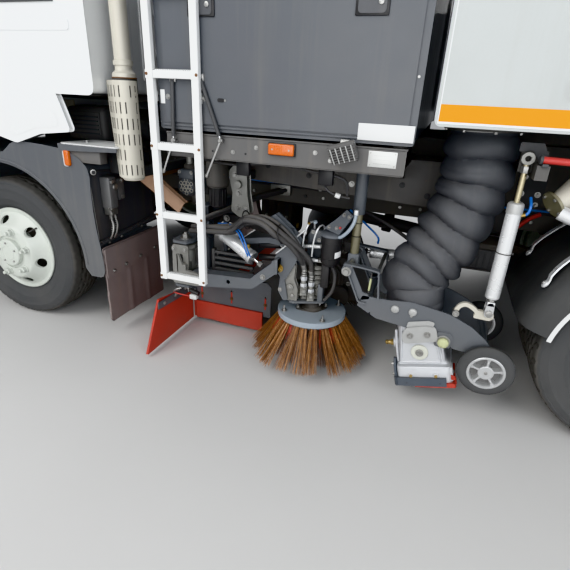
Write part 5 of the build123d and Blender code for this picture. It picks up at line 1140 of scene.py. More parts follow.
def fixed_brackets():
    g = Group("sweeper_brackets", "chassis")
    g.box(-0.645, -0.585, -0.735, -0.675, 0.320, 0.700, "gear_paint", b=0.004)
    g.box(-0.645, -0.585, -0.735, -0.350, 0.640, 0.6995, "gear_paint", b=0.004)
    for z0, z1 in ((0.330, 0.345), (0.566, 0.581)):
        g.prism(rounded([(-0.650, -1.000), (-0.568, -1.004), (-0.550, -0.960), (-0.552, -0.700), (-0.560, -0.675), (-0.650, -0.675)], 0.014), "xy", z0, z1, "gear_paint", b=0.002)
    g.cyl((-0.600, -0.950, 0.318), (-0.600, -0.950, 0.594), 0.0149, "zinc", seg=24, b=0.002)
    g.bolt((-0.600, -0.950, 0.581), (0, 0, 1), 0.017, "zinc", stud=0.010)
    g.cyl((-0.600, -0.950, 0.306), (-0.600, -0.950, 0.330), 0.020, "zinc", seg=6, b=0.001)
    # stop screws and a small sensor below the swivel
    for x, y in ((-0.632, -0.985), (-0.575, -0.990)):
        g.bolt((x, y, 0.330), (0, 0, -1), 0.008, "zinc", stud=0.016)
    g.tube([(-0.612, -1.000, 0.322), (-0.640, -1.010, 0.312), (-0.655, -1.000, 0.290), (-0.660, -0.970, 0.262)], 0.005, "zinc", seg=8)
    g.cyl((-0.560, -1.000, 0.318), (-0.510, -1.000, 0.306), 0.012, "black_plastic", seg=20, b=0.002)
    g.box(-0.556, -0.516, -1.018, -0.992, 0.276, 0.302, "white_cap", b=0.004)
    g.tube([(-0.640, -0.985, 0.306), (-0.654, -1.004, 0.292), (-0.560, -1.010, 0.288), (-0.540, -1.006, 0.289)], 0.0035, "red_paint", seg=8)
    # column of the nozzle's arm: grey sleeve, olive tube, foot casting
    g.cyl((0.250, -0.900, 0.800), (0.250, -0.900, 1.100), 0.0265, "gear_paint", seg=32, b=0.003)
    g.cyl((0.250, -0.900, 0.600), (0.250, -0.900, 0.812), 0.0195, "olive_tube", seg=32, b=0.002)
    g.box(0.224, 0.276, -0.922, -0.878, 0.555, 0.620, "gear_paint", b=0.006)
    g.cyl((0.250, -1.062, 0.585), (0.250, -0.740, 0.585), 0.0149, "zinc", seg=24, b=0.0015)
    g.bolt((0.250, -1.060, 0.585), (0, -1, 0), 0.0125, "zinc")
    g.prism(rounded([(0.224, 0.960), (0.276, 0.960), (0.300, 1.100), (0.200, 1.100)], 0.004), "xz", -0.876, -0.868, "gear_paint", b=0.001)
    g.ring((0.250, -0.900, 0.700), (0, 0, 1), 0.0205, 0.0020, "black_plastic", seg=28, rs=8)
    g.ring((0.250, -0.900, 0.762), (0.1, 0, 1), 0.0205, 0.0018, "dark_rubber", seg=28, rs=8)
    for s in (-1, 1):
        g.prism(rounded([(-0.645, 0.535), (-0.595, 0.535), (-0.595, 0.6995), (-0.645, 0.6995)], 0.006), "xz", min(s * 0.380, s * 0.398), max(s * 0.380, s * 0.398), "gear_paint", b=0.002)
        g.cyl((-0.620, s * 0.380, 0.560), (-0.620, s * 0.442, 0.560), 0.0119, "zinc", seg=20, b=0.001)
        g.bolt((-0.620, s * 0.442, 0.560), (0, s, 0), 0.012, "zinc")
    g.done("sweep_brackets", slot="gear_grey")

    # skirt: slotted steel sheet, red rubber clamped under it
    k = Group("skirt_sheet", "chassis")
    slots = [slot_hole(x - 0.005, x + 0.005, 0.175, 0.232) for x in (-0.636, -0.446, -0.238)]
    k.prism(rounded([(-0.672, 0.104), (-0.206, 0.104), (-0.206, 0.296), (-0.231, 0.315), (-0.672, 0.315)], [0.002, 0.006, 0.01, 0.01, 0.002]), "xz", -0.745, -0.7405, "gear_paint", b=0, holes=slots)
    for x in (-0.636, -0.446, -0.238):
        k.bolt((x, -0.745, 0.180), (0, -1, 0), 0.0062, "rust_steel")
        k.prism(slot_hole(x - 0.0042, x + 0.0042, 0.150, 0.222), "xz", -0.7465, -0.745, "red_rubber", b=0)
    k.prism([(-0.745, 0.110), (0.940, 0.110), (0.940, 0.300), (0.925, 0.315), (-0.745, 0.315)], "yz", -0.680, -0.6755, "gear_paint", b=0.001)
    k.prism([(-1.112, 0.232), (-0.742, 0.204), (-0.742, 0.250), (-1.112, 0.268)], "yz", -0.6835, -0.6795, "gear_paint", b=0.001)
    for y in (-1.06, -0.96, -0.86, -0.78):
        k.bolt((-0.6835, y, 0.248), (-1, 0, 0), 0.006, "zinc")
        k.bolt((-0.6795, y, 0.248), (1, 0, 0), 0.006, "zinc")
    for y in (-0.390, 0.350):
        k.box(-0.6735, -0.6475, y, y + 0.040, 0.290, 0.699, "gear_paint", b=0.003)
        for z in (0.335, 0.640):
            k.bolt((-0.6475, y + 0.020, z), (1, 0, 0), 0.008, "zinc")
    k.done("skirt_plates", slot="gear_grey")

    r = Group("skirt_rubber", "chassis")
    nx = 24
    vs, fs = [], []
    for i in range(nx + 1):                                # long strip, its lower edge gently wavy
        t = i / nx
        x = -0.672 + 0.420 * t
        w = 0.0016 * sin(11 * t) + 0.0012 * sin(27 * t + 1)
        for z, o in ((0.132, 0.0), (0.076, w * 0.5), (0.020 + 0.003 * sin(6 * t), w)):
            vs += [V((x, -0.7570 + o, z)), V((x, -0.7455 + o, z))]
    for i in range(nx):
        a, b = i * 6, (i + 1) * 6
        for k2 in range(2):
            fs.append((a + 2 * k2, b + 2 * k2, b + 2 * k2 + 2, a + 2 * k2 + 2))
            fs.append((a + 2 * k2 + 1, a + 2 * k2 + 3, b + 2 * k2 + 3, b + 2 * k2 + 1))
        fs.append((a, a + 1, b + 1, b))
        fs.append((a + 4, b + 4, b + 5, a + 5))
    fs += [(0, 2, 3, 1), (2, 4, 5, 3), (nx * 6, nx * 6 + 1, nx * 6 + 3, nx * 6 + 2), (nx * 6 + 2, nx * 6 + 3, nx * 6 + 5, nx * 6 + 4)]
    r.raw(vs, fs, "red_rubber")
    r.prism([(-0.744, 0.020), (0.940, 0.020), (0.940, 0.131), (-0.744, 0.131)], "yz", -0.692, -0.6805, "red_rubber", b=0.001)
    r.prism([(-1.216, 0.020), (-1.087, 0.274), (-0.815, 0.230), (-0.760, 0.215), (-0.760, 0.020)], "yz", -0.704, -0.692, "red_rubber", b=0.0012)
    r.done("skirt_rubbers", slot="skirt_red")


fixed_brackets()


# ------------------------------------------------------------------ suction nozzle, its arm, wheels, lift cylinder and hose
TILT = radians(13.7)


def armp(u, v, y):
    """A point in the arm's own leaning frame."""
    return V((0.250 + u * cos(TILT) - v * sin(TILT), y, 0.585 + u * sin(TILT) + v * cos(TILT)))


def armM():
    return Matrix.Translation(V((0.250, 0, 0.585))) @ Matrix.Rotation(-TILT, 4, "Y")


def nozzle_arm():
    g = Group("nozzle_arm_plates", "nozzle")
    out = rounded([(0.308, 0.430), (0.396, 0.383), (0.650, 0.350), (0.735, 0.308), (0.800, 0.300), (0.850, 0.225), (0.895, 0.225), (0.905, 0.275),
                   (0.865, 0.365), (0.790, 0.422), (0.700, 0.462), (0.540, 0.488), (0.437, 0.478), (0.330, 0.480)],
                  [0.006, 0.006, 0.02, 0.03, 0.05, 0.02, 0.02, 0.03, 0.09, 0.12, 0.15, 0.10, 0.02, 0.006])
    for y0, y1, big in ((-1.045, -1.037, 1), (-0.760, -0.752, 0)):
        holes = [circle(0.322, 0.452, 0.0045, 12), circle(0.368, 0.402, 0.0045, 12)]
        g.prism(out, "xz", y0, y1, "gear_paint", b=0, holes=holes if big else ())
        for i in range(len(out)):
            a, b = out[i], out[(i + 1) % len(out)]
        # bent flat bar: from the plate's front end up to the pivot, over the top and back down
        yb = y0 + 0.004
        g.strip([(0.345, yb, 0.448), (0.316, yb, 0.452), (0.302, yb, 0.476), (0.252, yb, 0.585), (0.238, yb, 0.604)], (0, 1, 0), 0.030, 0.007, "gear_paint", n=5)
        g.prism(rounded([(0.226, 0.566), (0.262, 0.560), (0.300, 0.486), (0.318, 0.458), (0.360, 0.470), (0.350, 0.488), (0.326, 0.494), (0.266, 0.612), (0.238, 0.614)], 0.006), "xz", y0, y1, "gear_paint", b=0.001)
        g.strip([(0.238, yb, 0.606), (0.250, yb, 0.614), (0.372, yb, 0.603), (0.386, yb, 0.588), (0.392, yb, 0.530), (0.398, yb, 0.478)], (0, 1, 0), 0.030, 0.007, "gear_paint", n=4)
        g.cyl((0.250, y0 - 0.008, 0.585), (0.250, y1 + 0.008, 0.585), 0.0245, "gear_paint", seg=28, b=0.002)
        g.bolt((0.262, yb - 0.004 if big else yb + 0.004, 0.598), (0, -1 if big else 1, 0), 0.0058, "zinc")
    # cross bars between the two plates
    g.cyl((0.350, -1.037, 0.448), (0.350, -0.760, 0.448), 0.0125, "gear_paint", seg=20)
    g.cyl((0.860, -1.037, 0.330), (0.860, -0.760, 0.330), 0.0125, "gear_paint", seg=20)
    g.cyl((0.874, -1.049, 0.252), (0.874, -0.640, 0.252), 0.0119, "zinc", seg=20)
    g.cyl((0.380, -1.020, 0.594), (0.380, -0.768, 0.594), 0.0080, "zinc", seg=16)
    # cable with its yellow ferrule that runs down behind the front loop
    g.tube([(0.356, -1.028, 0.585), (0.352, -1.030, 0.530), (0.350, -1.030, 0.490)], 0.0035, "hose_line", seg=8)
    g.cyl((0.354, -1.029, 0.558), (0.351, -1.030, 0.502), 0.0046, "yellow_cap", seg=10, b=0.001)
    # white caps over the casting's bolts, and the big yellow-green cap nut with its washers
    for x, z in ((0.4740, 0.4440), (0.5480, 0.4440)):
        g.lathe([(0.0, 0.0), (0.0, 0.0175), (0.004, 0.0175), (0.0075, 0.015), (0.0095, 0.008), (0.0098, 0.0)], (x, -1.045, z), (0, -1, 0), "plug_grey", seg=28)
    g.cyl((0.545, -1.045, 0.4265), (0.545, -1.051, 0.4265), 0.006, "zinc", seg=12)
    cx, cz = 0.6900, 0.338
    g.prism(rounded([(cx - 0.034, cz - 0.028), (cx + 0.030, cz - 0.028), (cx + 0.034, cz + 0.026), (cx + 0.020, cz + 0.040), (cx - 0.024, cz + 0.040), (cx - 0.036, cz + 0.022)], 0.014), "xz", -1.0525, -1.0455, "gear_paint", b=0.0015)
    g.lathe([(0.0, 0.0), (0.0, 0.0285), (0.004, 0.0285), (0.0045, 0.025), (0.007, 0.025), (0.0072, 0.0)], (cx, -1.0525, cz), (0, -1, 0), "zinc", seg=32)
    g.cyl((cx, -1.0595, cz), (cx, -1.0745, cz), 0.0235, "yellow_cap", r2=0.0225, seg=10, b=0.0035)
    g.ball((cx, -1.0745, cz), 0.0185, "yellow_cap", seg=20, squash=0.28, d=(0, -1, 0))
    # lever with the lift cylinder's eye, S-bent and cream
    lev = [(0.712, 0.470), (0.726, 0.500), (0.750, 0.512), (0.780, 0.500), (0.808, 0.478), (0.848, 0.474)]
    g.strip([(x, -1.020, z) for x, z in lev], (0, 1, 0), 0.015, 0.017, "shield_cream", n=5)
    g.prism(rounded([(0.786, 0.462), (0.846, 0.460), (0.858, 0.470), (0.858, 0.486), (0.846, 0.492), (0.796, 0.494)], 0.006), "xz", -1.028, -1.012, "shield_cream", b=0.002)
    g.cyl((0.716, -1.040, 0.470), (0.716, -1.000, 0.470), 0.014, "zinc", seg=20, b=0.002)
    g.bolt((0.716, -1.042, 0.470), (0, -1, 0), 0.008, "zinc")
    # the eye itself stays as built, sleeved
    g.lathe([(-0.008, 0.0102), (-0.008, 0.0185), (0.008, 0.0185), (0.008, 0.0102)], (0.835, -1.030, 0.500), (0, 1, 0), "zinc", seg=28, closed=True)
    g.box(0.826, 0.844, -1.037, -1.022, 0.474, 0.486, "shield_cream", b=0.002)
    g.done("nozzle_arm", slot="gear_grey")


nozzle_arm()


def small_wheel(name, body, y0, y1, node_name, out):
    """Solid tyre on a five-spoke alloy hub; out is the side that shows its face."""
    c = V((0.874, (y0 + y1) / 2, 0.252))
    hw = (y1 - y0) / 2
    g = Group(name, body)
    D = (0, out, 0)
    prof = [(-hw + 0.002, 0.073), (-hw, 0.080), (-hw, 0.096), (-hw + 0.004, 0.1035), (-hw + 0.010, 0.109), (-hw * 0.35, 0.1118), (hw * 0.35, 0.1118), (hw - 0.010, 0.109),
            (hw - 0.004, 0.1035), (hw, 0.096), (hw, 0.080), (hw - 0.002, 0.073)]
    g.lathe(prof, c, D, "tyre_rubber", seg=72, closed=True)
    g.lathe([(-hw + 0.001, 0.0715), (-hw + 0.001, 0.0745), (hw - 0.001, 0.0745), (hw + 0.0005, 0.0725), (hw + 0.0005, 0.0655), (hw - 0.003, 0.0630), (hw - 0.014, 0.0610), (-hw + 0.006, 0.0600), (-hw + 0.001, 0.067)], c, D, "alloy", seg=60, closed=True)
    # recessed web between the spokes in a darker alloy, painted shade for the pockets
    g.lathe([(-0.0095, 0.0), (-0.0095, 0.0620), (-0.0050, 0.0620), (-0.0050, 0.0)], c, D, "wheel_pocket_shade", seg=48)
    g.lathe([(-hw + 0.004, 0.0), (-hw + 0.004, 0.024), (hw - 0.0065, 0.0315), (hw - 0.0030, 0.0305), (hw - 0.0022, 0.0280), (hw - 0.0022, 0.0255), (hw - 0.0034, 0.0250), (hw - 0.0034, 0.0)], c, D, "alloy", seg=40)
    for k in range(5):
        th = 2 * pi * k / 5 + 0.30
        e, t, a = V((cos(th), 0, sin(th))), V((-sin(th), 0, cos(th))), V((0, out, 0))
        vs, q = [], []
        for r, w, h in ((0.026, 0.0120, hw - 0.0050), (0.040, 0.0072, hw - 0.0040), (0.052, 0.0078, hw - 0.0030), (0.0630, 0.0150, hw - 0.0016)):
            for sx, sz in ((-1, 0), (-0.50, 1), (0.50, 1), (1, 0)):
                vs.append(c + e * r + t * (w * sx) + a * (h if sz else -0.006))
        for i in range(3):
            for j in range(3):
                q.append((i * 4 + j, i * 4 + j + 1, (i + 1) * 4 + j + 1, (i + 1) * 4 + j))
        q.append((3, 2, 1, 0))
        q.append((12, 13, 14, 15))
        for i in range(3):
            q.append((i * 4 + 3, i * 4, (i + 1) * 4, (i + 1) * 4 + 3))
        g.raw(vs, q, "alloy")
        p = c + e * 0.047 + a * (hw - 0.012)
        g.cyl(p - a * 0.008, p + a * 0.0095, 0.0046, "alloy", seg=12, b=0.001)
    g.bolt(c + V((0, out, 0)) * (hw - 0.003), D, 0.0065, "zinc", washer=False, h=0.004)
    g.done(node_name, slot="tyre_black")


small_wheel("nozzle_wheel_outer", "nozzle_wheel_a", -1.095, -1.053, "nozzle_wheel_outer", -1)
small_wheel("nozzle_wheel_inner", "nozzle_wheel_b", -0.632, -0.590, "nozzle_wheel_inner", 1)


def nozzle_body():
    """The tilted casting, modelled in the arm's own frame (u across, v up) and turned into place."""
    g = Group("suction_casting", "nozzle")
    g.M = armM()
    yc = (-1.037 - 0.760) / 2

    def ringv(u0, u1, y0, y1, rr, n=8, v=0.0):
        o = []
        for cx, cy, a0 in ((u1 - rr, y1 - rr, 0), (u0 + rr, y1 - rr, pi / 2), (u0 + rr, y0 + rr, pi), (u1 - rr, y0 + rr, 3 * pi / 2)):
            for k in range(n + 1):
                a = a0 + pi / 2 * k / n
                o.append(V((cx + rr * cos(a), cy + rr * sin(a), v)))
        return o
    # outer skin from flange to neck: square box, shoulders, round neck
    levels = [(-0.470, 0.166, 0.386, -1.037, -0.700, 0.016), (-0.462, 0.164, 0.388, -1.037, -0.700, 0.018), (-0.452, 0.172, 0.378, -1.034, -0.716, 0.020), (-0.400, 0.175, 0.366, -1.034, -0.728, 0.024),
              (-0.330, 0.180, 0.352, -1.034, -0.744, 0.032), (-0.290, 0.180, 0.350, -1.034, -0.752, 0.040), (-0.262, 0.176, 0.356, -1.033, -0.757, 0.060), (-0.232, 0.170, 0.366, -1.033, -0.762, 0.085),
              (-0.200, 0.166, 0.372, -1.033, -0.763, 0.098), (-0.150, 0.166, 0.373, -1.033, -0.763, 0.1025), (-0.146, 0.162, 0.377, -1.036, -0.761, 0.1055), (-0.136, 0.162, 0.377, -1.036, -0.761, 0.1055)]
    n = 8
    N = 4 * (n + 1)
    vs, fs = [], []
    for v, u0, u1, y0, y1, rr in levels:
        vs += ringv(u0, u1, y0, y1, rr, n, v)
    for i in range(len(levels) - 1):
        for k in range(N):
            k2 = (k + 1) % N
            fs.append((i * N + k, i * N + k2, (i + 1) * N + k2, (i + 1) * N + k))
    # inner throat
    ins = [(-0.136, 0.176, 0.363, -1.024, -0.773, 0.093), (-0.300, 0.190, 0.340, -1.024, -0.762, 0.045), (-0.470, 0.180, 0.374, -1.026, -0.712, 0.014)]
    o = len(vs)
    for v, u0, u1, y0, y1, rr in ins:
        vs += ringv(u0, u1, y0, y1, rr, n, v)
    for i in range(2):
        for k in range(N):
            k2 = (k + 1) % N
            fs.append((o + i * N + k2, o + i * N + k, o + (i + 1) * N + k, o + (i + 1) * N + k2))
    top = (len(levels) - 1) * N
    for k in range(N):
        k2 = (k + 1) % N
        fs.append((top + k, top + k2, o + k2, o + k))
        fs.append((k2, k, o + 2 * N + k, o + 2 * N + k2))
    g.raw(vs, fs, "cast_alloy")
    # cast rib and edge ribs on the outer face
    g.box(0.352, 0.366, -1.030, -0.80, -0.44, -0.30, "cast_alloy", b=0.005)
    face = [(0.184, -0.452), (0.352, -0.452), (0.330, -0.270), (0.206, -0.270)]
    g.prism(rounded(face, 0.010), "xz", -1.0400, -1.0300, "cast_alloy", b=0.0035)
    for (u0, v0), (u1, v1) in ((face[0], face[3]), (face[1], face[2]), (face[0], face[1])):
        g.tube([(u0, -1.0400, v0), ((u0 + u1) / 2, -1.0405, (v0 + v1) / 2), (u1, -1.0400, v1)], 0.0042, "cast_alloy", seg=10, n=2)
    g.tube([(0.172, -1.030, -0.452), (0.172, -1.028, -0.380), (0.176, -1.022, -0.300)], 0.0060, "cast_alloy", seg=10, n=4)
    g.tube([(0.366, -1.030, -0.452), (0.362, -1.028, -0.380), (0.352, -1.022, -0.300)], 0.0060, "cast_alloy", seg=10, n=4)
    g.box(0.262, 0.276, -1.0420, -1.030, -0.452, -0.425, "cast_alloy", b=0.003)
    # flange box: hollow skirt that sits over the road
    fo = ringv(0.164, 0.395, -1.065, -0.625, 0.020, 6, 0)
    fi = ringv(0.176, 0.383, -1.053, -0.637, 0.010, 6, 0)
    M2 = len(fo)
    vv = [V((p.x, p.y, -0.470)) for p in fo] + [V((p.x, p.y, -0.541)) for p in fo] + [V((p.x, p.y, -0.541)) for p in fi] + [V((p.x, p.y, -0.482)) for p in fi]
    # rounded upper edge
    up = [V((p.x * 0.985 + 0.2795 * 0.015, p.y * 0.99 - 0.845 * 0.01, -0.4645)) for p in fo]
    vv += up
    ff = []
    for k in range(M2):
        k2 = (k + 1) % M2
        ff.append((M2 + k, M2 + k2, k2, k))
        ff.append((2 * M2 + k, 2 * M2 + k2, M2 + k2, M2 + k))
        ff.append((3 * M2 + k, 3 * M2 + k2, 2 * M2 + k2, 2 * M2 + k))
        ff.append((k, k2, 4 * M2 + k2, 4 * M2 + k))
    g.raw(vv, ff, "cast_alloy")
    # deck between flange edge and the box above, with the throat left open
    dk = ringv(0.180, 0.374, -1.026, -0.712, 0.014, 6, 0)
    v3 = [V((p.x, p.y, -0.4645)) for p in up] + [V((p.x, p.y, -0.4645)) for p in dk] + [V((p.x, p.y, -0.482)) for p in dk] + [V((p.x, p.y, -0.482)) for p in fi]
    f3 = []
    for k in range(M2):
        k2 = (k + 1) % M2
        f3.append((k, k2, M2 + k2, M2 + k))
        f3.append((M2 + k, M2 + k2, 2 * M2 + k2, 2 * M2 + k))
        f3.append((2 * M2 + k, 2 * M2 + k2, 3 * M2 + k2, 3 * M2 + k))
    g.raw(v3, f3, "cast_alloy")
    g.box(0.386, 0.401, -1.062, -1.010, -0.536, -0.468, "cast_alloy", b=0.005)
    for u in (0.224, 0.330):                              # brass bolts low on the box
        g.lathe([(0.0, 0.0), (0.0, 0.0125), (0.003, 0.0125), (0.0042, 0.009), (0.0042, 0.0)], (u, -1.065, -0.506), (0, -1, 0), "cast_alloy", seg=20)
        g.bolt((u, -1.0692, -0.506), (0, -1, 0), 0.0066, "brass", washer=False)
    g.bolt((0.395, -1.038, -0.500), (1, 0, 0), 0.0085, "zinc")
    # wrapped lip, blue-grey, in front and on the outer side, then the red lip under it
    lip = [V((0.372, -1.0725, 0)), V((0.190, -1.0725, 0)), V((0.164, -1.066, 0)), V((0.1555, -1.045, 0)), V((0.1555, -0.760, 0)), V((0.1555, -0.640, 0))]
    g.strip([(p.x, p.y, -0.5340) for p in lip], (0, 0, 1), 0.040, 0.011, "lip_rubber", n=4)
    for u in (0.205, 0.345):
        g.cyl((u, -1.0780, -0.538), (u, -1.0795, -0.538), 0.0022, "black_plastic", seg=10)
    # upright strip up the front corner with its two bolts
    g.prism(rounded([(-1.060, -0.545), (-1.004, -0.545), (-1.008, -0.445), (-1.030, -0.438), (-1.055, -0.460)], 0.008), "yz", 0.152, 0.163, "lip_rubber", b=0.002)
    for v in (-0.462, -0.515):
        g.bolt((0.152, -1.040, v), (-1, 0, 0), 0.0068, "zinc", stud=0.004)
    red = [(0.238, -1.069), (0.392, -1.068), (0.401, -1.050), (0.401, -0.900)]
    g.strip([(a, b, -0.5505) for a, b in red], (0, 0, 1), 0.020, 0.012, "red_rubber", n=5)
    g.strip([(0.392, -1.066, -0.512), (0.408, -1.060, -0.520), (0.410, -1.052, -0.545)], (0, 0, 1), 0.022, 0.006, "red_rubber", n=5)
    # small red spring at the rear corner
    hel = [(0.4035 + 0.006 * cos(a), -1.050 + 0.006 * sin(a), -0.505 - 0.0022 * a) for a in [k * 0.7 for k in range(24)]]
    g.tube(hel, 0.0016, "red_paint", seg=6, n=1)
    # side bosses with brass fittings, front and rear
    g.cyl((0.182, -0.965, -0.392), (0.152, -0.965, -0.392), 0.0265, "cast_alloy", seg=28, b=0.004)
    g.cyl((0.152, -0.965, -0.392), (0.138, -0.965, -0.392), 0.0150, "brass", seg=6, b=0.002)
    g.lathe([(0.0, 0.0), (0.0, 0.0105), (0.010, 0.0105), (0.013, 0.0085), (0.018, 0.011), (0.024, 0.009), (0.028, 0.0)], (0.138, -0.965, -0.392), (-1, 0, 0), "brass", seg=20)
    g.cyl((0.348, -0.975, -0.385), (0.380, -0.975, -0.385), 0.0260, "cast_alloy", seg=28, b=0.004)
    g.lathe([(0.0, 0.0), (0.0, 0.0165), (0.006, 0.0165), (0.010, 0.010), (0.024, 0.009), (0.030, 0.0065), (0.030, 0.0)], (0.380, -0.975, -0.385), (1, 0, 0), "zinc", seg=20)
    # nylon bush with its grey bolt
    g.lathe([(0.0, 0.0), (0.0, 0.0365), (0.006, 0.0365), (0.0085, 0.0345), (0.0095, 0.030), (0.0085, 0.020), (0.007, 0.0)], (0.268, -1.040, -0.402), (0, -1, 0), "nylon_ring", seg=40)
    g.lathe([(0.0, 0.0), (0.0, 0.0165), (0.005, 0.0165), (0.007, 0.013), (0.0065, 0.007), (0.003, 0.0045), (0.003, 0.0)], (0.268, -1.048, -0.402), (0, -1, 0), "motor_alloy", seg=24)
    # hanger bracket above it: pressed plate with two bolts
    br = rounded([(0.204, -0.338), (0.336, -0.330), (0.342, -0.318), (0.338, -0.270), (0.300, -0.262), (0.222, -0.268), (0.200, -0.300)], [0.012, 0.008, 0.01, 0.018, 0.02, 0.026, 0.018])
    br = [(u + 0.004, v - 0.010) for u, v in br]
    g.prism(br, "xz", -1.058, -1.050, "plug_grey", b=0.003)
    g.prism(rounded([(0.226, -0.276), (0.334, -0.272), (0.338, -0.258), (0.318, -0.250), (0.236, -0.252)], 0.006), "xz", -1.052, -1.036, "plug_grey", b=0.003)
    for u, v in ((0.236, -0.313), (0.308, -0.310)):
        g.bolt((u, -1.058, v), (0, -1, 0), 0.0085, "zinc")
    g.cyl((0.300, -1.042, -0.300), (0.300, -1.052, -0.300), 0.006, "zinc", seg=10)
    # hose spigot and its clamp band
    g.lathe([(-0.150, 0.0885), (-0.150, 0.1035), (-0.105, 0.1035), (-0.105, 0.0885)], (0.2696, -0.8985, 0), (0, 0, 1), "cast_alloy", seg=56, closed=True)
    g.lathe([(-0.156, 0.1080), (-0.156, 0.1125), (-0.150, 0.1145), (-0.122, 0.1145), (-0.116, 0.1125), (-0.116, 0.1040)], (0.2696, -0.8985, 0), (0, 0, 1), "hose_rubber", seg=56, closed=True)
    # rubber cuff with two folds that carries the hose down over the casting's neck
    cuff = [(-0.238, 0.167, 0.372, -1.0335, -0.7620, 0.098), (-0.236, 0.161, 0.378, -1.0375, -0.7570, 0.103), (-0.222, 0.158, 0.381, -1.0385, -0.7550, 0.106), (-0.206, 0.159, 0.380, -1.0385, -0.7555, 0.106),
            (-0.197, 0.163, 0.376, -1.0365, -0.7590, 0.103), (-0.188, 0.159, 0.380, -1.0385, -0.7555, 0.106), (-0.158, 0.156, 0.383, -1.0390, -0.7540, 0.108), (-0.136, 0.157, 0.382, -1.0385, -0.7550, 0.108),
            (-0.124, 0.160, 0.379, -1.0340, -0.7600, 0.107), (-0.114, 0.164, 0.375, -1.0220, -0.7730, 0.104), (-0.104, 0.168, 0.371, -1.0050, -0.7910, 0.100)]
    vs, fs = [], []
    for v, u0, u1, y0, y1, rr in cuff + [(-0.104, 0.180, 0.359, -0.993, -0.803, 0.0895), (-0.238, 0.180, 0.359, -1.020, -0.775, 0.0895)]:
        vs += ringv(u0, u1, y0, y1, rr, n, v)
    rings = len(cuff) + 2
    for i in range(rings):
        for k in range(N):
            k2 = (k + 1) % N
            j = (i + 1) % rings
            fs.append((i * N + k, i * N + k2, j * N + k2, j * N + k))
    g.raw(vs, fs, "hose_rubber")
    g.done("suction_nozzle", slot="gear_grey")


nozzle_body()


def lift_cylinder():
    eye, top = V((0.835, -1.030, 0.500)), V((0.835, -1.030, 1.100))
    g = Group("lift_cylinder_barrel", "lift_barrel")
    # clevis fork on the lever's eye
    for y in (-1.0475, -1.0125):
        g.prism(rounded([(0.819, 0.484), (0.851, 0.484), (0.849, 0.530), (0.842, 0.545), (0.828, 0.545), (0.821, 0.530)], 0.012), "xz", y - 0.004, y + 0.004, "alloy", b=0.001)
    g.box(0.820, 0.850, -1.0515, -1.0085, 0.530, 0.549, "alloy", b=0.003)
    g.cyl((0.835, -1.056, 0.500), (0.835, -1.004, 0.500), 0.0098, "zinc", seg=20, b=0.001)
    g.cyl((0.835, -1.059, 0.500), (0.835, -1.055, 0.500), 0.0140, "zinc", seg=20, b=0.001)
    g.tube([(0.826, -1.006, 0.500), (0.835, -1.003, 0.512), (0.846, -1.006, 0.500), (0.838, -1.006, 0.486)], 0.0014, "zinc", seg=6)
    g.cyl((0.835, -1.030, 0.545), (0.835, -1.030, 0.562), 0.0110, "alloy", seg=20, b=0.001)
    g.cyl((0.835, -1.030, 0.549), (0.835, -1.030, 0.556), 0.0155, "zinc", seg=6, b=0.001)
    g.lathe([(0.562, 0.0), (0.562, 0.024), (0.565, 0.0265), (0.572, 0.0275), (0.574, 0.0275), (0.575, 0.0268), (0.905, 0.0268), (0.906, 0.0280), (0.936, 0.0280), (0.941, 0.0265), (0.945, 0.021), (0.945, 0.0)],
            (0.835, -1.030, 0), (0, 0, 1), "silver_tube", seg=40)
    g.lathe([(0.906, 0.0), (0.906, 0.0286), (0.9365, 0.0286), (0.9420, 0.0270), (0.9460, 0.0215), (0.9460, 0.0)], (0.835, -1.030, 0), (0, 0, 1), "plug_grey", seg=40)
    g.ring((0.835, -1.030, 0.752), (0.05, 0, 1), 0.0272, 0.0022, "dark_rubber", seg=36, rs=8)
    g.box(0.862, 0.870, -1.034, -1.028, 0.748, 0.756, "dark_rubber", b=0.001)
    g.tube([(0.861, -1.030, 0.900), (0.880, -1.028, 0.908), (0.886, -1.020, 0.935), (0.884, -0.99, 0.96)], 0.0050, "blue_line", seg=10)
    g.cyl((0.858, -1.030, 0.900), (0.873, -1.029, 0.904), 0.0075, "brass", seg=6)
    g.done("lift_cylinder", slot="gear_grey")
    r = Group("lift_cylinder_rod", "lift_piston")
    r.cyl((0.835, -1.030, 0.700), (0.835, -1.030, 1.078), 0.0099, "rod_brass", seg=24)
    r.cyl((0.835, -1.030, 1.050), (0.835, -1.030, 1.074), 0.0145, "zinc", seg=6, b=0.001)
    r.lathe([(-0.009, 0.0102), (-0.009, 0.0215), (-0.006, 0.0225), (0.006, 0.0225), (0.009, 0.0215), (0.009, 0.0102)], (0.835, -1.030, 1.100), (0, 1, 0), "motor_alloy", seg=32, closed=True)
    r.done("lift_rod", slot="gear_grey")


lift_cylinder()


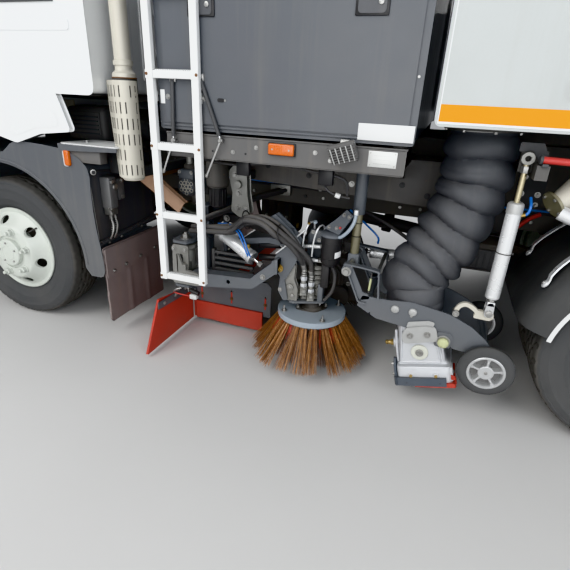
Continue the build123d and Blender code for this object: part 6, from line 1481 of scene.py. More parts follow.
def suction_hose():
    """Soft ribbed hose between casting and hopper: nine rolled folds and a wire band at its foot."""
    p0, p1 = armp(0.2696, -0.190, -0.900), armp(0.2696, -0.095, -0.896)
    pts = [p0, p1, V((0.640, -0.870, 0.760)), V((0.690, -0.852, 0.950)), V((0.693, -0.850, 1.08)), V((0.690, -0.850, 1.192))]
    path = catmull(pts, 40)
    ln = [0.0]
    for a, b in zip(path, path[1:]):
        ln.append(ln[-1] + (b - a).length)
    tot = ln[-1]
    n = 150
    out, j = [], 0
    for i in range(n + 1):
        s = tot * i / n
        while j < len(ln) - 2 and ln[j + 1] < s:
            j += 1
        t = (s - ln[j]) / max(1e-9, ln[j + 1] - ln[j])
        out.append(path[j].lerp(path[j + 1], t))
    fr = frames(out)
    seg = 64
    rnd = random.Random(4)
    folds = [0.0]
    widths = [0.055, 0.062, 0.068, 0.075, 0.090, 0.096, 0.088, 0.098, 0.090]
    k0 = (tot - 0.030) / sum(widths)
    for w in widths:
        folds.append(folds[-1] + w * k0)
    ph = [(rnd.uniform(0, 6.28), rnd.uniform(0.004, 0.009), rnd.uniform(0, 6.28)) for _ in folds]

    def radius(s, th):
        s2 = s + 0.017 * sin(th + 0.9) * sin(pi * min(1, s / tot)) + 0.0065 * sin(2 * th + s * 11) + 0.004 * sin(3 * th - s * 17)
        for k in range(len(folds) - 1):
            if s2 < folds[k + 1] or k == len(folds) - 2:
                t = min(1.0, max(0.0, (s2 - folds[k]) / (folds[k + 1] - folds[k])))
                # each roll leans over the next: steep below, long slope above, one soft pleat across it
                u2 = t ** 0.80
                roll = max(0.0, sin(pi * u2)) ** 0.62
                a, amp, a2 = ph[k]
                pleat = 0.0042 * max(0.0, sin(th * 1.0 + a)) * math.exp(-((t - 0.60 - 0.10 * sin(th + a2)) / 0.09) ** 2)
                base = 0.1115 + 0.007 * min(1, s / (0.5 * tot))
                return base + 0.0265 * roll - pleat + amp * 0.75 * sin(2 * th + a) * roll + 0.0024 * sin(5 * th + a2 + s * 30) * roll
        return 0.1115
    vs, fs = [], []
    for i, (c, u, w) in enumerate(fr):
        s = tot * i / n
        for q in range(seg):
            th = 2 * pi * q / seg
            r = radius(s, th)
            if s > tot - 0.028:
                r = 0.122
            if s < 0.014:
                r = 0.115
            vs.append(c + (u * cos(th) + w * sin(th)) * r)
    o = len(vs)
    for i, (c, u, w) in enumerate(fr):
        for q in range(seg):
            th = 2 * pi * q / seg
            vs.append(c + (u * cos(th) + w * sin(th)) * 0.106)
    for i in range(n):
        for q in range(seg):
            q2 = (q + 1) % seg
            fs.append((i * seg + q, i * seg + q2, (i + 1) * seg + q2, (i + 1) * seg + q))
            fs.append((o + i * seg + q2, o + i * seg + q, o + (i + 1) * seg + q, o + (i + 1) * seg + q2))
    for q in range(seg):
        q2 = (q + 1) % seg
        fs.append((q2, q, o + q, o + q2))
        fs.append((n * seg + q, n * seg + q2, o + n * seg + q2, o + n * seg + q))
    g = Group("suction_hose_ribbed", None)
    g.raw(vs, fs, "hose_rubber")
    ob = g.done("suction_hose", slot="hose_black", sharp=60)
    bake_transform(ob)
    k = Group("hose_collar", "chassis")
    c, u, w = fr[-3]
    k.ring(out[-4], (out[-1] - out[-6]).normalized(), 0.1255, 0.0045, "zinc", seg=56, rs=8)
    k.lathe([(1.176, 0.1245), (1.176, 0.150), (1.184, 0.155), (1.1985, 0.155), (1.1985, 0.1245)], (0.690, -0.850, 0), (0, 0, 1), "under_dark", seg=56, closed=True)
    for a in range(8):
        th = radians(45 * a + 12)
        k.bolt((0.690 + 0.142 * cos(th), -0.850 + 0.142 * sin(th), 1.176), (0, 0, -1), 0.006, "zinc")
    k.done(slot="gear_grey")


suction_hose()


# ------------------------------------------------------------------ superstructure: engine housing, ladder, exhaust, side beam, hopper
def cut_prism(pts, plane, lo, hi):
    """A cutting block for cut_holes()."""
    g = Group("cutting_block", None)
    g.prism(list(pts), plane, lo, hi, "black_plastic", b=0)
    return g.done(smooth=False)


def perforated(g, point, nu, nv, is_open, t, m):
    """A sheet with holes: point(i, j, side) gives corners, side 0 outside and 1 inside; cells where is_open(i, j) are left out."""
    idx, vs, fs = {}, [], []

    def vid(i, j, s):
        if (i, j, s) not in idx:
            idx[(i, j, s)] = len(vs)
            vs.append(point(i, j, s * t))
        return idx[(i, j, s)]
    solid = {(i, j) for i in range(nu) for j in range(nv) if not is_open(i, j)}
    for i, j in solid:
        fs.append((vid(i, j, 0), vid(i + 1, j, 0), vid(i + 1, j + 1, 0), vid(i, j + 1, 0)))
        fs.append((vid(i, j + 1, 1), vid(i + 1, j + 1, 1), vid(i + 1, j, 1), vid(i, j, 1)))
        for (a, b), (c, d) in (((i, j - 1), ((i, j), (i + 1, j))), ((i + 1, j), ((i + 1, j), (i + 1, j + 1))), ((i, j + 1), ((i + 1, j + 1), (i, j + 1))), ((i - 1, j), ((i, j + 1), (i, j)))):
            if (a, b) not in solid:
                fs.append((vid(d[0], d[1], 0), vid(c[0], c[1], 0), vid(c[0], c[1], 1), vid(d[0], d[1], 1)))
    g.raw(vs, fs, m)


def louvres(g, x0, x1, z0, z1, n, y, s, m, frame_m):
    """A framed grille of slanted slats on a side face; s points outwards along Y."""
    g.box(x0 - 0.018, x1 + 0.018, y, y + s * 0.010, z1, z1 + 0.018, frame_m, b=0.003)
    g.box(x0 - 0.018, x1 + 0.018, y, y + s * 0.010, z0 - 0.018, z0, frame_m, b=0.003)
    g.box(x0 - 0.018, x0, y, y + s * 0.010, z0, z1, frame_m, b=0.003)
    g.box(x1, x1 + 0.018, y, y + s * 0.010, z0, z1, frame_m, b=0.003)
    # black sheet just behind the slats: painted shade for the dark depth between them
    g.box(x0, x1, y - s * 0.004, y + s * 0.0005, z0, z1, "black_plastic", b=0)
    h = (z1 - z0) / n
    for k in range(n):
        zc = z0 + h * (k + 0.5)
        a, b = y + s * 0.0008, y + s * 0.0095
        pts = [(a, zc + h * 0.30), (b, zc - h * 0.34), (b, zc - h * 0.46), (a, zc + h * 0.10)]
        g.prism(pts if s < 0 else pts[::-1], "yz", x0 + 0.001, x1 - 0.001, m, b=0)


def housing():
    # shell with its real hollow inside
    out = rounded([(-0.560, 1.125), (-0.560, 2.220), (-0.440, 2.350), (0.447, 2.350), (0.447, 1.125)], [0.008, 0.05, 0.05, 0.02, 0.008], 5)
    inner = [(-0.530, 1.155), (-0.530, 2.208), (-0.428, 2.320), (0.417, 2.320), (0.417, 1.155)]
    g = Group("housing_shell", "chassis")
    g.prism(out, "xz", -1.150, 1.150, "housing_paint", b=0.012, seg=3)
    ob = g.done("engine_housing", slot="housing_grey")
    cut_holes(ob, [cut_prism(inner, "xz", -1.120, 1.120)])
    d = Group("housing_details", "chassis")
    for s in (-1, 1):
        y = s * 1.150
        # big flap door: proud panel with a rolled lower edge, fixed frame round it
        d.prism(rounded([(-0.532, 1.150), (0.424, 1.150), (0.424, 2.050), (-0.532, 2.050)], 0.018, 4), "xz", min(y, y + s * 0.0065), max(y, y + s * 0.0065), "housing_paint", b=0.0028)
        d.tube([(-0.548, y + s * 0.001, 1.136), (0.440, y + s * 0.001, 1.136)], 0.0055, "housing_paint", seg=10, n=1)
        louvres(d, -0.44, -0.02, 2.095, 2.215, 9, y, s, "housing_paint", "housing_paint")
        louvres(d, 0.06, 0.38, 2.095, 2.215, 9, y, s, "housing_paint", "housing_paint")
        for x in (-0.40, -0.05, 0.30):                     # hinges along the top, paddle latches low
            d.box(x - 0.045, x + 0.045, y, y + s * 0.011, 2.036, 2.076, "black_plastic", b=0.003)
            d.cyl((x - 0.042, y + s * 0.011, 2.056), (x + 0.042, y + s * 0.011, 2.056), 0.0065, "zinc", seg=12)
        for x in (-0.36, 0.26):
            d.box(x - 0.055, x + 0.055, y + s * 0.006, y + s * 0.0125, 1.512, 1.588, "black_plastic", b=0.005)
            d.prism(rounded([(x - 0.044, 1.520), (x + 0.044, 1.520), (x + 0.044, 1.580), (x - 0.044, 1.580)], 0.012), "xz", *sorted((y + s * 0.0125, y + s * 0.0165)), "bare_plate", b=0.0015)
            d.cyl((x + 0.028, y + s * 0.016, 1.550), (x + 0.028, y + s * 0.020, 1.550), 0.009, "zinc", seg=20, b=0.001)
        # small lock whose oval hole is a black patch, painted shade for the hole's depth; rivets along the frame
        d.prism(slot_hole(-0.300, -0.272, 1.230, 1.243, 8), "xz", *sorted((y + s * 0.006, y + s * 0.0085)), "black_plastic", b=0.0006)
        d.cyl((-0.268, y + s * 0.006, 1.2365), (-0.268, y + s * 0.0085, 1.2365), 0.004, "zinc", seg=12)
        for k in range(9):
            d.cyl((-0.50 + 0.112 * k, y, 2.282), (-0.50 + 0.112 * k, y + s * 0.0022, 2.282), 0.0055, "zinc", seg=12, b=0.0008)
        for z in (1.34, 1.62, 1.90):
            d.cyl((0.4355, y, z), (0.4355, y + s * 0.0020, z), 0.0045, "zinc", seg=12)
        # gutter over the door
        d.prism([(y, 2.240), (y + s * 0.016, 2.246), (y + s * 0.016, 2.254), (y, 2.252)], "yz", -0.54, 0.436, "housing_paint", b=0.0008)
    # front wall: ribs, radiator grille
    for y0 in (-0.95, -0.35, 0.35, 0.95):
        d.box(-0.568, -0.559, y0 - 0.02, y0 + 0.02, 1.16, 2.17, "housing_paint", b=0.003)
    nu, nv = 56, 44
    perforated(d, lambda i, j, t: V((-0.5645 + t, -0.32 + 0.64 * i / nu, 1.40 + 0.50 * j / nv)), nu, nv, lambda i, j: (i % 4 in (1, 2)) and (j % 4 in (1, 2)), 0.002, "dark_plastic")
    # black sheet right behind the perforated grille: painted shade for the depth behind its holes
    d.box(-0.5615, -0.5595, -0.31, 0.31, 1.41, 1.89, "black_plastic", b=0)
    # roof: two hatches with ribs, filler neck, outlet cowl, lifting eyes
    for x0, x1, y0, y1 in ((-0.36, 0.06, -0.86, -0.06), (-0.36, 0.06, 0.06, 0.86), (0.12, 0.40, -0.70, 0.70)):
        d.box(x0, x1, y0, y1, 2.349, 2.364, "housing_paint", b=0.006)
        for k in range(3):
            yy = y0 + (y1 - y0) * (k + 1) / 4
            d.box(x0 + 0.03, x1 - 0.03, yy - 0.012, yy + 0.012, 2.362, 2.371, "housing_paint", b=0.004)
        d.box((x0 + x1) / 2 - 0.05, (x0 + x1) / 2 + 0.05, y0 - 0.010, y0 + 0.004, 2.352, 2.366, "black_plastic", b=0.003)
    for x, y in ((-0.40, -1.02), (-0.40, 1.02), (0.38, -1.02), (0.38, 1.02)):
        d.lathe([(2.349, 0.0), (2.349, 0.024), (2.356, 0.022), (2.360, 0.012), (2.368, 0.012), (2.368, 0.0)], (x, y, 0), (0, 0, 1), "zinc", seg=24)
        d.ring((x, y, 2.386), (1, 0, 0), 0.018, 0.0055, "zinc", seg=28)
    d.lathe([(2.349, 0.0), (2.349, 0.060), (2.375, 0.060), (2.378, 0.068), (2.392, 0.068), (2.396, 0.060), (2.398, 0.0)], (-0.42, 0.0, 0), (0, 0, 1), "black_plastic", seg=40)
    # amber beacons on the roof's front corners
    for y in (-0.80, 0.80):
        d.lathe([(2.349, 0.0), (2.349, 0.070), (2.360, 0.070), (2.366, 0.060), (2.380, 0.058), (2.382, 0.0)], (-0.42, y, 0), (0, 0, 1), "black_plastic", seg=36)
        d.lathe([(2.382, 0.0), (2.382, 0.054), (2.400, 0.055), (2.470, 0.050), (2.490, 0.040), (2.498, 0.022), (2.500, 0.0)], (-0.42, y, 0), (0, 0, 1), "bright_amber", seg=36)
        for k in range(3):
            d.ring((-0.42, y, 2.405 + 0.024 * k), (0, 0, 1), 0.0545 - 0.0012 * k, 0.0012, "bright_amber", seg=36, rs=6)
    d.done(slot="housing_grey")


housing()


def ladder():
    g = Group("ladder_bars", "chassis")
    for x0, x1, si in ((-0.595, -0.564, 1), (-0.394, -0.363, -1)):
        prof = rounded([(x0, -1.190), (x1, -1.190), (x1, -1.165), (x0, -1.165)], 0.004, 3)
        g.prism(prof, "xy", 0.458, 2.330, "ladder_paint", b=0.002)
        for z in (0.458, 2.330):
            g.box(x0 + 0.004, x1 - 0.004, -1.186, -1.169, z - 0.003, z + 0.003, "black_plastic", b=0.002)
    for k in range(7):
        z = (0.470, 0.760, 1.050, 1.320, 1.597, 1.875, 2.155)[k]
        # channel rung with a toothed tread, tabs over the stiles and rusted rivets
        g.prism(rounded([(-1.1885, z - 0.015), (-1.1665, z - 0.015), (-1.1665, z + 0.013), (-1.1885, z + 0.013)], 0.004, 3), "yz", -0.566, -0.392, "ladder_paint", b=0.001)
        for i in range(16):
            x = -0.552 + 0.0098 * i
            g.prism([(-1.187, z + 0.0125), (-1.168, z + 0.0125), (-1.168, z + 0.0165), (-1.1775, z + 0.0180), (-1.187, z + 0.0165)], "yz", x, x + 0.0042, "ladder_paint", b=0)
        for x in (-0.5785, -0.3795):
            g.box(x - 0.0165, x + 0.0165, -1.1925, -1.1895, z - 0.016, z + 0.015, "ladder_paint", b=0.001)
            g.lathe([(0.0, 0.0), (0.0, 0.0062), (0.002, 0.0055), (0.0032, 0.003), (0.0034, 0.0)], (x + (0.010 if x > -0.5 else -0.010), -1.1925, z), (0, -1, 0), "rust_steel", seg=14)
    for z in (1.240, 2.180):
        for x0, x1 in ((-0.594, -0.570), (-0.388, -0.366)):
            g.box(x0, x1, -1.170, -1.149, z - 0.020, z + 0.020, "ladder_paint", b=0.003)
        g.box(-0.556, -0.340, -1.1560, -1.1490, z - 0.026, z + 0.026, "ladder_paint", b=0.002)
        for x in (-0.52, -0.36):
            g.bolt((x, -1.156, z), (0, -1, 0), 0.0065, "zinc")
    # bracing foot from the lowest bay back to the side beam
    g.tube([(-0.583, -1.166, 1.050), (-0.583, -1.140, 1.050)], 0.009, "ladder_paint", seg=12, n=1)
    g.done("ladder", slot="ladder_white")


ladder()


def stack():
    X, Y = -0.830, -1.015
    g = Group("exhaust_pipe", "chassis")
    g.lathe([(0.860, 0.0), (0.860, 0.030), (0.862, 0.046), (0.868, 0.0505), (0.880, 0.051), (1.310, 0.051), (1.322, 0.0495), (1.330, 0.040), (1.336, 0.0365), (1.352, 0.036), (1.354, 0.0415), (1.372, 0.0415),
             (1.374, 0.036), (2.455, 0.036)], (X, Y, 0), (0, 0, 1), "shield_cream", seg=48)
    # dark iron sleeve round the silencer behind the shield's slots: painted shade that makes the slots read dark
    g.lathe([(0.878, 0.0505), (0.880, 0.0530), (1.300, 0.0530), (1.302, 0.0505)], (X, Y, 0), (0, 0, 1), "engine_iron", seg=48)
    for z in (0.884, 1.304):
        g.ring((X, Y, z), (0, 0, 1), 0.051, 0.0026, "rust_steel", seg=48, rs=8)
    # mouth cut back to the rear
    g.tube([(X, Y, 2.44), (X + 0.004, Y, 2.475), (X + 0.022, Y, 2.505)], 0.0362, "rust_steel", seg=28, n=6)
    g.ring((X + 0.0225, Y, 2.505), (0.55, 0, 1), 0.0335, 0.0025, "rust_steel", seg=28, rs=8)
    for z in (1.62, 2.20):                                # saddle clamps to the housing
        g.ring((X, Y, z), (0, 0, 1), 0.0385, 0.0042, "zinc", seg=32, rs=8)
        g.box(X + 0.036, X + 0.274, Y - 0.012, Y + 0.012, z - 0.010, z + 0.010, "chassis_paint", b=0.002)
        g.bolt((X + 0.05, Y - 0.012, z), (0, -1, 0), 0.006, "zinc")
    g.box(X - 0.025, X + 0.025, Y, -0.421, 0.868, 0.912, "chassis_paint", b=0.004)
    g.box(X - 0.032, X + 0.032, Y - 0.030, Y + 0.030, 0.906, 0.914, "chassis_paint", b=0.002)
    g.box(X - 0.040, X + 0.040, -0.432, -0.4205, 0.850, 0.920, "chassis_paint", b=0.002)
    for dx, z in ((-0.028, 0.862), (0.028, 0.862), (-0.028, 0.912), (0.028, 0.912)):
        g.bolt((X + dx, -0.432, z), (0, -1, 0), 0.006, "zinc")
    g.done("exhaust_stack", slot="pipe_steel")

    h = Group("heat_shield_sheet", "chassis")
    cols, rows = 66, 6 * 10 + 2
    z0, z1 = 0.877, 1.294

    def pt(i, j, t):
        th = radians(-114 + 114 * max(i - 20, 0) / (cols - 20))
        r = 0.0625
        x, y = X + (r - t) * cos(th), Y + (r - t) * sin(th)
        if i < 20:                                        # left third folded flat, swept back, narrower towards its foot
            k = (20 - i) * (0.38 + 0.62 * min(1.0, j / (0.75 * rows)))
            x, y = x - k * 0.0044 * 0.80, y + k * 0.0044 * 0.60
        return V((x, y, z0 + (z1 - z0) * j / rows))
    starts = ((3, 6, 9, 13, 16), (24, 33, 42, 51, 60))
    rowmask = (31, 25, 31, 31, 29, 27)                      # which of the five places are cut, row by row from below

    def slot(i, j):
        """Upright slots two strips wide and seven high, five to a row on each face, some places left plain."""
        if not 2 <= j < 61 or (j - 2) % 10 > 6:
            return False
        for face in starts:
            for k, a in enumerate(face):
                if i in (a, a + 1):
                    return bool(rowmask[(j - 2) // 10] >> (4 - k) & 1)
        return False
    perforated(h, pt, cols, rows, slot, 0.0012, "shield_cream")
    for z in (0.930, 1.240):
        h.cyl((X + 0.048, Y - 0.006, z), (X + 0.062, Y - 0.006, z), 0.008, "shield_cream", seg=16)
    h.done("heat_shield", slot="shield_cream")


stack()


def side_beam():
    """The light beam under the housing, its lamps, plates and brackets, both sides alike except the work lamp."""
    g = Group("side_beam_details", "chassis")
    for s in (-1, 1):
        y = s * 1.1452
        # folded grey sheet over the beam with a bright upper lip
        g.prism(rounded([(-0.545, 1.016), (0.432, 1.016), (0.432, 1.102), (-0.540, 1.102)], 0.004), "xz", *sorted((y, y + s * 0.0035)), "beam_grey", b=0.001)
        g.prism([(y - s * 0.012, 1.1015), (y + s * 0.0035, 1.1015), (y + s * 0.0035, 1.109), (y - s * 0.050, 1.109), (y - s * 0.050, 1.1015)], "yz", -0.542, 0.435, "beam_grey", b=0.001)
        g.prism([(y + s * 0.0035, 1.016), (y + s * 0.0035, 1.012), (y - s * 0.050, 1.012), (y - s * 0.050, 1.016)], "yz", -0.542, 0.430, "beam_grey", b=0.0006)
        for x in (-0.50, -0.40, -0.24, -0.14, 0.10, 0.16):
            g.bolt((x, y + s * 0.0035, 1.060 + (0.012 if int(x * 100) % 4 else -0.012)), (0, s, 0), 0.0052, "zinc")
        for x in (-0.33, -0.185):
            g.cyl((x, y + s * 0.0030, 1.045), (x, y + s * 0.0042, 1.045), 0.0045, "black_plastic", seg=12)
        # amber marker lamp in its rubber base
        g.box(-0.088, 0.024, *sorted((y + s * 0.0035, y + s * 0.0105)), 1.050, 1.098, "black_plastic", b=0.005)
        g.box(-0.084, 0.020, *sorted((y + s * 0.0100, y + s * 0.0235)), 1.053, 1.095, "amber_lens", b=0.007, seg=3)
        for x in (-0.066, 0.002):
            g.cyl((x, y + s * 0.0235, 1.074), (x, y + s * 0.0245, 1.074), 0.0035, "zinc", seg=12)
        # blank model plate hung below the flap, and a small blank data plate with four rivets
        g.box(0.254, 0.449, *sorted((s * 1.1565, s * 1.1585)), 1.131, 1.187, "white_plate", b=0.0009)
        g.box(0.258, 0.445, *sorted((s * 1.1584, s * 1.1590)), 1.1355, 1.1825, "white_plate", b=0.0002)
        g.box(0.300, 0.402, *sorted((y + s * 0.0035, y + s * 0.0050)), 1.040, 1.096, "data_plate", b=0.0005)
        for x, z in ((0.307, 1.089), (0.395, 1.089), (0.307, 1.047), (0.395, 1.047)):
            g.cyl((x, y + s * 0.0045, z), (x, y + s * 0.0062, z), 0.0028, "zinc", seg=10)
        for k in range(3):
            g.box(0.320, 0.382, *sorted((y + s * 0.0049, y + s * 0.00525)), 1.080 - 0.014 * k, 1.0805 - 0.014 * k, "bare_plate", b=0)
        # under-run brackets down to the frame
        for x in (-0.46, 0.205, 0.395):
            g.prism([(s * 1.140, 1.012), (s * 1.100, 1.012), (s * 0.640, 0.930), (s * 0.424, 0.905), (s * 0.424, 0.950), (s * 0.640, 0.968), (s * 1.090, 1.044)], "yz", x, x + 0.008, "under_dark", b=0.001)
        g.prism([(s * 0.424, 1.018), (s * 1.094, 1.018), (s * 1.094, 1.024), (s * 0.424, 1.024)], "yz", -0.52, 0.425, "under_dark", b=0.0005)
    # finned work lamp on its bracket (left side, leaning)
    g.M = Matrix.Translation(V((0.214, -1.190, 1.088))) @ Matrix.Rotation(radians(-17), 4, "Y") @ Matrix.Rotation(radians(24), 4, "X")
    g.box(-0.050, 0.050, -0.016, 0.012, -0.034, 0.034, "beam_grey", b=0.007, seg=3)
    for k in range(7):
        z = -0.030 + 0.010 * k
        g.box(-0.047, 0.047, -0.0225, -0.014, z - 0.0022, z + 0.0022, "beam_grey", b=0.001)
    for k in range(5):
        x = -0.038 + 0.019 * k
        g.box(x - 0.0018, x + 0.0018, -0.0240, -0.012, -0.031, 0.031, "data_plate", b=0.0008)
    g.box(-0.044, 0.044, 0.010, 0.018, -0.028, 0.028, "clear_lens", b=0.003)
    g.M = None
    g.strip([(0.214, -1.150, 1.102), (0.214, -1.168, 1.128), (0.214, -1.180, 1.112)], (1, 0, 0), 0.030, 0.004, "zinc", n=4)
    g.bolt((0.214, -1.150, 1.100), (0, -1, 0), 0.007, "zinc")
    g.tube([(0.252, -1.170, 1.080), (0.262, -1.150, 1.060), (0.255, -1.120, 1.040)], 0.0032, "hose_line", seg=8)
    g.done(slot="housing_grey")


side_beam()


def hopper():
    out = rounded([(0.516, 1.200), (0.516, 2.620), (0.700, 2.850), (2.500, 2.850), (2.745, 1.340), (2.690, 1.200)], [0.012, 0.05, 0.06, 0.02, 0.02, 0.02], 5)
    inner = [(0.556, 1.240), (0.556, 2.604), (0.720, 2.810), (3.000, 2.810), (3.000, 1.240)]
    g = Group("hopper_shell", "hopper_body")
    g.prism(out, "xz", -1.150, 1.150, "hopper_paint", b=0.014, seg=3)
    ob = g.done("hopper", slot="hopper_pale")
    cut_holes(ob, [cut_prism(inner, "xz", -1.110, 1.110), cut_prism(circle(0.690, -0.850, 0.115, 48), "xy", 1.15, 1.30)])
    d = Group("hopper_details", "hopper_body")
    for s in (-1, 1):
        d.box(0.560, 2.480, *sorted((s * 0.350, s * 0.420)), 1.106, 1.205, "under_dark", b=0.006)
        for x0 in (2.500,):
            d.prism(rounded([(2.500, 1.203), (2.500, 1.050), (2.528, 1.006), (2.592, 1.006), (2.620, 1.050), (2.620, 1.203)], [0.0, 0.03, 0.02, 0.02, 0.03, 0.0]), "xz", *sorted((s * 0.430, s * 0.465)), "under_dark", b=0.003,
                    holes=[circle(2.560, 1.060, 0.0222, 24)])
        for yy in (0.224, 0.302):
            d.box(1.855, 1.945, *sorted((s * yy, s * (yy + 0.014))), 1.110, 1.205, "under_dark", b=0.003)
            d.bolt((1.900, s * (yy + (0.014 if yy > 0.25 else 0.0)), 1.140), (0, s if yy > 0.25 else -s, 0), 0.015, "zinc")
        for yy in (0.690, 0.760):
            d.prism(rounded([(2.440, 2.845), (2.500, 2.805), (2.566, 2.796), (2.568, 2.834), (2.520, 2.8505), (2.440, 2.8505)], 0.004), "xz", *sorted((s * yy, s * (yy + 0.018))), "hopper_paint", b=0.002)
        d.cyl((2.545, s * 0.686, 2.815), (2.545, s * 0.782, 2.815), 0.0138, "zinc", seg=24, b=0.002)
        y = s * 1.150
        # orange stripe with its white edge, along the foot of the side
        d.prism([(0.519, 1.2075), (2.697, 1.2075), (2.716, 1.2600), (0.519, 1.2600)], "xz", *sorted((y, y + s * 0.0012)), "orange_stripe", b=0.0003)
        d.prism([(0.517, 1.2010), (2.690, 1.2010), (2.694, 1.2068), (0.5185, 1.2068), (0.5185, 1.60), (0.517, 1.60)], "xz", *sorted((y, y + s * 0.0018)), "cab_paint", b=0.0004)
        # pressed frame round the side: top rail, rear post and swage lines
        d.prism(rounded([(0.712, 2.800), (2.490, 2.800), (2.484, 2.838), (0.724, 2.838)], 0.006), "xz", *sorted((y, y + s * 0.010)), "hopper_paint", b=0.003)
        d.prism(rounded([(2.462, 2.800), (2.505, 2.800), (2.741, 1.344), (2.716, 1.270), (2.690, 1.270), (2.694, 1.346)], 0.006), "xz", *sorted((y, y + s * 0.010)), "hopper_paint", b=0.003)
        for z in (1.62, 2.02, 2.42):
            xe = 2.745 - (z - 1.34) * 245 / 1510 - 0.10
            d.prism(rounded([(0.60, z - 0.024), (xe, z - 0.024), (xe, z + 0.024), (0.60, z + 0.024)], 0.022, 5), "xz", *sorted((y, y + s * 0.008)), "hopper_paint", b=0.0055, seg=3)
        # inspection hatch with two turn latches, lashing eyes
        d.prism(rounded([(1.20, 1.70), (1.66, 1.70), (1.66, 1.94), (1.20, 1.94)], 0.03, 4), "xz", *sorted((y, y + s * 0.009)), "hopper_paint", b=0.004)
        d.prism(rounded([(1.185, 1.685), (1.675, 1.685), (1.675, 1.955), (1.185, 1.955)], 0.035, 4), "xz", *sorted((y, y + s * 0.003)), "dark_rubber", b=0.001)
        for x in (1.30, 1.56):
            d.cyl((x, y + s * 0.008, 1.735), (x, y + s * 0.018, 1.735), 0.014, "zinc", seg=20, b=0.002)
            d.box(x - 0.006, x + 0.006, *sorted((y + s * 0.016, y + s * 0.024)), 1.700, 1.760, "zinc", b=0.003)
        for x in (0.90, 2.20):
            d.ring((x, y + s * 0.014, 1.320), (1, 0, 0), 0.022, 0.005, "zinc", seg=28)
            d.box(x - 0.016, x + 0.016, *sorted((y, y + s * 0.006)), 1.325, 1.350, "zinc", b=0.002)
        # reflectors along the stripe
        for x in (0.98, 1.78, 2.52):
            d.box(x - 0.040, x + 0.040, *sorted((y + s * 0.0012, y + s * 0.0085)), 1.222, 1.250, "amber_lens", b=0.004)
        # wash-water pipe under the side, dark with unions
        d.tube([(1.00, s * 1.115, 1.186), (1.60, s * 1.115, 1.186), (2.40, s * 1.115, 1.186)], 0.009, "hose_line", seg=10, n=2)
        for x in (1.05, 1.55, 2.05, 2.38):
            d.ring((x, s * 1.115, 1.188), (1, 0, 0), 0.0115, 0.003, "zinc", seg=20, rs=6)
    # roof: stiffeners
    for x in (0.86, 1.16, 1.46, 1.76, 2.06, 2.36):
        d.box(x - 0.020, x + 0.020, -1.06, 1.06, 2.840, 2.8499, "hopper_paint", b=0.004)
    # front wall: fan duct flange and its bolts, swages
    for z in (1.50, 1.90, 2.30):
        d.box(0.508, 0.5165, -1.00, 1.00, z - 0.02, z + 0.02, "hopper_paint", b=0.0035)
    d.lathe([(0.0, 0.16), (0.0, 0.205), (0.012, 0.205), (0.012, 0.16)], (0.5165, 0.30, 2.14), (-1, 0, 0), "under_dark", seg=48, closed=True)
    for k in range(12):
        th = 2 * pi * k / 12
        d.bolt((0.5045, 0.30 + 0.185 * cos(th), 2.14 + 0.185 * sin(th)), (-1, 0, 0), 0.008, "zinc", washer=False)
    # floor ribs and the inlet's wear ring inside, seen when the gate is open
    for x in (0.95, 1.35, 1.75, 2.15, 2.55):
        d.box(x - 0.02, x + 0.02, -1.08, 1.08, 1.239, 1.247, "bare_plate", b=0.002)
    d.ring((0.690, -0.850, 1.243), (0, 0, 1), 0.128, 0.010, "rust_steel", seg=48, rs=8)
    # sprung filter cage over the outlet in the roof of the bin
    nu, nv = 72, 24
    perforated(d, lambda i, j, t: V((0.62 + 0.56 * i / nu, 0.06 + 0.50 * j / nv, 2.66 + t)), nu, nv, lambda i, j: i % 3 != 0 and j % 3 != 0, 0.003, "bare_plate")
    for x in (0.62, 1.18):
        d.box(x - 0.006, x + 0.006, 0.055, 0.565, 2.655, 2.808, "bare_plate", b=0.001)
    for y in (0.06, 0.56):
        d.box(0.616, 1.184, y - 0.006, y + 0.006, 2.655, 2.808, "bare_plate", b=0.001)
    d.done(slot="hopper_pale")


hopper()


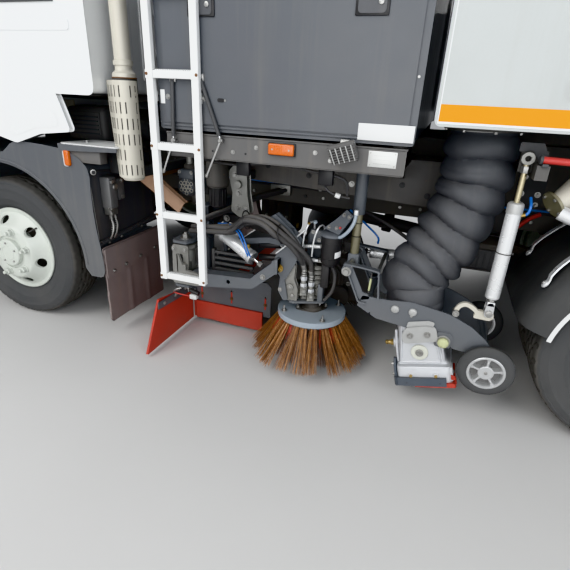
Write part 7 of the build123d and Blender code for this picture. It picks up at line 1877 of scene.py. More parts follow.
def gate():
    slope = hypot(0.245, 1.510)
    dx, dz = 0.245 / slope, -1.510 / slope
    nx, nz = -dz, dx

    def gp(down, out):
        return (2.500 + down * dx + out * nx, 2.850 + down * dz + out * nz)
    g = Group("gate_panel", "gate")
    pts = rounded([gp(0.080, 0.008), gp(0.080, 0.050), gp(1.590, 0.050), gp(1.640, 0.028), gp(1.640, 0.008)], [0.004, 0.02, 0.02, 0.006, 0.002])
    g.prism(pts, "xz", -1.150, 1.150, "hopper_paint", b=0.012, seg=3)
    for s in (-1, 1):
        y0, y1 = sorted((s * 0.714, s * 0.754))
        g.prism(rounded([(2.531, 2.812), (2.560, 2.812), (2.574, 2.740), (2.540, 2.740)], 0.002), "xz", y0, y1, "hopper_paint", b=0.002)
        g.lathe([(y0, 0.0143), (y0, 0.0238), (y1, 0.0238), (y1, 0.0143)], (2.545, 0, 2.815), (0, 1, 0), "hopper_paint", seg=32, closed=True)
    # pressed cross of ribs on the outer face
    for dn in (0.26, 0.62, 0.98, 1.34):
        a, b, c, e = gp(dn - 0.035, 0.0495), gp(dn - 0.022, 0.0575), gp(dn + 0.022, 0.0575), gp(dn + 0.035, 0.0495)
        g.prism([a, b, c, e], "xz", -1.06, 1.06, "hopper_paint", b=0.0015)
    for y in (-1.10, -0.38, 0.38, 1.10):
        a, b, c, e = gp(0.10, 0.0495), gp(0.10, 0.0575), gp(1.575, 0.0575), gp(1.575, 0.0495)
        g.prism([a, b, c, e], "xz", y - 0.024, y + 0.024, "hopper_paint", b=0.002)
    # rubber seal round the edge and latch hooks
    for y0, y1 in ((-1.146, -1.126), (1.126, 1.146)):
        g.prism([gp(0.09, 0.004), gp(0.09, 0.012), gp(1.630, 0.012), gp(1.630, 0.004)], "xz", y0, y1, "dark_rubber", b=0.001)
    g.prism([gp(1.612, 0.002), gp(1.612, 0.012), gp(1.634, 0.012), gp(1.634, 0.002)], "xz", -1.14, 1.14, "dark_rubber", b=0.001)
    for s in (-1, 1):
        p = gp(1.560, 0.056)
        g.box(p[0] - 0.02, p[0] + 0.012, s * 0.92 - 0.035, s * 0.92 + 0.035, p[1] - 0.05, p[1] + 0.05, "chassis_paint", b=0.006)
        g.tube([(p[0] + 0.008, s * 0.92, p[1] + 0.02), (p[0] + 0.022, s * 0.92, p[1] - 0.01), (p[0] + 0.008, s * 0.92, p[1] - 0.045)], 0.007, "zinc", seg=12)
    # warning chevrons, plain red and white bands across the foot of the gate
    n = 14
    for k in range(n):
        y0 = -1.05 + 2.10 * k / n
        w = 2.10 / n
        a, b = gp(1.440, 0.0512), gp(1.545, 0.0512)
        a2, b2 = gp(1.440, 0.0502), gp(1.545, 0.0502)
        sk = 0.045 if y0 < -0.001 else -0.045
        vs = [V((a[0], y0 + sk, a[1])), V((a[0], y0 + w + sk, a[1])), V((b[0], y0 + w - sk, b[1])), V((b[0], y0 - sk, b[1])),
              V((a2[0], y0 + sk, a2[1])), V((a2[0], y0 + w + sk, a2[1])), V((b2[0], y0 + w - sk, b2[1])), V((b2[0], y0 - sk, b2[1]))]
        g.raw(vs, [(0, 1, 2, 3), (7, 6, 5, 4), (0, 4, 5, 1), (1, 5, 6, 2), (2, 6, 7, 3), (3, 7, 4, 0)], "red_paint" if k % 2 else "white_plate")
    g.done("hopper_gate", slot="hopper_pale")


gate()


def rams():
    ang = atan2(0.340, 1.000)
    e = V((cos(ang), 0, sin(ang)))
    g, r = Group("ram_barrels", "tip_ram_barrels"), Group("ram_rods", "tip_ram_rods")
    L = hypot(0.340, 1.0)
    for s in (-1, 1):
        c = V((0.900, s * 0.270, 0.800))
        prof = [(0.062, 0.0), (0.062, 0.040), (0.068, 0.048), (0.100, 0.048), (0.102, 0.0455), (0.835, 0.0455), (0.837, 0.048), (0.872, 0.048), (0.880, 0.043), (0.880, 0.0263)]
        g.lathe(prof, c, e, "chassis_paint", seg=40)
        g.cyl(c + e * 0.024, c + e * 0.066, 0.018, "chassis_paint", seg=24)
        g.lathe([(-0.022, 0.0202), (-0.022, 0.030), (-0.019, 0.032), (0.019, 0.032), (0.022, 0.030), (0.022, 0.0202)], c, (0, 1, 0), "chassis_paint", seg=32, closed=True)
        side = V((0, s, 0))
        p = c + e * 0.10 - side * 0.046
        g.cyl(p, p - side * 0.010, 0.014, "zinc", seg=6, b=0.001)
        g.tube([p - side * 0.008, p - side * 0.030 + e * 0.01, p - side * 0.038 + e * 0.06, c + e * 0.22 - side * 0.052, c + e * 0.70 - side * 0.052], 0.006, "zinc", seg=8, n=5)
        r.cyl(c + e * 0.150, c + e * (L - 0.030), 0.0259, "chrome", seg=32)
        r.lathe([(-0.017, 0.0), (-0.017, 0.0325), (-0.015, 0.034), (0.015, 0.034), (0.017, 0.0325), (0.017, 0.0)], (1.900, s * 0.270, 1.140), (0, 1, 0), "chassis_paint", seg=32)
    g.done("tip_rams", slot="gear_grey")
    r.done("tip_rods", slot="ram_chrome")


rams()


# ------------------------------------------------------------------ cab, doors, mirrors, bumper, wings
CAB_OUT = [(-2.840, 0.960), (-2.860, 1.400), (-2.770, 2.350), (-2.690, 2.490), (-2.550, 2.560), (-1.060, 2.580), (-0.940, 2.480), (-0.940, 1.235), (-2.180, 1.235), (-2.180, 0.960)]
CAB_IN = [(-2.800, 1.000), (-2.818, 1.400), (-2.732, 2.340), (-2.660, 2.460), (-2.540, 2.520), (-1.075, 2.540), (-0.980, 2.465), (-0.980, 1.275), (-2.220, 1.275), (-2.220, 1.000)]
CAB_SIDE_LOW = [(-2.180, 1.228), (-2.180, 0.962), (-2.060, 1.010), (-1.900, 1.040), (-1.538, 1.026), (-1.438, 1.002), (-1.278, 1.054), (-1.102, 1.073), (-1.128, 1.150), (-1.156, 1.228)]


def loop_tube(g, pts, r, m, seg=8):
    """A closed bead of round section through points."""
    n = len(pts)
    P = [V(p) for p in pts]
    vs, fs = [], []
    prev = None
    for i in range(n):
        t = (P[(i + 1) % n] - P[i - 1]).normalized()
        if prev is None:
            ref = V((0, 0, 1)) if abs(t.z) < 0.9 else V((1, 0, 0))
            u = (ref - t * ref.dot(t)).normalized()
        else:
            u = (prev - t * prev.dot(t)).normalized()
        prev = u
        w = t.cross(u)
        for s in range(seg):
            a = 2 * pi * s / seg
            vs.append(P[i] + (u * cos(a) + w * sin(a)) * r)
    # the frames may close with a twist: match the last ring to the first by nearest corner
    best = min(range(seg), key=lambda k: (vs[(n - 1) * seg + k] - vs[0]).length)
    for i in range(n):
        j = (i + 1) % n
        for s in range(seg):
            s2 = (s + 1) % seg
            if j:
                fs.append((i * seg + s, i * seg + s2, j * seg + s2, j * seg + s))
            else:
                fs.append((i * seg + (s + best) % seg, i * seg + (s2 + best) % seg, s2, s))
    g.raw(vs, fs, m)


def slope_x(z):
    """Cab front's x at a height."""
    if z <= 1.400:
        return -2.840 - 0.020 * (z - 0.960) / 0.440
    return -2.860 + 0.090 * (z - 1.400) / 0.950


def cab():
    g = Group("cab_skin", "cab")
    out = rounded(CAB_OUT, [0.04, 0.20, 0.10, 0.09, 0.10, 0.08, 0.09, 0.03, 0.01, 0.02], 6)
    g.prism(out, "xz", -1.100, 1.100, "cab_paint", b=0.050, seg=5)
    ob = g.done("cab_shell", slot="cab_white", sharp=40)
    cuts = [cut_prism(CAB_IN, "xz", -1.040, 1.040),
            cut_prism(rounded([(-0.960, 1.500), (0.960, 1.500), (0.925, 2.310), (-0.925, 2.310)], 0.09, 6), "yz", -3.0, -2.700),
            cut_prism(rounded([(-0.620, 1.750), (0.620, 1.750), (0.620, 2.250), (-0.620, 2.250)], 0.08, 6), "yz", -1.02, -0.90)]
    for s in (-1, 1):
        cuts.append(cut_prism(rounded([(-2.650, 1.275), (-1.640, 1.275), (-1.640, 2.470), (-2.650, 2.470)], 0.05, 6), "xz", *sorted((s * 1.030, s * 1.2))))
    cut_holes(ob, cuts)
    d = Group("cab_details", "cab")
    for s in (-1, 1):
        y = s * 1.100
        # lower side panel that dips over the wheel, dished, with a returned lip round the arch
        low = rounded(CAB_SIDE_LOW, [0.0, 0.02, 0.05, 0.08, 0.06, 0.05, 0.06, 0.012, 0.10, 0.02], 6)
        d.prism(low, "xz", *sorted((s * 1.068, s * 1.0995)), "cab_paint", b=0.012, seg=4)
        d.box(-2.180, -1.160, *sorted((s * 1.060, s * 1.0935)), 1.2335, 1.2385, "black_plastic", b=0)
        d.prism(rounded([(-2.150, 1.010), (-2.060, 1.030), (-1.900, 1.056), (-1.540, 1.046), (-1.438, 1.030), (-1.300, 1.074), (-1.150, 1.090), (-1.180, 1.160), (-2.150, 1.160)], 0.04, 4), "xz", *sorted((s * 1.096, s * 1.1015)), "cab_paint", b=0.0028)
        # rubber drip rail over the door and a swage along the back quarter
        d.tube([(-2.650, y + s * 0.002, 2.486), (-2.30, y + s * 0.003, 2.492), (-1.70, y + s * 0.003, 2.492), (-1.50, y + s * 0.002, 2.480)], 0.006, "black_plastic", seg=8)
        d.prism(rounded([(-1.560, 1.480), (-1.020, 1.480), (-1.020, 1.520), (-1.560, 1.520)], 0.016), "xz", *sorted((y, y + s * 0.005)), "cab_paint", b=0.003)
        # quarter vent with slats behind the door
        louvres(d, -1.42, -1.10, 1.60, 1.94, 12, y, s, "dark_plastic", "dark_plastic")
        # side marker lamp and grab handle
        d.box(-1.60, -1.53, *sorted((y, y + s * 0.010)), 1.375, 1.410, "bright_amber", b=0.005)
        for z in (1.62, 2.28):
            d.box(-1.612, -1.584, *sorted((y, y + s * 0.026)), z - 0.02, z + 0.02, "black_plastic", b=0.005)
        d.tube([(-1.598, y + s * 0.030, 1.60), (-1.598, y + s * 0.038, 1.66), (-1.598, y + s * 0.038, 2.24), (-1.598, y + s * 0.030, 2.30)], 0.011, "black_plastic", seg=12)
        # hinge lugs and pins
        for z in (1.420, 1.640):
            for z0 in (z - 0.040, z + 0.026):
                d.box(-2.668, -2.6395, *sorted((s * 1.099, s * 1.122)), z0, z0 + 0.014, "black_plastic", b=0.003)
            d.cyl((-2.642, s * 1.112, z - 0.043), (-2.642, s * 1.112, z + 0.043), 0.0059, "zinc", seg=14, b=0.001)
        # tilt hinge ears
        d.prism(rounded([(-2.730, 0.965), (-2.730, 0.850), (-2.715, 0.822), (-2.685, 0.822), (-2.670, 0.850), (-2.670, 0.965)], [0, 0.02, 0.02, 0.02, 0.02, 0]), "xz", *sorted((s * 0.430, s * 0.455)), "chassis_paint", b=0.003,
                holes=[circle(-2.700, 0.850, 0.0182, 24)])
        # wheel-arch liner edge under the panel
        d.tube([(-2.06, s * 1.074, 1.006), (-1.90, s * 1.074, 1.034), (-1.70, s * 1.074, 1.034), (-1.54, s * 1.074, 1.020), (-1.44, s * 1.074, 1.000), (-1.28, s * 1.074, 1.048)], 0.006, "black_plastic", seg=8)
    # windscreen rubber, black border behind the glass edge
    ring = rounded([(-0.960, 1.500), (0.960, 1.500), (0.925, 2.310), (-0.925, 2.310)], 0.09, 6)
    loop_tube(d, [(slope_x(z) - 0.001, y, z) for y, z in ring], 0.011, "black_plastic", seg=10)
    ring = rounded([(-0.620, 1.750), (0.620, 1.750), (0.620, 2.250), (-0.620, 2.250)], 0.08, 6)
    loop_tube(d, [(-0.939, y, z) for y, z in ring], 0.010, "black_plastic", seg=10)
    # wipers
    for y0, sg in ((-0.62, 1), (0.10, 1)):
        zb = 1.485
        d.cyl((slope_x(zb) - 0.002, y0, zb), (slope_x(zb) - 0.030, y0, zb), 0.014, "black_plastic", seg=20, b=0.002)
        d.tube([(slope_x(zb) - 0.024, y0, zb), (slope_x(1.56) - 0.022, y0 + 0.14, 1.56), (slope_x(1.70) - 0.016, y0 + 0.36, 1.70)], 0.006, "black_plastic", seg=8)
        d.tube([(slope_x(1.60) - 0.012, y0 + 0.20, 1.58), (slope_x(1.70) - 0.013, y0 + 0.36, 1.70), (slope_x(1.86) - 0.012, y0 + 0.56, 1.84)], 0.005, "black_plastic", seg=8)
        d.strip([(slope_x(1.58) - 0.008, y0 + 0.20, 1.58), (slope_x(1.70) - 0.008, y0 + 0.36, 1.70), (slope_x(1.84) - 0.008, y0 + 0.56, 1.84)], (1, 0, 0), 0.010, 0.003, "dark_rubber", n=3)
    # front: grille with slats, bonnet-flap seam, two grab handles, amber lamps
    d.box(-2.868, -2.848, -0.80, 0.80, 1.070, 1.350, "dark_plastic", b=0.010, seg=3)
    for k in range(6):
        z = 1.098 + 0.042 * k
        d.prism([(-2.8745, z), (-2.8665, z - 0.010), (-2.8660, z + 0.016), (-2.8740, z + 0.020)], "xz", -0.77, 0.77, "black_plastic", b=0.001)
    for y in (-0.45, 0.0, 0.45):
        d.box(-2.8735, -2.866, y - 0.012, y + 0.012, 1.080, 1.342, "dark_plastic", b=0.002)
    d.prism(rounded([(-0.98, 1.385), (0.98, 1.385), (0.98, 1.455), (-0.98, 1.455)], 0.02, 4), "yz", -2.8655, -2.852, "cab_paint", b=0.004)
    for y in (-0.90, 0.90):
        d.tube([(-2.852, y, 1.30), (-2.8735, y, 1.315), (-2.8735, y, 1.405), (-2.852, y, 1.42)], 0.008, "black_plastic", seg=10)
        d.box(-2.8690, -2.848, y - 0.075, y + 0.075, 0.985, 1.045, "bright_amber", b=0.008)
    # roof: sun visor, marker lamps, ribs, aerial foot
    d.prism(rounded([(-2.782, 2.330), (-2.862, 2.318), (-2.866, 2.330), (-2.790, 2.420), (-2.742, 2.440)], [0.004, 0.006, 0.006, 0.02, 0.004]), "xz", -0.94, 0.94, "dark_plastic", b=0.004)
    for y in (-0.88, -0.44, 0.44, 0.88):
        d.box(-2.722, -2.676, y - 0.045, y + 0.045, 2.466, 2.500, "bright_amber", b=0.010)
    for y in (-0.72, -0.36, 0.0, 0.36, 0.72):
        d.prism([(-2.44, 2.5615), (-1.18, 2.578), (-1.16, 2.584), (-2.46, 2.568)], "xz", y - 0.022, y + 0.022, "cab_paint", b=0.003)
    d.cyl((-2.42, -0.95, 2.560), (-2.42, -0.95, 2.572), 0.016, "black_plastic", seg=20, b=0.003)
    # back wall: pressed ribs
    for y in (-0.82, -0.70, 0.70, 0.82):
        d.box(-0.942, -0.934, y - 0.022, y + 0.022, 1.30, 2.40, "cab_paint", b=0.003)
    d.box(-0.943, -0.934, -0.60, 0.60, 1.42, 1.46, "cab_paint", b=0.003)
    d.box(-0.943, -0.934, -0.60, 0.60, 1.60, 1.64, "cab_paint", b=0.003)
    # floor underside ribs and sill
    for x in (-2.05, -1.70, -1.35, -1.05):
        d.box(x - 0.02, x + 0.02, -1.02, 1.02, 1.222, 1.2355, "under_dark", b=0.003)
    for y in (-0.52, 0.52):
        d.box(-2.16, -0.96, y - 0.030, y + 0.030, 1.196, 1.2355, "under_dark", b=0.005)
    # inside: floor mat, roof lining, rear trim, gear lever
    d.box(-2.215, -1.0, -1.03, 1.03, 1.2752, 1.282, "dark_rubber", b=0.001)
    d.box(-2.50, -1.10, -1.02, 1.02, 2.492, 2.515, "trim_soft", b=0.006)
    d.box(-0.996, -0.981, -1.03, 1.03, 1.29, 1.735, "trim_soft", b=0.004)
    d.cyl((-2.33, -0.18, 1.20), (-2.30, -0.20, 1.58), 0.010, "black_plastic", seg=12)
    d.ball((-2.299, -0.2005, 1.60), 0.026, "black_plastic", seg=16)
    d.done(slot="cab_white")

    # dashboard
    t = Group("dash_moulding", "cab")
    prof = rounded([(-2.790, 1.330), (-2.560, 1.380), (-2.540, 1.500), (-2.600, 1.560), (-2.780, 1.560), (-2.800, 1.430)], [0.02, 0.04, 0.03, 0.03, 0.02, 0.02], 5)
    t.prism(prof, "xz", -1.030, 1.030, "trim_soft", b=0.012, seg=3)
    t.prism(rounded([(-2.70, 1.545), (-2.548, 1.548), (-2.552, 1.585), (-2.66, 1.612), (-2.72, 1.595)], 0.015), "xz", -0.78, -0.34, "trim_soft", b=0.008)
    t.box(-2.549, -2.541, -0.74, -0.38, 1.505, 1.558, "black_plastic", b=0.003)
    for y in (-0.68, -0.56, -0.44):
        t.ring((-2.5405, y, 1.532), (1, 0, 0), 0.020, 0.0022, "chrome", seg=28, rs=6)
    for y0 in (-0.95, -0.24, 0.30, 0.84):
        t.box(-2.5495, -2.540, y0, y0 + 0.11, 1.435, 1.490, "black_plastic", b=0.004)
        for k in range(4):
            t.box(-2.541, -2.5375, y0 + 0.008, y0 + 0.102, 1.443 + 0.012 * k, 1.446 + 0.012 * k, "trim_soft", b=0)
    t.box(-2.556, -2.545, -0.10, 0.22, 1.395, 1.495, "black_plastic", b=0.004)
    for k in range(6):
        t.cyl((-2.547, -0.07 + 0.05 * k, 1.42), (-2.538, -0.07 + 0.05 * k, 1.42), 0.010, "trim_soft", seg=14, b=0.001)
    t.cyl((-2.560, -0.560, 1.470), (-2.440, -0.560, 1.560), 0.030, "black_plastic", r2=0.027, seg=24, b=0.004)
    t.tube([(-2.49, -0.56, 1.53), (-2.47, -0.64, 1.56), (-2.45, -0.70, 1.585)], 0.006, "black_plastic", seg=8)
    t.tube([(-2.49, -0.56, 1.53), (-2.47, -0.48, 1.56), (-2.45, -0.42, 1.585)], 0.006, "black_plastic", seg=8)
    t.done("dashboard", slot="trim_grey")
    # steering wheel
    w = Group("wheel_rim", "cab")
    c, a = V((-2.418, -0.560, 1.577)), V((0.8, 0, 0.6)).normalized()
    w.ring(c + a * 0.014, a, 0.2105, 0.0138, "black_plastic", seg=64, rs=14)
    w.lathe([(0.0, 0.0), (0.0, 0.046), (0.006, 0.050), (0.018, 0.048), (0.024, 0.036), (0.024, 0.0)], c, a, "trim_soft", seg=36)
    uu, ww, tt = basis(a)
    for ang in (20, 160, 270):
        th = radians(ang)
        e = uu * cos(th) + ww * sin(th)
        w.strip([c + a * 0.010 + e * 0.040, c + a * 0.006 + e * 0.12, c + a * 0.013 + e * 0.205], a.cross(e), 0.030, 0.009, "black_plastic", n=4)
    w.done("steering_wheel", slot="trim_black")
    # seats
    q = Group("seat_cushions", "cab")
    for y0, y1 in ((-0.810, -0.310), (0.080, 0.900)):
        q.box(-2.010, -1.545, y0 + 0.045, y1 - 0.045, 1.2755, 1.600, "black_plastic", b=0.02)
        q.prism(rounded([(-2.058, 1.600), (-1.510, 1.600), (-1.480, 1.700), (-1.600, 1.735), (-2.030, 1.762), (-2.060, 1.70)], [0.03, 0.03, 0.05, 0.05, 0.05, 0.03], 5), "xz", y0 + 0.002, y1 - 0.002, "seat_cloth", b=0.030, seg=5)
        back = rounded([(-1.630, 1.700), (-1.500, 1.640), (-1.395, 2.160), (-1.490, 2.170)], [0.04, 0.04, 0.04, 0.04], 5)
        q.prism(back, "xz", y0 + 0.006, y1 - 0.006, "seat_cloth", b=0.030, seg=5)
        n = 1 if y1 - y0 < 0.6 else 2
        for k in range(n):
            yc = y0 + (y1 - y0) * (k + 0.5) / n
            q.prism(rounded([(-1.482, 2.180), (-1.405, 2.175), (-1.368, 2.328), (-1.440, 2.336)], 0.03, 5), "xz", yc - 0.13, yc + 0.13, "seat_cloth", b=0.026, seg=4)
            for dy in (-0.05, 0.05):
                q.cyl((-1.445, yc + dy, 2.12), (-1.425, yc + dy, 2.22), 0.006, "chrome", seg=10)
            for dy in (-0.11, 0.11):
                q.prism(rounded([(-1.99, 1.754), (-1.62, 1.730), (-1.62, 1.742), (-1.99, 1.768)], 0.004), "xz", yc + dy - 0.030, yc + dy + 0.030, "seat_cloth", b=0.004)
        q.tube([(-1.385, y0 + 0.05, 2.25), (-1.47, y0 + 0.10, 2.0), (-1.60, y1 - 0.10, 1.74), (-1.56, y1 - 0.03, 1.62)], 0.010, "black_plastic", flat=(0.044, 0.003), n=8)
    q.done("seats", slot="seat_fabric")

    # glass
    gl = Group("windscreen", "cab")
    nx, nz = 24, 14
    vs, fs = [], []
    for side in (0, 1):
        for i in range(nx + 1):
            for j in range(nz + 1):
                y = -0.958 + 1.916 * i / nx
                z = 1.503 + 0.805 * j / nz
                k = 1 - 0.036 * (z - 1.503) / 0.805
                x = slope_x(z) + 0.0125 + 0.0060 * side - 0.006 * cos(pi * y / 2.0)
                vs.append(V((x, y * k, z)))
    for side in (0, 1):
        o = side * (nx + 1) * (nz + 1)
        for i in range(nx):
            for j in range(nz):
                a0 = o + i * (nz + 1) + j
                f = (a0, a0 + nz + 1, a0 + nz + 2, a0 + 1)
                fs.append(f[::-1] if side == 0 else f)
    rim = [i * (nz + 1) for i in range(nx + 1)] + [nx * (nz + 1) + j for j in range(1, nz + 1)] + [i * (nz + 1) + nz for i in range(nx - 1, -1, -1)] + [j for j in range(nz - 1, 0, -1)]
    o = (nx + 1) * (nz + 1)
    for a, b in zip(rim, rim[1:] + rim[:1]):
        fs.append((a, b, b + o, a + o))
    gl.raw(vs, fs, "cab_glass_mat")
    gl.prism(rounded([(-0.618, 1.752), (0.618, 1.752), (0.618, 2.248), (-0.618, 2.248)], 0.078, 6), "yz", -0.963, -0.957, "cab_glass_mat", b=0)
    gl.done("cab_glass", slot="clear_glass")


cab()


def doors():
    for hand, s in (("left", -1), ("right", 1)):
        g = Group(f"door_skin_{hand}", f"{hand}_door")
        g.prism(rounded([(-2.642, 1.283), (-1.648, 1.283), (-1.648, 2.462), (-2.642, 2.462)], 0.046, 6), "xz", *sorted((s * 1.040, s * 1.100)), "cab_paint", b=0.008, seg=3)
        ob = g.done(f"door_{hand}", slot="cab_white", sharp=40)
        win = rounded([(-2.560, 1.730), (-1.730, 1.730), (-1.730, 2.380), (-2.530, 2.380)], [0.05, 0.06, 0.07, 0.06], 6)
        cut_holes(ob, [cut_prism(win, "xz", *sorted((s * 1.02, s * 1.12)))])
        d = Group(f"door_details_{hand}", f"{hand}_door")
        y = s * 1.100
        loop_tube(d, [(x, y - s * 0.002, z) for x, z in win], 0.009, "black_plastic", seg=10)
        loop_tube(d, [(x, s * 1.041, z) for x, z in win], 0.008, "trim_soft", seg=8)
        # swages, handle in its dish, lock, lower rub strip, inside trim and pull
        d.prism(rounded([(-2.60, 1.640), (-1.70, 1.640), (-1.70, 1.675), (-2.60, 1.675)], 0.015, 4), "xz", *sorted((y, y + s * 0.005)), "cab_paint", b=0.0035)
        d.prism(rounded([(-2.58, 1.330), (-1.72, 1.330), (-1.72, 1.385), (-2.58, 1.385)], 0.014, 4), "xz", *sorted((y, y + s * 0.006)), "grey_plastic", b=0.003)
        d.prism(rounded([(-1.900, 1.545), (-1.720, 1.545), (-1.720, 1.612), (-1.900, 1.612)], 0.024, 5), "xz", *sorted((y, y + s * 0.004)), "black_plastic", b=0.002)
        d.tube([(-1.880, y + s * 0.004, 1.590), (-1.868, y + s * 0.018, 1.590), (-1.760, y + s * 0.018, 1.590), (-1.748, y + s * 0.004, 1.590)], 0.008, "black_plastic", seg=10)
        d.cyl((-1.742, y + s * 0.003, 1.562), (-1.742, y + s * 0.008, 1.562), 0.009, "zinc", seg=18, b=0.001)
        d.tube([(-2.530, y - s * 0.004, 1.745), (-2.200, y - s * 0.003, 1.745), (-1.750, y - s * 0.004, 1.745)], 0.006, "dark_rubber", seg=8)
        d.prism(rounded([(-2.60, 1.31), (-1.69, 1.31), (-1.69, 1.70), (-2.60, 1.70)], 0.04, 5), "xz", *sorted((s * 1.0405, s * 1.028)), "trim_soft", b=0.006)
        d.tube([(-2.10, s * 1.030, 1.56), (-2.08, s * 1.008, 1.56), (-1.86, s * 1.008, 1.58), (-1.84, s * 1.030, 1.58)], 0.009, "black_plastic", seg=10)
        d.prism(rounded([(-2.40, 1.35), (-1.80, 1.35), (-1.80, 1.47), (-2.40, 1.47)], 0.02), "xz", *sorted((s * 1.029, s * 1.012)), "trim_soft", b=0.006)
        for z in (1.420, 1.640):
            d.prism(rounded([(-2.640, z - 0.020), (-2.597, z - 0.020), (-2.597, z + 0.020), (-2.640, z + 0.020)], 0.004), "xz", *sorted((y - s * 0.001, y + s * 0.006)), "black_plastic", b=0.002)
            d.lathe([(z - 0.020, 0.0062), (z - 0.020, 0.0106), (z + 0.020, 0.0106), (z + 0.020, 0.0062)], (-2.642, s * 1.112, 0), (0, 0, 1), "black_plastic", seg=20, closed=True)
            d.bolt((-2.610, y + s * 0.006, z), (0, s, 0), 0.005, "zinc", washer=False)
        d.done(slot="cab_white")
        q = Group(f"door_pane_{hand}", f"{hand}_door")
        q.prism(rounded([(-2.558, 1.732), (-1.732, 1.732), (-1.732, 2.378), (-2.528, 2.378)], [0.05, 0.06, 0.07, 0.06], 6), "xz", *sorted((s * 1.0670, s * 1.0730)), "cab_glass_mat", b=0)
        q.done(f"door_glass_{hand}", slot="clear_glass")


doors()


def mirrors():
    g = Group("mirror_heads", "cab")
    for s in (-1, 1):
        for z0, z1 in ((1.880, 2.180), (1.720, 1.862)):
            g.box(-2.856, -2.790, *sorted((s * 1.142, s * 1.2495)), z0, z1, "black_plastic", b=0.024, seg=5)
            g.box(-2.7915, -2.7835, *sorted((s * 1.152, s * 1.240)), z0 + 0.014, z1 - 0.014, "chrome", b=0.006, seg=2)
        g.box(-2.835, -2.805, *sorted((s * 1.165, s * 1.195)), 1.835, 1.905, "black_plastic", b=0.008)
        for x, z in ((-2.745, 2.230), (-2.780, 1.660)):
            g.box(x - 0.030, x + 0.030, *sorted((s * 1.0995, s * 1.112)), z - 0.030, z + 0.030, "black_plastic", b=0.005)
            for dz in (-0.018, 0.018):
                g.bolt((x + 0.012, s * 1.112, z + dz), (0, s, 0), 0.0055, "zinc", washer=False)
        g.tube([(-2.750, s * 1.112, 2.230), (-2.790, s * 1.150, 2.232), (-2.818, s * 1.176, 2.225), (-2.820, s * 1.180, 2.160)], 0.0125, "black_plastic", seg=14)
        g.tube([(-2.785, s * 1.112, 1.660), (-2.805, s * 1.150, 1.657), (-2.818, s * 1.176, 1.664), (-2.820, s * 1.180, 1.740)], 0.0125, "black_plastic", seg=14)
    g.done("mirrors", slot="trim_black")


mirrors()


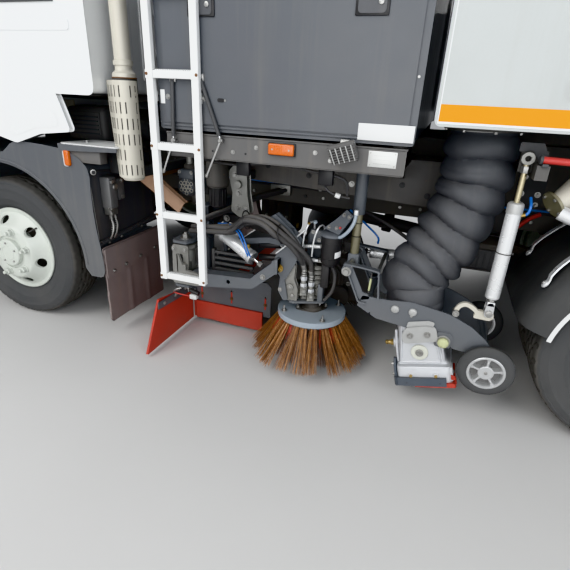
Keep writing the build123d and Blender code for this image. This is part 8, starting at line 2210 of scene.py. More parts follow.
def bumper():
    g = Group("bumper_beam", "chassis")
    prof = rounded([(-2.855, 0.380), (-2.875, 0.420), (-2.875, 0.740), (-2.855, 0.785), (-2.700, 0.785), (-2.700, 0.380)], [0.02, 0.03, 0.03, 0.02, 0.01, 0.01], 5)
    g.prism(prof, "xz", -1.120, 1.120, "dark_plastic", b=0.030, seg=4)
    ob = g.done("front_bumper", slot="chassis_black", sharp=40)
    cuts = [cut_prism(rounded([(-0.110, 0.372), (0.110, 0.372), (0.110, 0.600), (-0.110, 0.600)], 0.012), "yz", -2.95, -2.760)]
    for s in (-1, 1):
        cuts.append(cut_prism(rounded([(s * 0.70, 0.560), (s * 1.04, 0.560), (s * 1.04, 0.715), (s * 0.70, 0.715)], 0.03, 5), "yz", -2.95, -2.800))
    cuts.append(cut_prism(rounded([(-0.60, 0.625), (0.60, 0.625), (0.60, 0.735), (-0.60, 0.735)], 0.02, 4), "yz", -2.95, -2.845))
    cut_holes(ob, cuts)
    d = Group("bumper_details", "chassis")
    for s in (-1, 1):
        yc = s * 0.87
        d.box(-2.812, -2.800, yc - 0.165, yc + 0.165, 0.565, 0.710, "black_plastic", b=0.004)
        for yy, r in ((yc - 0.080, 0.060), (yc + 0.075, 0.055)):
            d.lathe([(0.0, r * 0.45), (0.020, r * 0.86), (0.044, r), (0.044, r * 1.06), (0.0, r * 1.06)], (-2.810, yy, 0.638), (-1, 0, 0), "chrome", seg=40)
            d.ball((-2.826, yy, 0.638), 0.014, "clear_lens", seg=14)
            d.lathe([(0.0, 0.0), (0.0, r * 1.02), (0.004, r * 1.02), (0.0075, r * 0.7), (0.009, 0.0)], (-2.856, yy, 0.638), (-1, 0, 0), "clear_lens", seg=40)
        d.box(-2.866, -2.862, yc - 0.168, yc + 0.168, 0.5635, 0.5685, "black_plastic", b=0.001)
        d.lathe([(0.0, 0.0), (0.0, 0.042), (0.006, 0.045), (0.010, 0.040), (0.013, 0.0)], (-2.872, s * 0.78, 0.478), (-1, 0, 0), "clear_lens", seg=36)
        d.ring((-2.8735, s * 0.78, 0.478), (1, 0, 0), 0.046, 0.004, "black_plastic", seg=36)
        for z in (0.46, 0.70):
            d.bolt((-2.80, s * 1.119, z), (0, s, 0), 0.009, "zinc")
        d.box(-2.702, -2.640, *sorted((s * 0.350, s * 0.420)), 0.700, 0.785, "chassis_paint", b=0.005)
        d.box(-2.728, -2.640, *sorted((s * 0.380, s * 0.4195)), 0.785, 0.880, "chassis_paint", b=0.005)
        d.cyl((-2.700, s * 0.415, 0.850), (-2.700, s * 0.470, 0.850), 0.0179, "zinc", seg=28, b=0.002)
        d.bolt((-2.700, s * 0.470, 0.850), (0, s, 0), 0.020, "zinc", h=0.010)
    for k in range(3):                                     # slats of the lower intake
        z = 0.650 + 0.030 * k
        d.prism([(-2.872, z), (-2.850, z - 0.004), (-2.850, z + 0.008), (-2.872, z + 0.010)], "xz", -0.592, 0.592, "black_plastic", b=0.001)
    d.box(-2.878, -2.872, -0.26, 0.26, 0.428 + 0.185, 0.428 + 0.188, "black_plastic", b=0)
    # jaw for a towing pin
    d.prism([(-0.060, 0.440), (0.060, 0.440), (0.060, 0.455), (-0.060, 0.455)], "yz", -2.868, -2.757, "chassis_paint", b=0.001, holes=())
    d.prism([(-0.060, 0.485), (0.060, 0.485), (0.060, 0.500), (-0.060, 0.500)], "yz", -2.868, -2.757, "chassis_paint", b=0.001, holes=())
    d.done(slot="chassis_black")
    j = Group("tow_jaw", "chassis")
    for z0, z1 in ((0.440, 0.4552), (0.4848, 0.500)):
        j.prism(rounded([(-2.868, -0.060), (-2.755, -0.060), (-2.755, 0.060), (-2.868, 0.060)], [0.03, 0.004, 0.004, 0.03], 5), "xy", z0, z1, "chassis_paint", b=0, holes=[circle(-2.830, 0.0, 0.0201, 32)])
    j.box(-2.782, -2.756, -0.060, 0.060, 0.441, 0.499, "chassis_paint", b=0.003)
    j.done(slot="chassis_black")


bumper()


def wings():
    """Grey moulded wings: step housing in front, arch, and the apron behind with its dark back plate."""
    for hand, s in (("left", -1), ("right", 1)):
        g = Group(f"wing_{hand}", "chassis")
        cx, cz, R = -1.625, 0.3985, 0.497
        # outer moulding as a shell: outline with the arch cut, rounded at its rear edge
        arch = [(cx + R * cos(a), cz + R * sin(a)) for a in [radians(t) for t in range(178, -6, -4)]]
        out = [(-2.640, 0.930), (-2.640, 0.400), (-2.1215, 0.405)] + arch + \
            [(-1.103, 0.345), (-1.052, 0.345), (-1.036, 0.351), (-1.027, 0.370), (-1.025, 0.400), (-1.029, 0.470), (-1.038, 0.540), (-1.046, 0.610), (-1.050, 0.700), (-1.049, 0.790), (-1.044, 0.860),
             (-1.052, 0.900), (-1.084, 0.934), (-1.130, 0.957), (-1.188, 0.974), (-1.300, 0.985), (-1.456, 0.992), (-1.500, 0.975), (-1.560, 0.930)]
        g.prism(out, "xz", *sorted((s * 0.640, s * 1.085)), "grey_plastic", b=0.022, seg=4)
        ob = g.done(slot="chassis_black", sharp=36) if hand == "right" else g.done("front_wings", slot="chassis_black", sharp=36)
        cuts = [cut_prism(rounded([(-2.560, z0), (-2.200, z0), (-2.200, z0 + 0.150), (-2.560, z0 + 0.150)], 0.02, 4), "xz", *sorted((s * 1.12, s * 0.860))) for z0 in (0.470, 0.720)]
        # hollow the apron from behind so that the dark plate sits in it
        cuts.append(cut_prism(rounded([(s * 0.62, 0.505), (s * 1.068, 0.480), (s * 1.068, 0.890), (s * 0.62, 0.860)], 0.02, 4), "yz", -1.062, -0.95))
        cut_holes(ob, cuts)
        d = Group(f"wing_details_{hand}", "chassis")
        y = s * 1.085
        # rolled lip round the arch
        lip = [(cx + (R + 0.004) * cos(radians(t)), y - s * 0.002, cz + (R + 0.004) * sin(radians(t))) for t in range(176, -2, -4)]
        d.tube(lip, 0.0075, "grey_plastic", seg=10, n=1)
        # treads in the footholds
        for z0 in (0.470, 0.720):
            for k in range(9):
                yy = s * (0.885 + 0.022 * k)
                d.box(-2.545, -2.215, yy - 0.005, yy + 0.005, z0 + 0.0005, z0 + 0.010, "alloy", b=0.002)
            d.box(-2.550, -2.210, *sorted((s * 1.070, s * 1.0865)), z0 - 0.004, z0 + 0.012, "alloy", b=0.003)
        # dark back plate in plane x = -1.055, folded along its lower edge
        d.prism([(s * 0.566, 0.560), (s * 1.052, 0.520), (s * 1.066, 0.872), (s * 0.587, 0.800)], "yz", -1.062, -1.056, "bare_plate", b=0.001)
        d.strip([(-1.050, s * 0.566, 0.553), (-1.050, s * 1.055, 0.517)], (0, 0.07 * -s, 1), 0.020, 0.014, "bare_plate", n=1)
        d.tube([(-1.0545, s * 1.051, 0.520), (-1.0545, s * 1.060, 0.700), (-1.0545, s * 1.065, 0.870)], 0.0022, "zinc", seg=6)
        d.tube([(-1.046, s * 0.570, 0.545), (-1.046, s * 1.040, 0.512), (-1.044, s * 1.062, 0.506)], 0.0105, "bare_plate", seg=12, n=3)
        for yy in (0.72, 0.90, 1.000):
            d.bolt((-1.040, s * yy, 0.528 - 0.07 * (yy - 0.72)), (1, 0, 0), 0.007, "zinc")
        d.ring((-1.042, s * 1.056, 0.512), (1, 0, 0), 0.013, 0.0035, "zinc", seg=24, rs=8)
        # air valve with its filter bowl and two armoured hoses
        c = V((-1.020, s * 0.985, 0.745))
        d.box(-1.056, -0.996, *sorted((s * 0.945, s * 1.000)), 0.690, 0.850, "valve_grey", b=0.006)
        d.box(-1.056, -1.006, *sorted((s * 0.870, s * 0.925)), 0.720, 0.835, "valve_grey", b=0.010)
        d.cyl((-0.998, s * 0.960, 0.800), (-0.988, s * 0.960, 0.800), 0.016, "zinc", seg=20, b=0.003)
        d.cyl((-0.998, s * 0.984, 0.828), (-0.986, s * 0.984, 0.828), 0.010, "zinc", seg=6, b=0.001)
        for dy, zz in ((0.895, 0.822), (0.895, 0.738)):
            d.bolt((-1.006, s * dy, zz), (1, 0, 0), 0.0075, "zinc")
        d.box(-1.050, -1.000, *sorted((s * 0.950, s * 0.998)), 0.655, 0.695, "zinc", b=0.005)
        d.tube([(-0.998, s * 0.995, 0.672), (-0.985, s * 1.020, 0.690), (-0.984, s * 1.036, 0.706)], 0.0035, "zinc", seg=8)
        for dy in (0.985, 0.955):
            d.cyl((-1.022, s * dy, 0.655), (-1.020, s * dy, 0.632), 0.0085, "zinc", seg=6)
            d.tube([(-1.020, s * dy, 0.640), (-1.010, s * dy, 0.600), (-1.014, s * (dy + 0.008), 0.560), (-1.030, s * (dy + 0.012), 0.528)], 0.0052, "zinc", seg=8)
            for k in range(6):
                t = k / 5
                d.ring((-1.017 + 0.003 * sin(6 * t), s * (dy + 0.003 * t), 0.626 - 0.060 * t), (0, 0, 1), 0.0052, 0.0012, "data_plate", seg=12, rs=5)
        d.cyl((-1.056, s * 1.040, 0.884), (-1.020, s * 1.070, 0.884), 0.014, "zinc", seg=20, b=0.002)
        d.cyl((-1.0205, s * 1.0695, 0.884), (-1.0195, s * 1.0705, 0.884), 0.0095, "black_plastic", seg=16)
        d.tube([(-1.052, s * 1.06, 0.884), (-1.050, s * 0.95, 0.876), (-1.048, s * 0.86, 0.872)], 0.007, "chassis_paint", seg=8)
        # pale bracket on top with its grey lamp box and amber side lamp
        d.prism(rounded([(-1.186, s * 1.096), (-0.850, s * 1.096), (-0.850, s * 0.900), (-1.150, s * 0.900)], [0.03, 0.004, 0.004, 0.004], 4), "xy", 1.008, 1.014, "ladder_paint", b=0.002)
        d.prism([(-1.184, 0.978), (-0.852, 0.992), (-0.852, 1.008), (-1.186, 1.008)], "xz", *sorted((s * 1.090, s * 1.0965)), "grey_plastic", b=0.002)
        d.box(-1.150, -0.96, *sorted((s * 1.030, s * 1.082)), 0.925, 0.985, "beam_grey", b=0.006)
        d.box(-1.176, -1.146, *sorted((s * 1.028, s * 1.094)), 0.900, 0.992, "white_cap", b=0.012, seg=3)
        d.box(-1.162, -1.130, *sorted((s * 1.078, s * 1.1015)), 0.906, 0.982, "amber_lens", b=0.014, seg=4)
        d.tube([(-1.150, s * 1.086, 0.984), (-1.100, s * 1.090, 0.997), (-1.060, s * 1.080, 0.985)], 0.006, "black_plastic", seg=8)
        d.bolt((-1.100, s * 1.00, 1.014), (0, 0, 1), 0.006, "zinc")
        d.box(-1.04, -0.98, *sorted((s * 0.900, s * 0.930)), 0.860, 1.008, "chassis_paint", b=0.004)
        d.prism([(s * 0.60, 0.880), (s * 1.060, 0.950), (s * 1.060, 0.975), (s * 0.60, 0.930)], "yz", -1.04, -1.034, "chassis_paint", b=0.001)
        d.done(slot="chassis_black")

    # mud flaps: thick, rust-brown rubber with moulded folds, bolts and a frayed edge
    f = Group("flap_sheets", "chassis")
    rnd = random.Random(5)
    for x0, z0, z1, lean in ((-1.018, 0.070, 0.500, 0.0), (1.915, 0.090, 0.520, 0.0)):
        for s in (-1, 1):
            ny, nz = 40, 28
            vs, fs = [], []
            for side in (0, 1):
                for i in range(ny + 1):
                    for j in range(nz + 1):
                        t, u = i / ny, j / nz
                        yy = 0.592 + 0.486 * t
                        zz = z0 + (z1 - z0) * u
                        fold = 0.006 * (math.exp(-((t - 0.30) / 0.03) ** 2) + math.exp(-((t - 0.62) / 0.035) ** 2)) + 0.004 * sin(5.0 * t + 1.0) * (1 - u)
                        if i in (0, ny):
                            yy += rnd.uniform(-0.0035, 0.0035) * (0.3 + u if i == ny else 0.3)
                        if i == ny and j == 0:
                            yy -= 0.020
                        vs.append(V((x0 + (0.0045 if side else -0.0045) + fold * (1 - 0.5 * u), s * yy, zz)))
            o = (ny + 1) * (nz + 1)
            for i in range(ny):
                for j in range(nz):
                    a = i * (nz + 1) + j
                    q1 = (a, a + 1, a + nz + 2, a + nz + 1)
                    q2 = tuple(o + k for k in q1[::-1])
                    fs += [q1 if s > 0 else q1[::-1], q2 if s > 0 else q2[::-1]]
            rim = [i * (nz + 1) for i in range(ny + 1)] + [ny * (nz + 1) + j for j in range(1, nz + 1)] + [i * (nz + 1) + nz for i in range(ny - 1, -1, -1)] + [j for j in range(nz - 1, 0, -1)]
            for a, b in zip(rim, rim[1:] + rim[:1]):
                fs.append((a, b, b + o, a + o))
            f.raw(vs, fs, "flap_rubber")
            zb = 0.432 if x0 < 0 else 0.480
            # clamped upper strip with folds, as a second layer
            f.prism(rounded([(s * 0.600, zb - 0.075), (s * 1.078, zb - 0.100), (s * 1.078, zb + 0.060), (s * 0.600, zb + 0.060)], 0.008), "yz", x0 + 0.0085, x0 + 0.0150, "flap_rubber", b=0.002)
            for yy in (0.66, 0.80, 0.93, 1.03):
                f.bolt((x0 + 0.0150, s * yy, zb - 0.052 - 0.05 * (yy - 0.66)), (1, 0, 0), 0.0075, "zinc")
    f.done("mudflaps", slot="flap_rubber")


wings()


# ------------------------------------------------------------------ springs, axles, knuckles, engine and shaft
def springs():
    g = Group("spring_leaves", "chassis")
    for cx, seat, half in ((-1.625, 0.425, 0.600), (1.425, 0.490, 0.640)):
        for s in (-1, 1):
            y = s * 0.385
            for k in range(6):
                h = half * (1 - 0.145 * k)
                zc = seat + 0.068 - 0.0125 * k

                def zz(x):
                    return zc + (0.655 - seat - 0.068) * abs(x / half) ** 1.7
                pts = [(cx + x, y, zz(x)) for x in [h * (i / 8.0) for i in range(-8, 9)]]
                g.strip(pts, (0, 1, 0), 0.066, 0.0112, "engine_iron", n=2)
                if k:
                    for e in (-1, 1):
                        if k in (2, 4):
                            g.box(cx + e * (h - 0.05) - 0.012, cx + e * (h - 0.05) + 0.012, y - 0.0345, y + 0.0345, zz(h - 0.05) - 0.010, zz(h - 0.05) + 0.010, "chassis_paint", b=0.002)
            for e in (-1, 1):
                xe = cx + e * (half - 0.012)
                g.lathe([(-0.034, 0.014), (-0.034, 0.027), (0.034, 0.027), (0.034, 0.014)], (xe, y, 0.668), (0, 1, 0), "engine_iron", seg=28, closed=True)
                g.cyl((xe, y - 0.044, 0.668), (xe, y + 0.044, 0.668), 0.0138, "zinc", seg=20, b=0.002)
                for d in (-0.040, 0.040):
                    g.prism(rounded([(xe - 0.034, 0.640), (xe + 0.034, 0.640), (xe + 0.044, 0.702), (xe - 0.044, 0.702)], [0.03, 0.03, 0.002, 0.002], 5), "xz", y + d - 0.004, y + d + 0.004, "chassis_paint", b=0.001)
                g.bolt((xe, y - 0.044 if s < 0 else y + 0.044, 0.668), (0, s, 0), 0.012, "zinc")
            for dx in (-0.068, 0.068):
                g.tube([(cx + dx, y - 0.043, seat - 0.045), (cx + dx, y - 0.043, seat + 0.066), (cx + dx, y - 0.030, seat + 0.086), (cx + dx, y + 0.030, seat + 0.086), (cx + dx, y + 0.043, seat + 0.066), (cx + dx, y + 0.043, seat - 0.045)],
                       0.0075, "engine_iron", seg=10, n=4)
            g.box(cx - 0.090, cx + 0.090, y - 0.040, y + 0.040, seat + 0.070, seat + 0.080, "engine_iron", b=0.003)
            # telescopic damper beside each spring
            p, q = V((cx + 0.11, s * 0.310, seat + 0.02)), V((cx + 0.26, s * 0.322, 0.780))
            d = (q - p).normalized()
            g.cyl(p, p + d * 0.20, 0.027, "under_dark", seg=24, b=0.004)
            g.cyl(p + d * 0.16, q, 0.033, "under_dark", seg=24, b=0.004)
            g.cyl(q + V((0, -0.02, 0)), q + V((0, 0.03 * s, 0)), 0.014, "zinc", seg=14, b=0.002)
    g.done("leaf_springs", slot="chassis_black")


springs()


def axles():
    g = Group("front_axle_beam", "chassis")
    x = -1.625
    for z0, z1 in ((0.345, 0.361), (0.409, 0.425)):
        g.prism(rounded([(x - 0.045, -0.775), (x + 0.045, -0.775), (x + 0.045, 0.775), (x - 0.045, 0.775)], 0.02, 3), "xy", z0, z1, "engine_iron", b=0.004)
    g.box(x - 0.014, x + 0.014, -0.775, 0.775, 0.355, 0.415, "engine_iron", b=0.004)
    for s in (-1, 1):
        g.lathe([(0.340, 0.0203), (0.340, 0.039), (0.343, 0.042), (0.454, 0.042), (0.457, 0.039), (0.457, 0.0203)], (x, s * 0.820, 0), (0, 0, 1), "engine_iron", seg=36, closed=True)
        g.box(x - 0.035, x + 0.035, *sorted((s * 0.765, s * 0.796)), 0.348, 0.422, "engine_iron", b=0.010)
        g.box(x - 0.060, x + 0.060, *sorted((s * 0.345, s * 0.425)), 0.345, 0.4255, "engine_iron", b=0.006)
        for dx in (-0.068, 0.068):
            for dy in (0.342, 0.428):
                g.bolt((x + dx, s * dy, 0.3745), (0, 0, -1), 0.010, "zinc", stud=0.012)
    g.tube([(x + 0.16, -0.30, 0.335), (x + 0.18, 0.0, 0.352), (x + 0.16, 0.30, 0.335)], 0.011, "chassis_paint", seg=12)
    g.done("front_axle", slot="engine_metal")
    for hand, s in (("left", -1), ("right", 1)):
        k = Group(f"steering_knuckle_{hand}", f"{hand}_steer")
        y = s * 0.820
        k.cyl((x, y, 0.297), (x, y, 0.500), 0.0199, "alloy", seg=28, b=0.002)
        for z0, z1 in ((0.2975, 0.334), (0.463, 0.4995)):
            k.prism(rounded([(x - 0.038, s * 0.783), (x + 0.038, s * 0.783), (x + 0.038, s * 0.894), (x - 0.038, s * 0.894)], [0.036, 0.036, 0.006, 0.006], 6), "xy", z0, z1, "engine_iron", b=0.004)
        k.prism(rounded([(x - 0.042, 0.300), (x + 0.042, 0.300), (x + 0.055, 0.398), (x + 0.042, 0.497), (x - 0.042, 0.497), (x - 0.055, 0.398)], 0.02, 4), "xz", *sorted((s * 0.868, s * 0.8949)), "engine_iron", b=0.005)
        k.cyl((x, s * 0.890, 0.3985), (x, s * 1.0665, 0.3985), 0.0399, "alloy", seg=40, b=0.004)
        for z, d in ((0.2975, -1), (0.4995, 1)):
            k.cyl((x, y, z), (x, y, z + d * 0.005), 0.028, "engine_iron", seg=24, b=0.002)
            k.cyl((x, y, z + d * 0.004), (x, y, z + d * 0.014), 0.004, "brass", seg=10)
        k.prism(rounded([(x + 0.010, s * 0.802), (x + 0.150, s * 0.806), (x + 0.170, s * 0.825), (x + 0.150, s * 0.848), (x + 0.010, s * 0.848)], 0.012, 4), "xy", 0.3005, 0.3245, "engine_iron", b=0.004)
        k.ball((x + 0.150, s * 0.826, 0.334), 0.016, "engine_iron", seg=16)
        k.done(f"{hand}_knuckle", slot="engine_metal")

    r = Group("rear_axle_case", "chassis")
    x = 1.425
    for s in (-1, 1):
        r.lathe([(0.120, 0.110), (0.170, 0.082), (0.220, 0.075), (0.620, 0.075), (0.629, 0.071), (0.630, 0.0449), (0.974, 0.0449), (0.975, 0.040), (0.975, 0.0)], (x, 0, 0.3985), (0, s, 0), "engine_iron", seg=44)
        r.box(x - 0.060, x + 0.060, *sorted((s * 0.350, s * 0.420)), 0.400, 0.4905, "engine_iron", b=0.006)
        for dx in (-0.068, 0.068):
            for dy in (0.342, 0.428):
                r.bolt((x + dx, s * dy, 0.440), (0, 0, -1), 0.010, "zinc", stud=0.012)
        # brake chamber
        c = V((x + 0.150, s * 0.50, 0.520))
        r.lathe([(0.0, 0.0), (0.0, 0.050), (0.016, 0.066), (0.044, 0.070), (0.050, 0.074), (0.058, 0.074), (0.064, 0.070), (0.100, 0.062), (0.114, 0.030), (0.114, 0.0)], c, (0.9, 0, 0.42), "under_dark", seg=32)
        r.cyl(c, (x + 0.02, s * 0.52, 0.455), 0.010, "zinc", seg=12)
        r.box(x + 0.01, x + 0.16, *sorted((s * 0.470, s * 0.530)), 0.452, 0.470, "engine_iron", b=0.004)
    prof = [(-0.128, 0.0), (-0.128, 0.085), (-0.110, 0.128), (-0.070, 0.160), (-0.020, 0.1735), (0.020, 0.1735), (0.070, 0.160), (0.110, 0.128), (0.128, 0.085), (0.128, 0.0)]
    r.lathe(prof, (x, 0, 0.3985), (0, 1, 0), "engine_iron", seg=56)
    r.lathe([(0.100, 0.148), (0.168, 0.148), (0.172, 0.140), (0.176, 0.10), (0.178, 0.0)], (x, 0, 0.3985), (1, 0, 0), "engine_iron", seg=48)
    for k in range(12):
        a = 2 * pi * k / 12
        r.bolt((x + 0.170, 0.130 * cos(a), 0.3985 + 0.130 * sin(a)), (1, 0, 0), 0.0075, "zinc", washer=False)
    r.lathe([(0.0, 0.075), (0.060, 0.070), (0.110, 0.062), (0.140, 0.052), (0.146, 0.0475)], (1.400, 0, 0.4085), (-0.99, 0, 0.138), "engine_iron", seg=40)
    for k in range(4):
        a = pi / 4 + pi / 2 * k
        r.bolt((1.268, 0.056 * cos(a), 0.4285 + 0.056 * sin(a)), (-1, 0, 0), 0.006, "zinc", washer=False)
    r.done("rear_axle", slot="engine_metal")


axles()


def engine():
    g = Group("truck_engine", "chassis")
    prof = rounded([(-0.180, 0.600), (0.180, 0.600), (0.235, 0.720), (0.235, 1.020), (0.170, 1.060), (-0.170, 1.060), (-0.235, 1.020), (-0.235, 0.720)], 0.03, 4)
    g.prism(prof, "yz", -2.020, -1.230, "engine_iron", b=0.015)
    g.prism(rounded([(-0.150, 0.525), (0.150, 0.525), (0.180, 0.560), (0.180, 0.610), (-0.180, 0.610), (-0.180, 0.560)], 0.02, 4), "yz", -1.980, -1.280, "under_dark", b=0.02)
    g.prism(rounded([(-0.120, 1.050), (0.120, 1.050), (0.120, 1.110), (0.080, 1.128), (-0.080, 1.128), (-0.120, 1.110)], 0.012, 4), "yz", -1.960, -1.260, "motor_alloy", b=0.012)
    for k in range(6):
        x = -1.90 + 0.115 * k
        g.box(x - 0.010, x + 0.010, -0.246, 0.246, 0.640, 1.000, "engine_iron", b=0.004)
        for s in (-1, 1):
            g.tube([(x + 0.03, s * 0.230, 0.930), (x + 0.03, s * 0.272, 0.930), (x + 0.03, s * 0.284, 0.890), (x + 0.05, s * 0.284, 0.860)], 0.017, "rust_steel" if s > 0 else "motor_alloy", seg=12)
    for s, m in ((1, "rust_steel"), (-1, "motor_alloy")):
        g.tube([(-1.88, s * 0.276, 0.860), (-1.60, s * 0.276, 0.860), (-1.30, s * 0.276, 0.860), (-1.24, s * 0.272, 0.820), (-1.22, s * 0.262, 0.740)], 0.022, m, seg=16)
    # front drive: pulleys, fan shroud and radiator
    g.box(-2.108, -2.070, -0.298, 0.298, 0.560, 1.125, "under_dark", b=0.010)
    for k in range(30):
        z = 0.590 + 0.017 * k
        g.box(-2.1095, -2.068, -0.270, 0.270, z, z + 0.004, "engine_iron", b=0)
    g.ring((-2.060, 0, 0.840), (1, 0, 0), 0.235, 0.012, "dark_plastic", seg=48)
    for k in range(9):
        a = 2 * pi * k / 9
        e = V((0, cos(a), sin(a)))
        g.strip([V((-2.055, 0, 0.84)) + e * 0.03, V((-2.055, 0, 0.84)) + e * 0.13, V((-2.055, 0, 0.84)) + e * 0.222], V((0.6, -sin(a), cos(a))), 0.055, 0.004, "dark_plastic", n=2)
    g.cyl((-2.075, 0, 0.84), (-2.02, 0, 0.84), 0.045, "motor_alloy", seg=28, b=0.004)
    for y, z, rr in ((-0.14, 0.70, 0.060), (0.15, 0.72, 0.050), (0.16, 0.93, 0.042)):
        g.cyl((-2.045, y, z), (-2.018, y, z), rr, "zinc", seg=32, b=0.004)
    g.cyl((-1.75, -0.250, 0.690), (-1.75, -0.296, 0.690), 0.045, "engine_green", seg=28, b=0.006)
    g.cyl((-1.55, -0.262, 0.760), (-1.55, -0.262, 0.620), 0.036, "dark_plastic", seg=28, b=0.006)
    g.done("engine_block", slot="engine_metal")
    d = Group("gearbox_and_shaft", "chassis")
    d.lathe([(0.0, 0.178), (0.030, 0.178), (0.060, 0.165), (0.160, 0.135), (0.200, 0.128), (0.200, 0.0)], (-1.199, 0, 0.690), (1, 0, 0), "motor_alloy", seg=48)
    d.prism(rounded([(-0.130, 0.545), (0.130, 0.545), (0.150, 0.640), (0.130, 0.800), (-0.130, 0.800), (-0.150, 0.640)], 0.03, 4), "yz", -1.040, -0.700, "motor_alloy", b=0.015)
    for k in range(5):
        x = -1.00 + 0.065 * k
        d.box(x - 0.006, x + 0.006, -0.156, 0.156, 0.570, 0.790, "motor_alloy", b=0.003)
    d.box(-0.98, -0.80, -0.080, 0.080, 0.795, 0.829, "motor_alloy", b=0.010)
    d.cyl((-0.705, 0, 0.662), (-0.649, 0, 0.660), 0.062, "engine_iron", seg=32, b=0.006)
    a, b_ = V((-0.640, 0, 0.660)), V((1.260, 0, 0.430))
    u = (b_ - a).normalized()
    d.cyl(a + u * 0.10, b_ - u * 0.10, 0.038, "chassis_paint", seg=32)
    for p, sg in ((a, 1), (b_, -1)):
        d.cyl(p, p + u * sg * 0.020, 0.0445, "engine_iron", seg=32, b=0.003)
        d.lathe([(0.085, 0.0), (0.085, 0.024), (0.098, 0.040), (0.125, 0.0445), (0.150, 0.039), (0.150, 0.0)], p, u * sg, "engine_iron", seg=28)
        c = p + u * sg * 0.052
        d.cyl(c - V((0, 0.040, 0)), c + V((0, 0.040, 0)), 0.013, "zinc", seg=16, b=0.002)
        d.cyl(c - V((0, 0, 0.040)), c + V((0, 0, 0.040)), 0.013, "zinc", seg=16, b=0.002)
        for y in (-0.034, 0.034):
            d.box(c.x - 0.040, c.x + 0.010, y - 0.007, y + 0.007, c.z - 0.018, c.z + 0.018, "engine_iron", b=0.005)
            d.box(c.x - 0.010, c.x + 0.042, -0.018, 0.018, c.z + y - 0.007, c.z + y + 0.007, "engine_iron", b=0.005)
    m = a + u * 0.95
    d.cyl(m - u * 0.030, m + u * 0.030, 0.060, "dark_rubber", seg=32, b=0.008)
    d.box(m.x - 0.020, m.x + 0.020, -0.340, 0.340, m.z + 0.052, m.z + 0.068, "chassis_paint", b=0.003)
    d.done("driveline", slot="engine_metal")


engine()


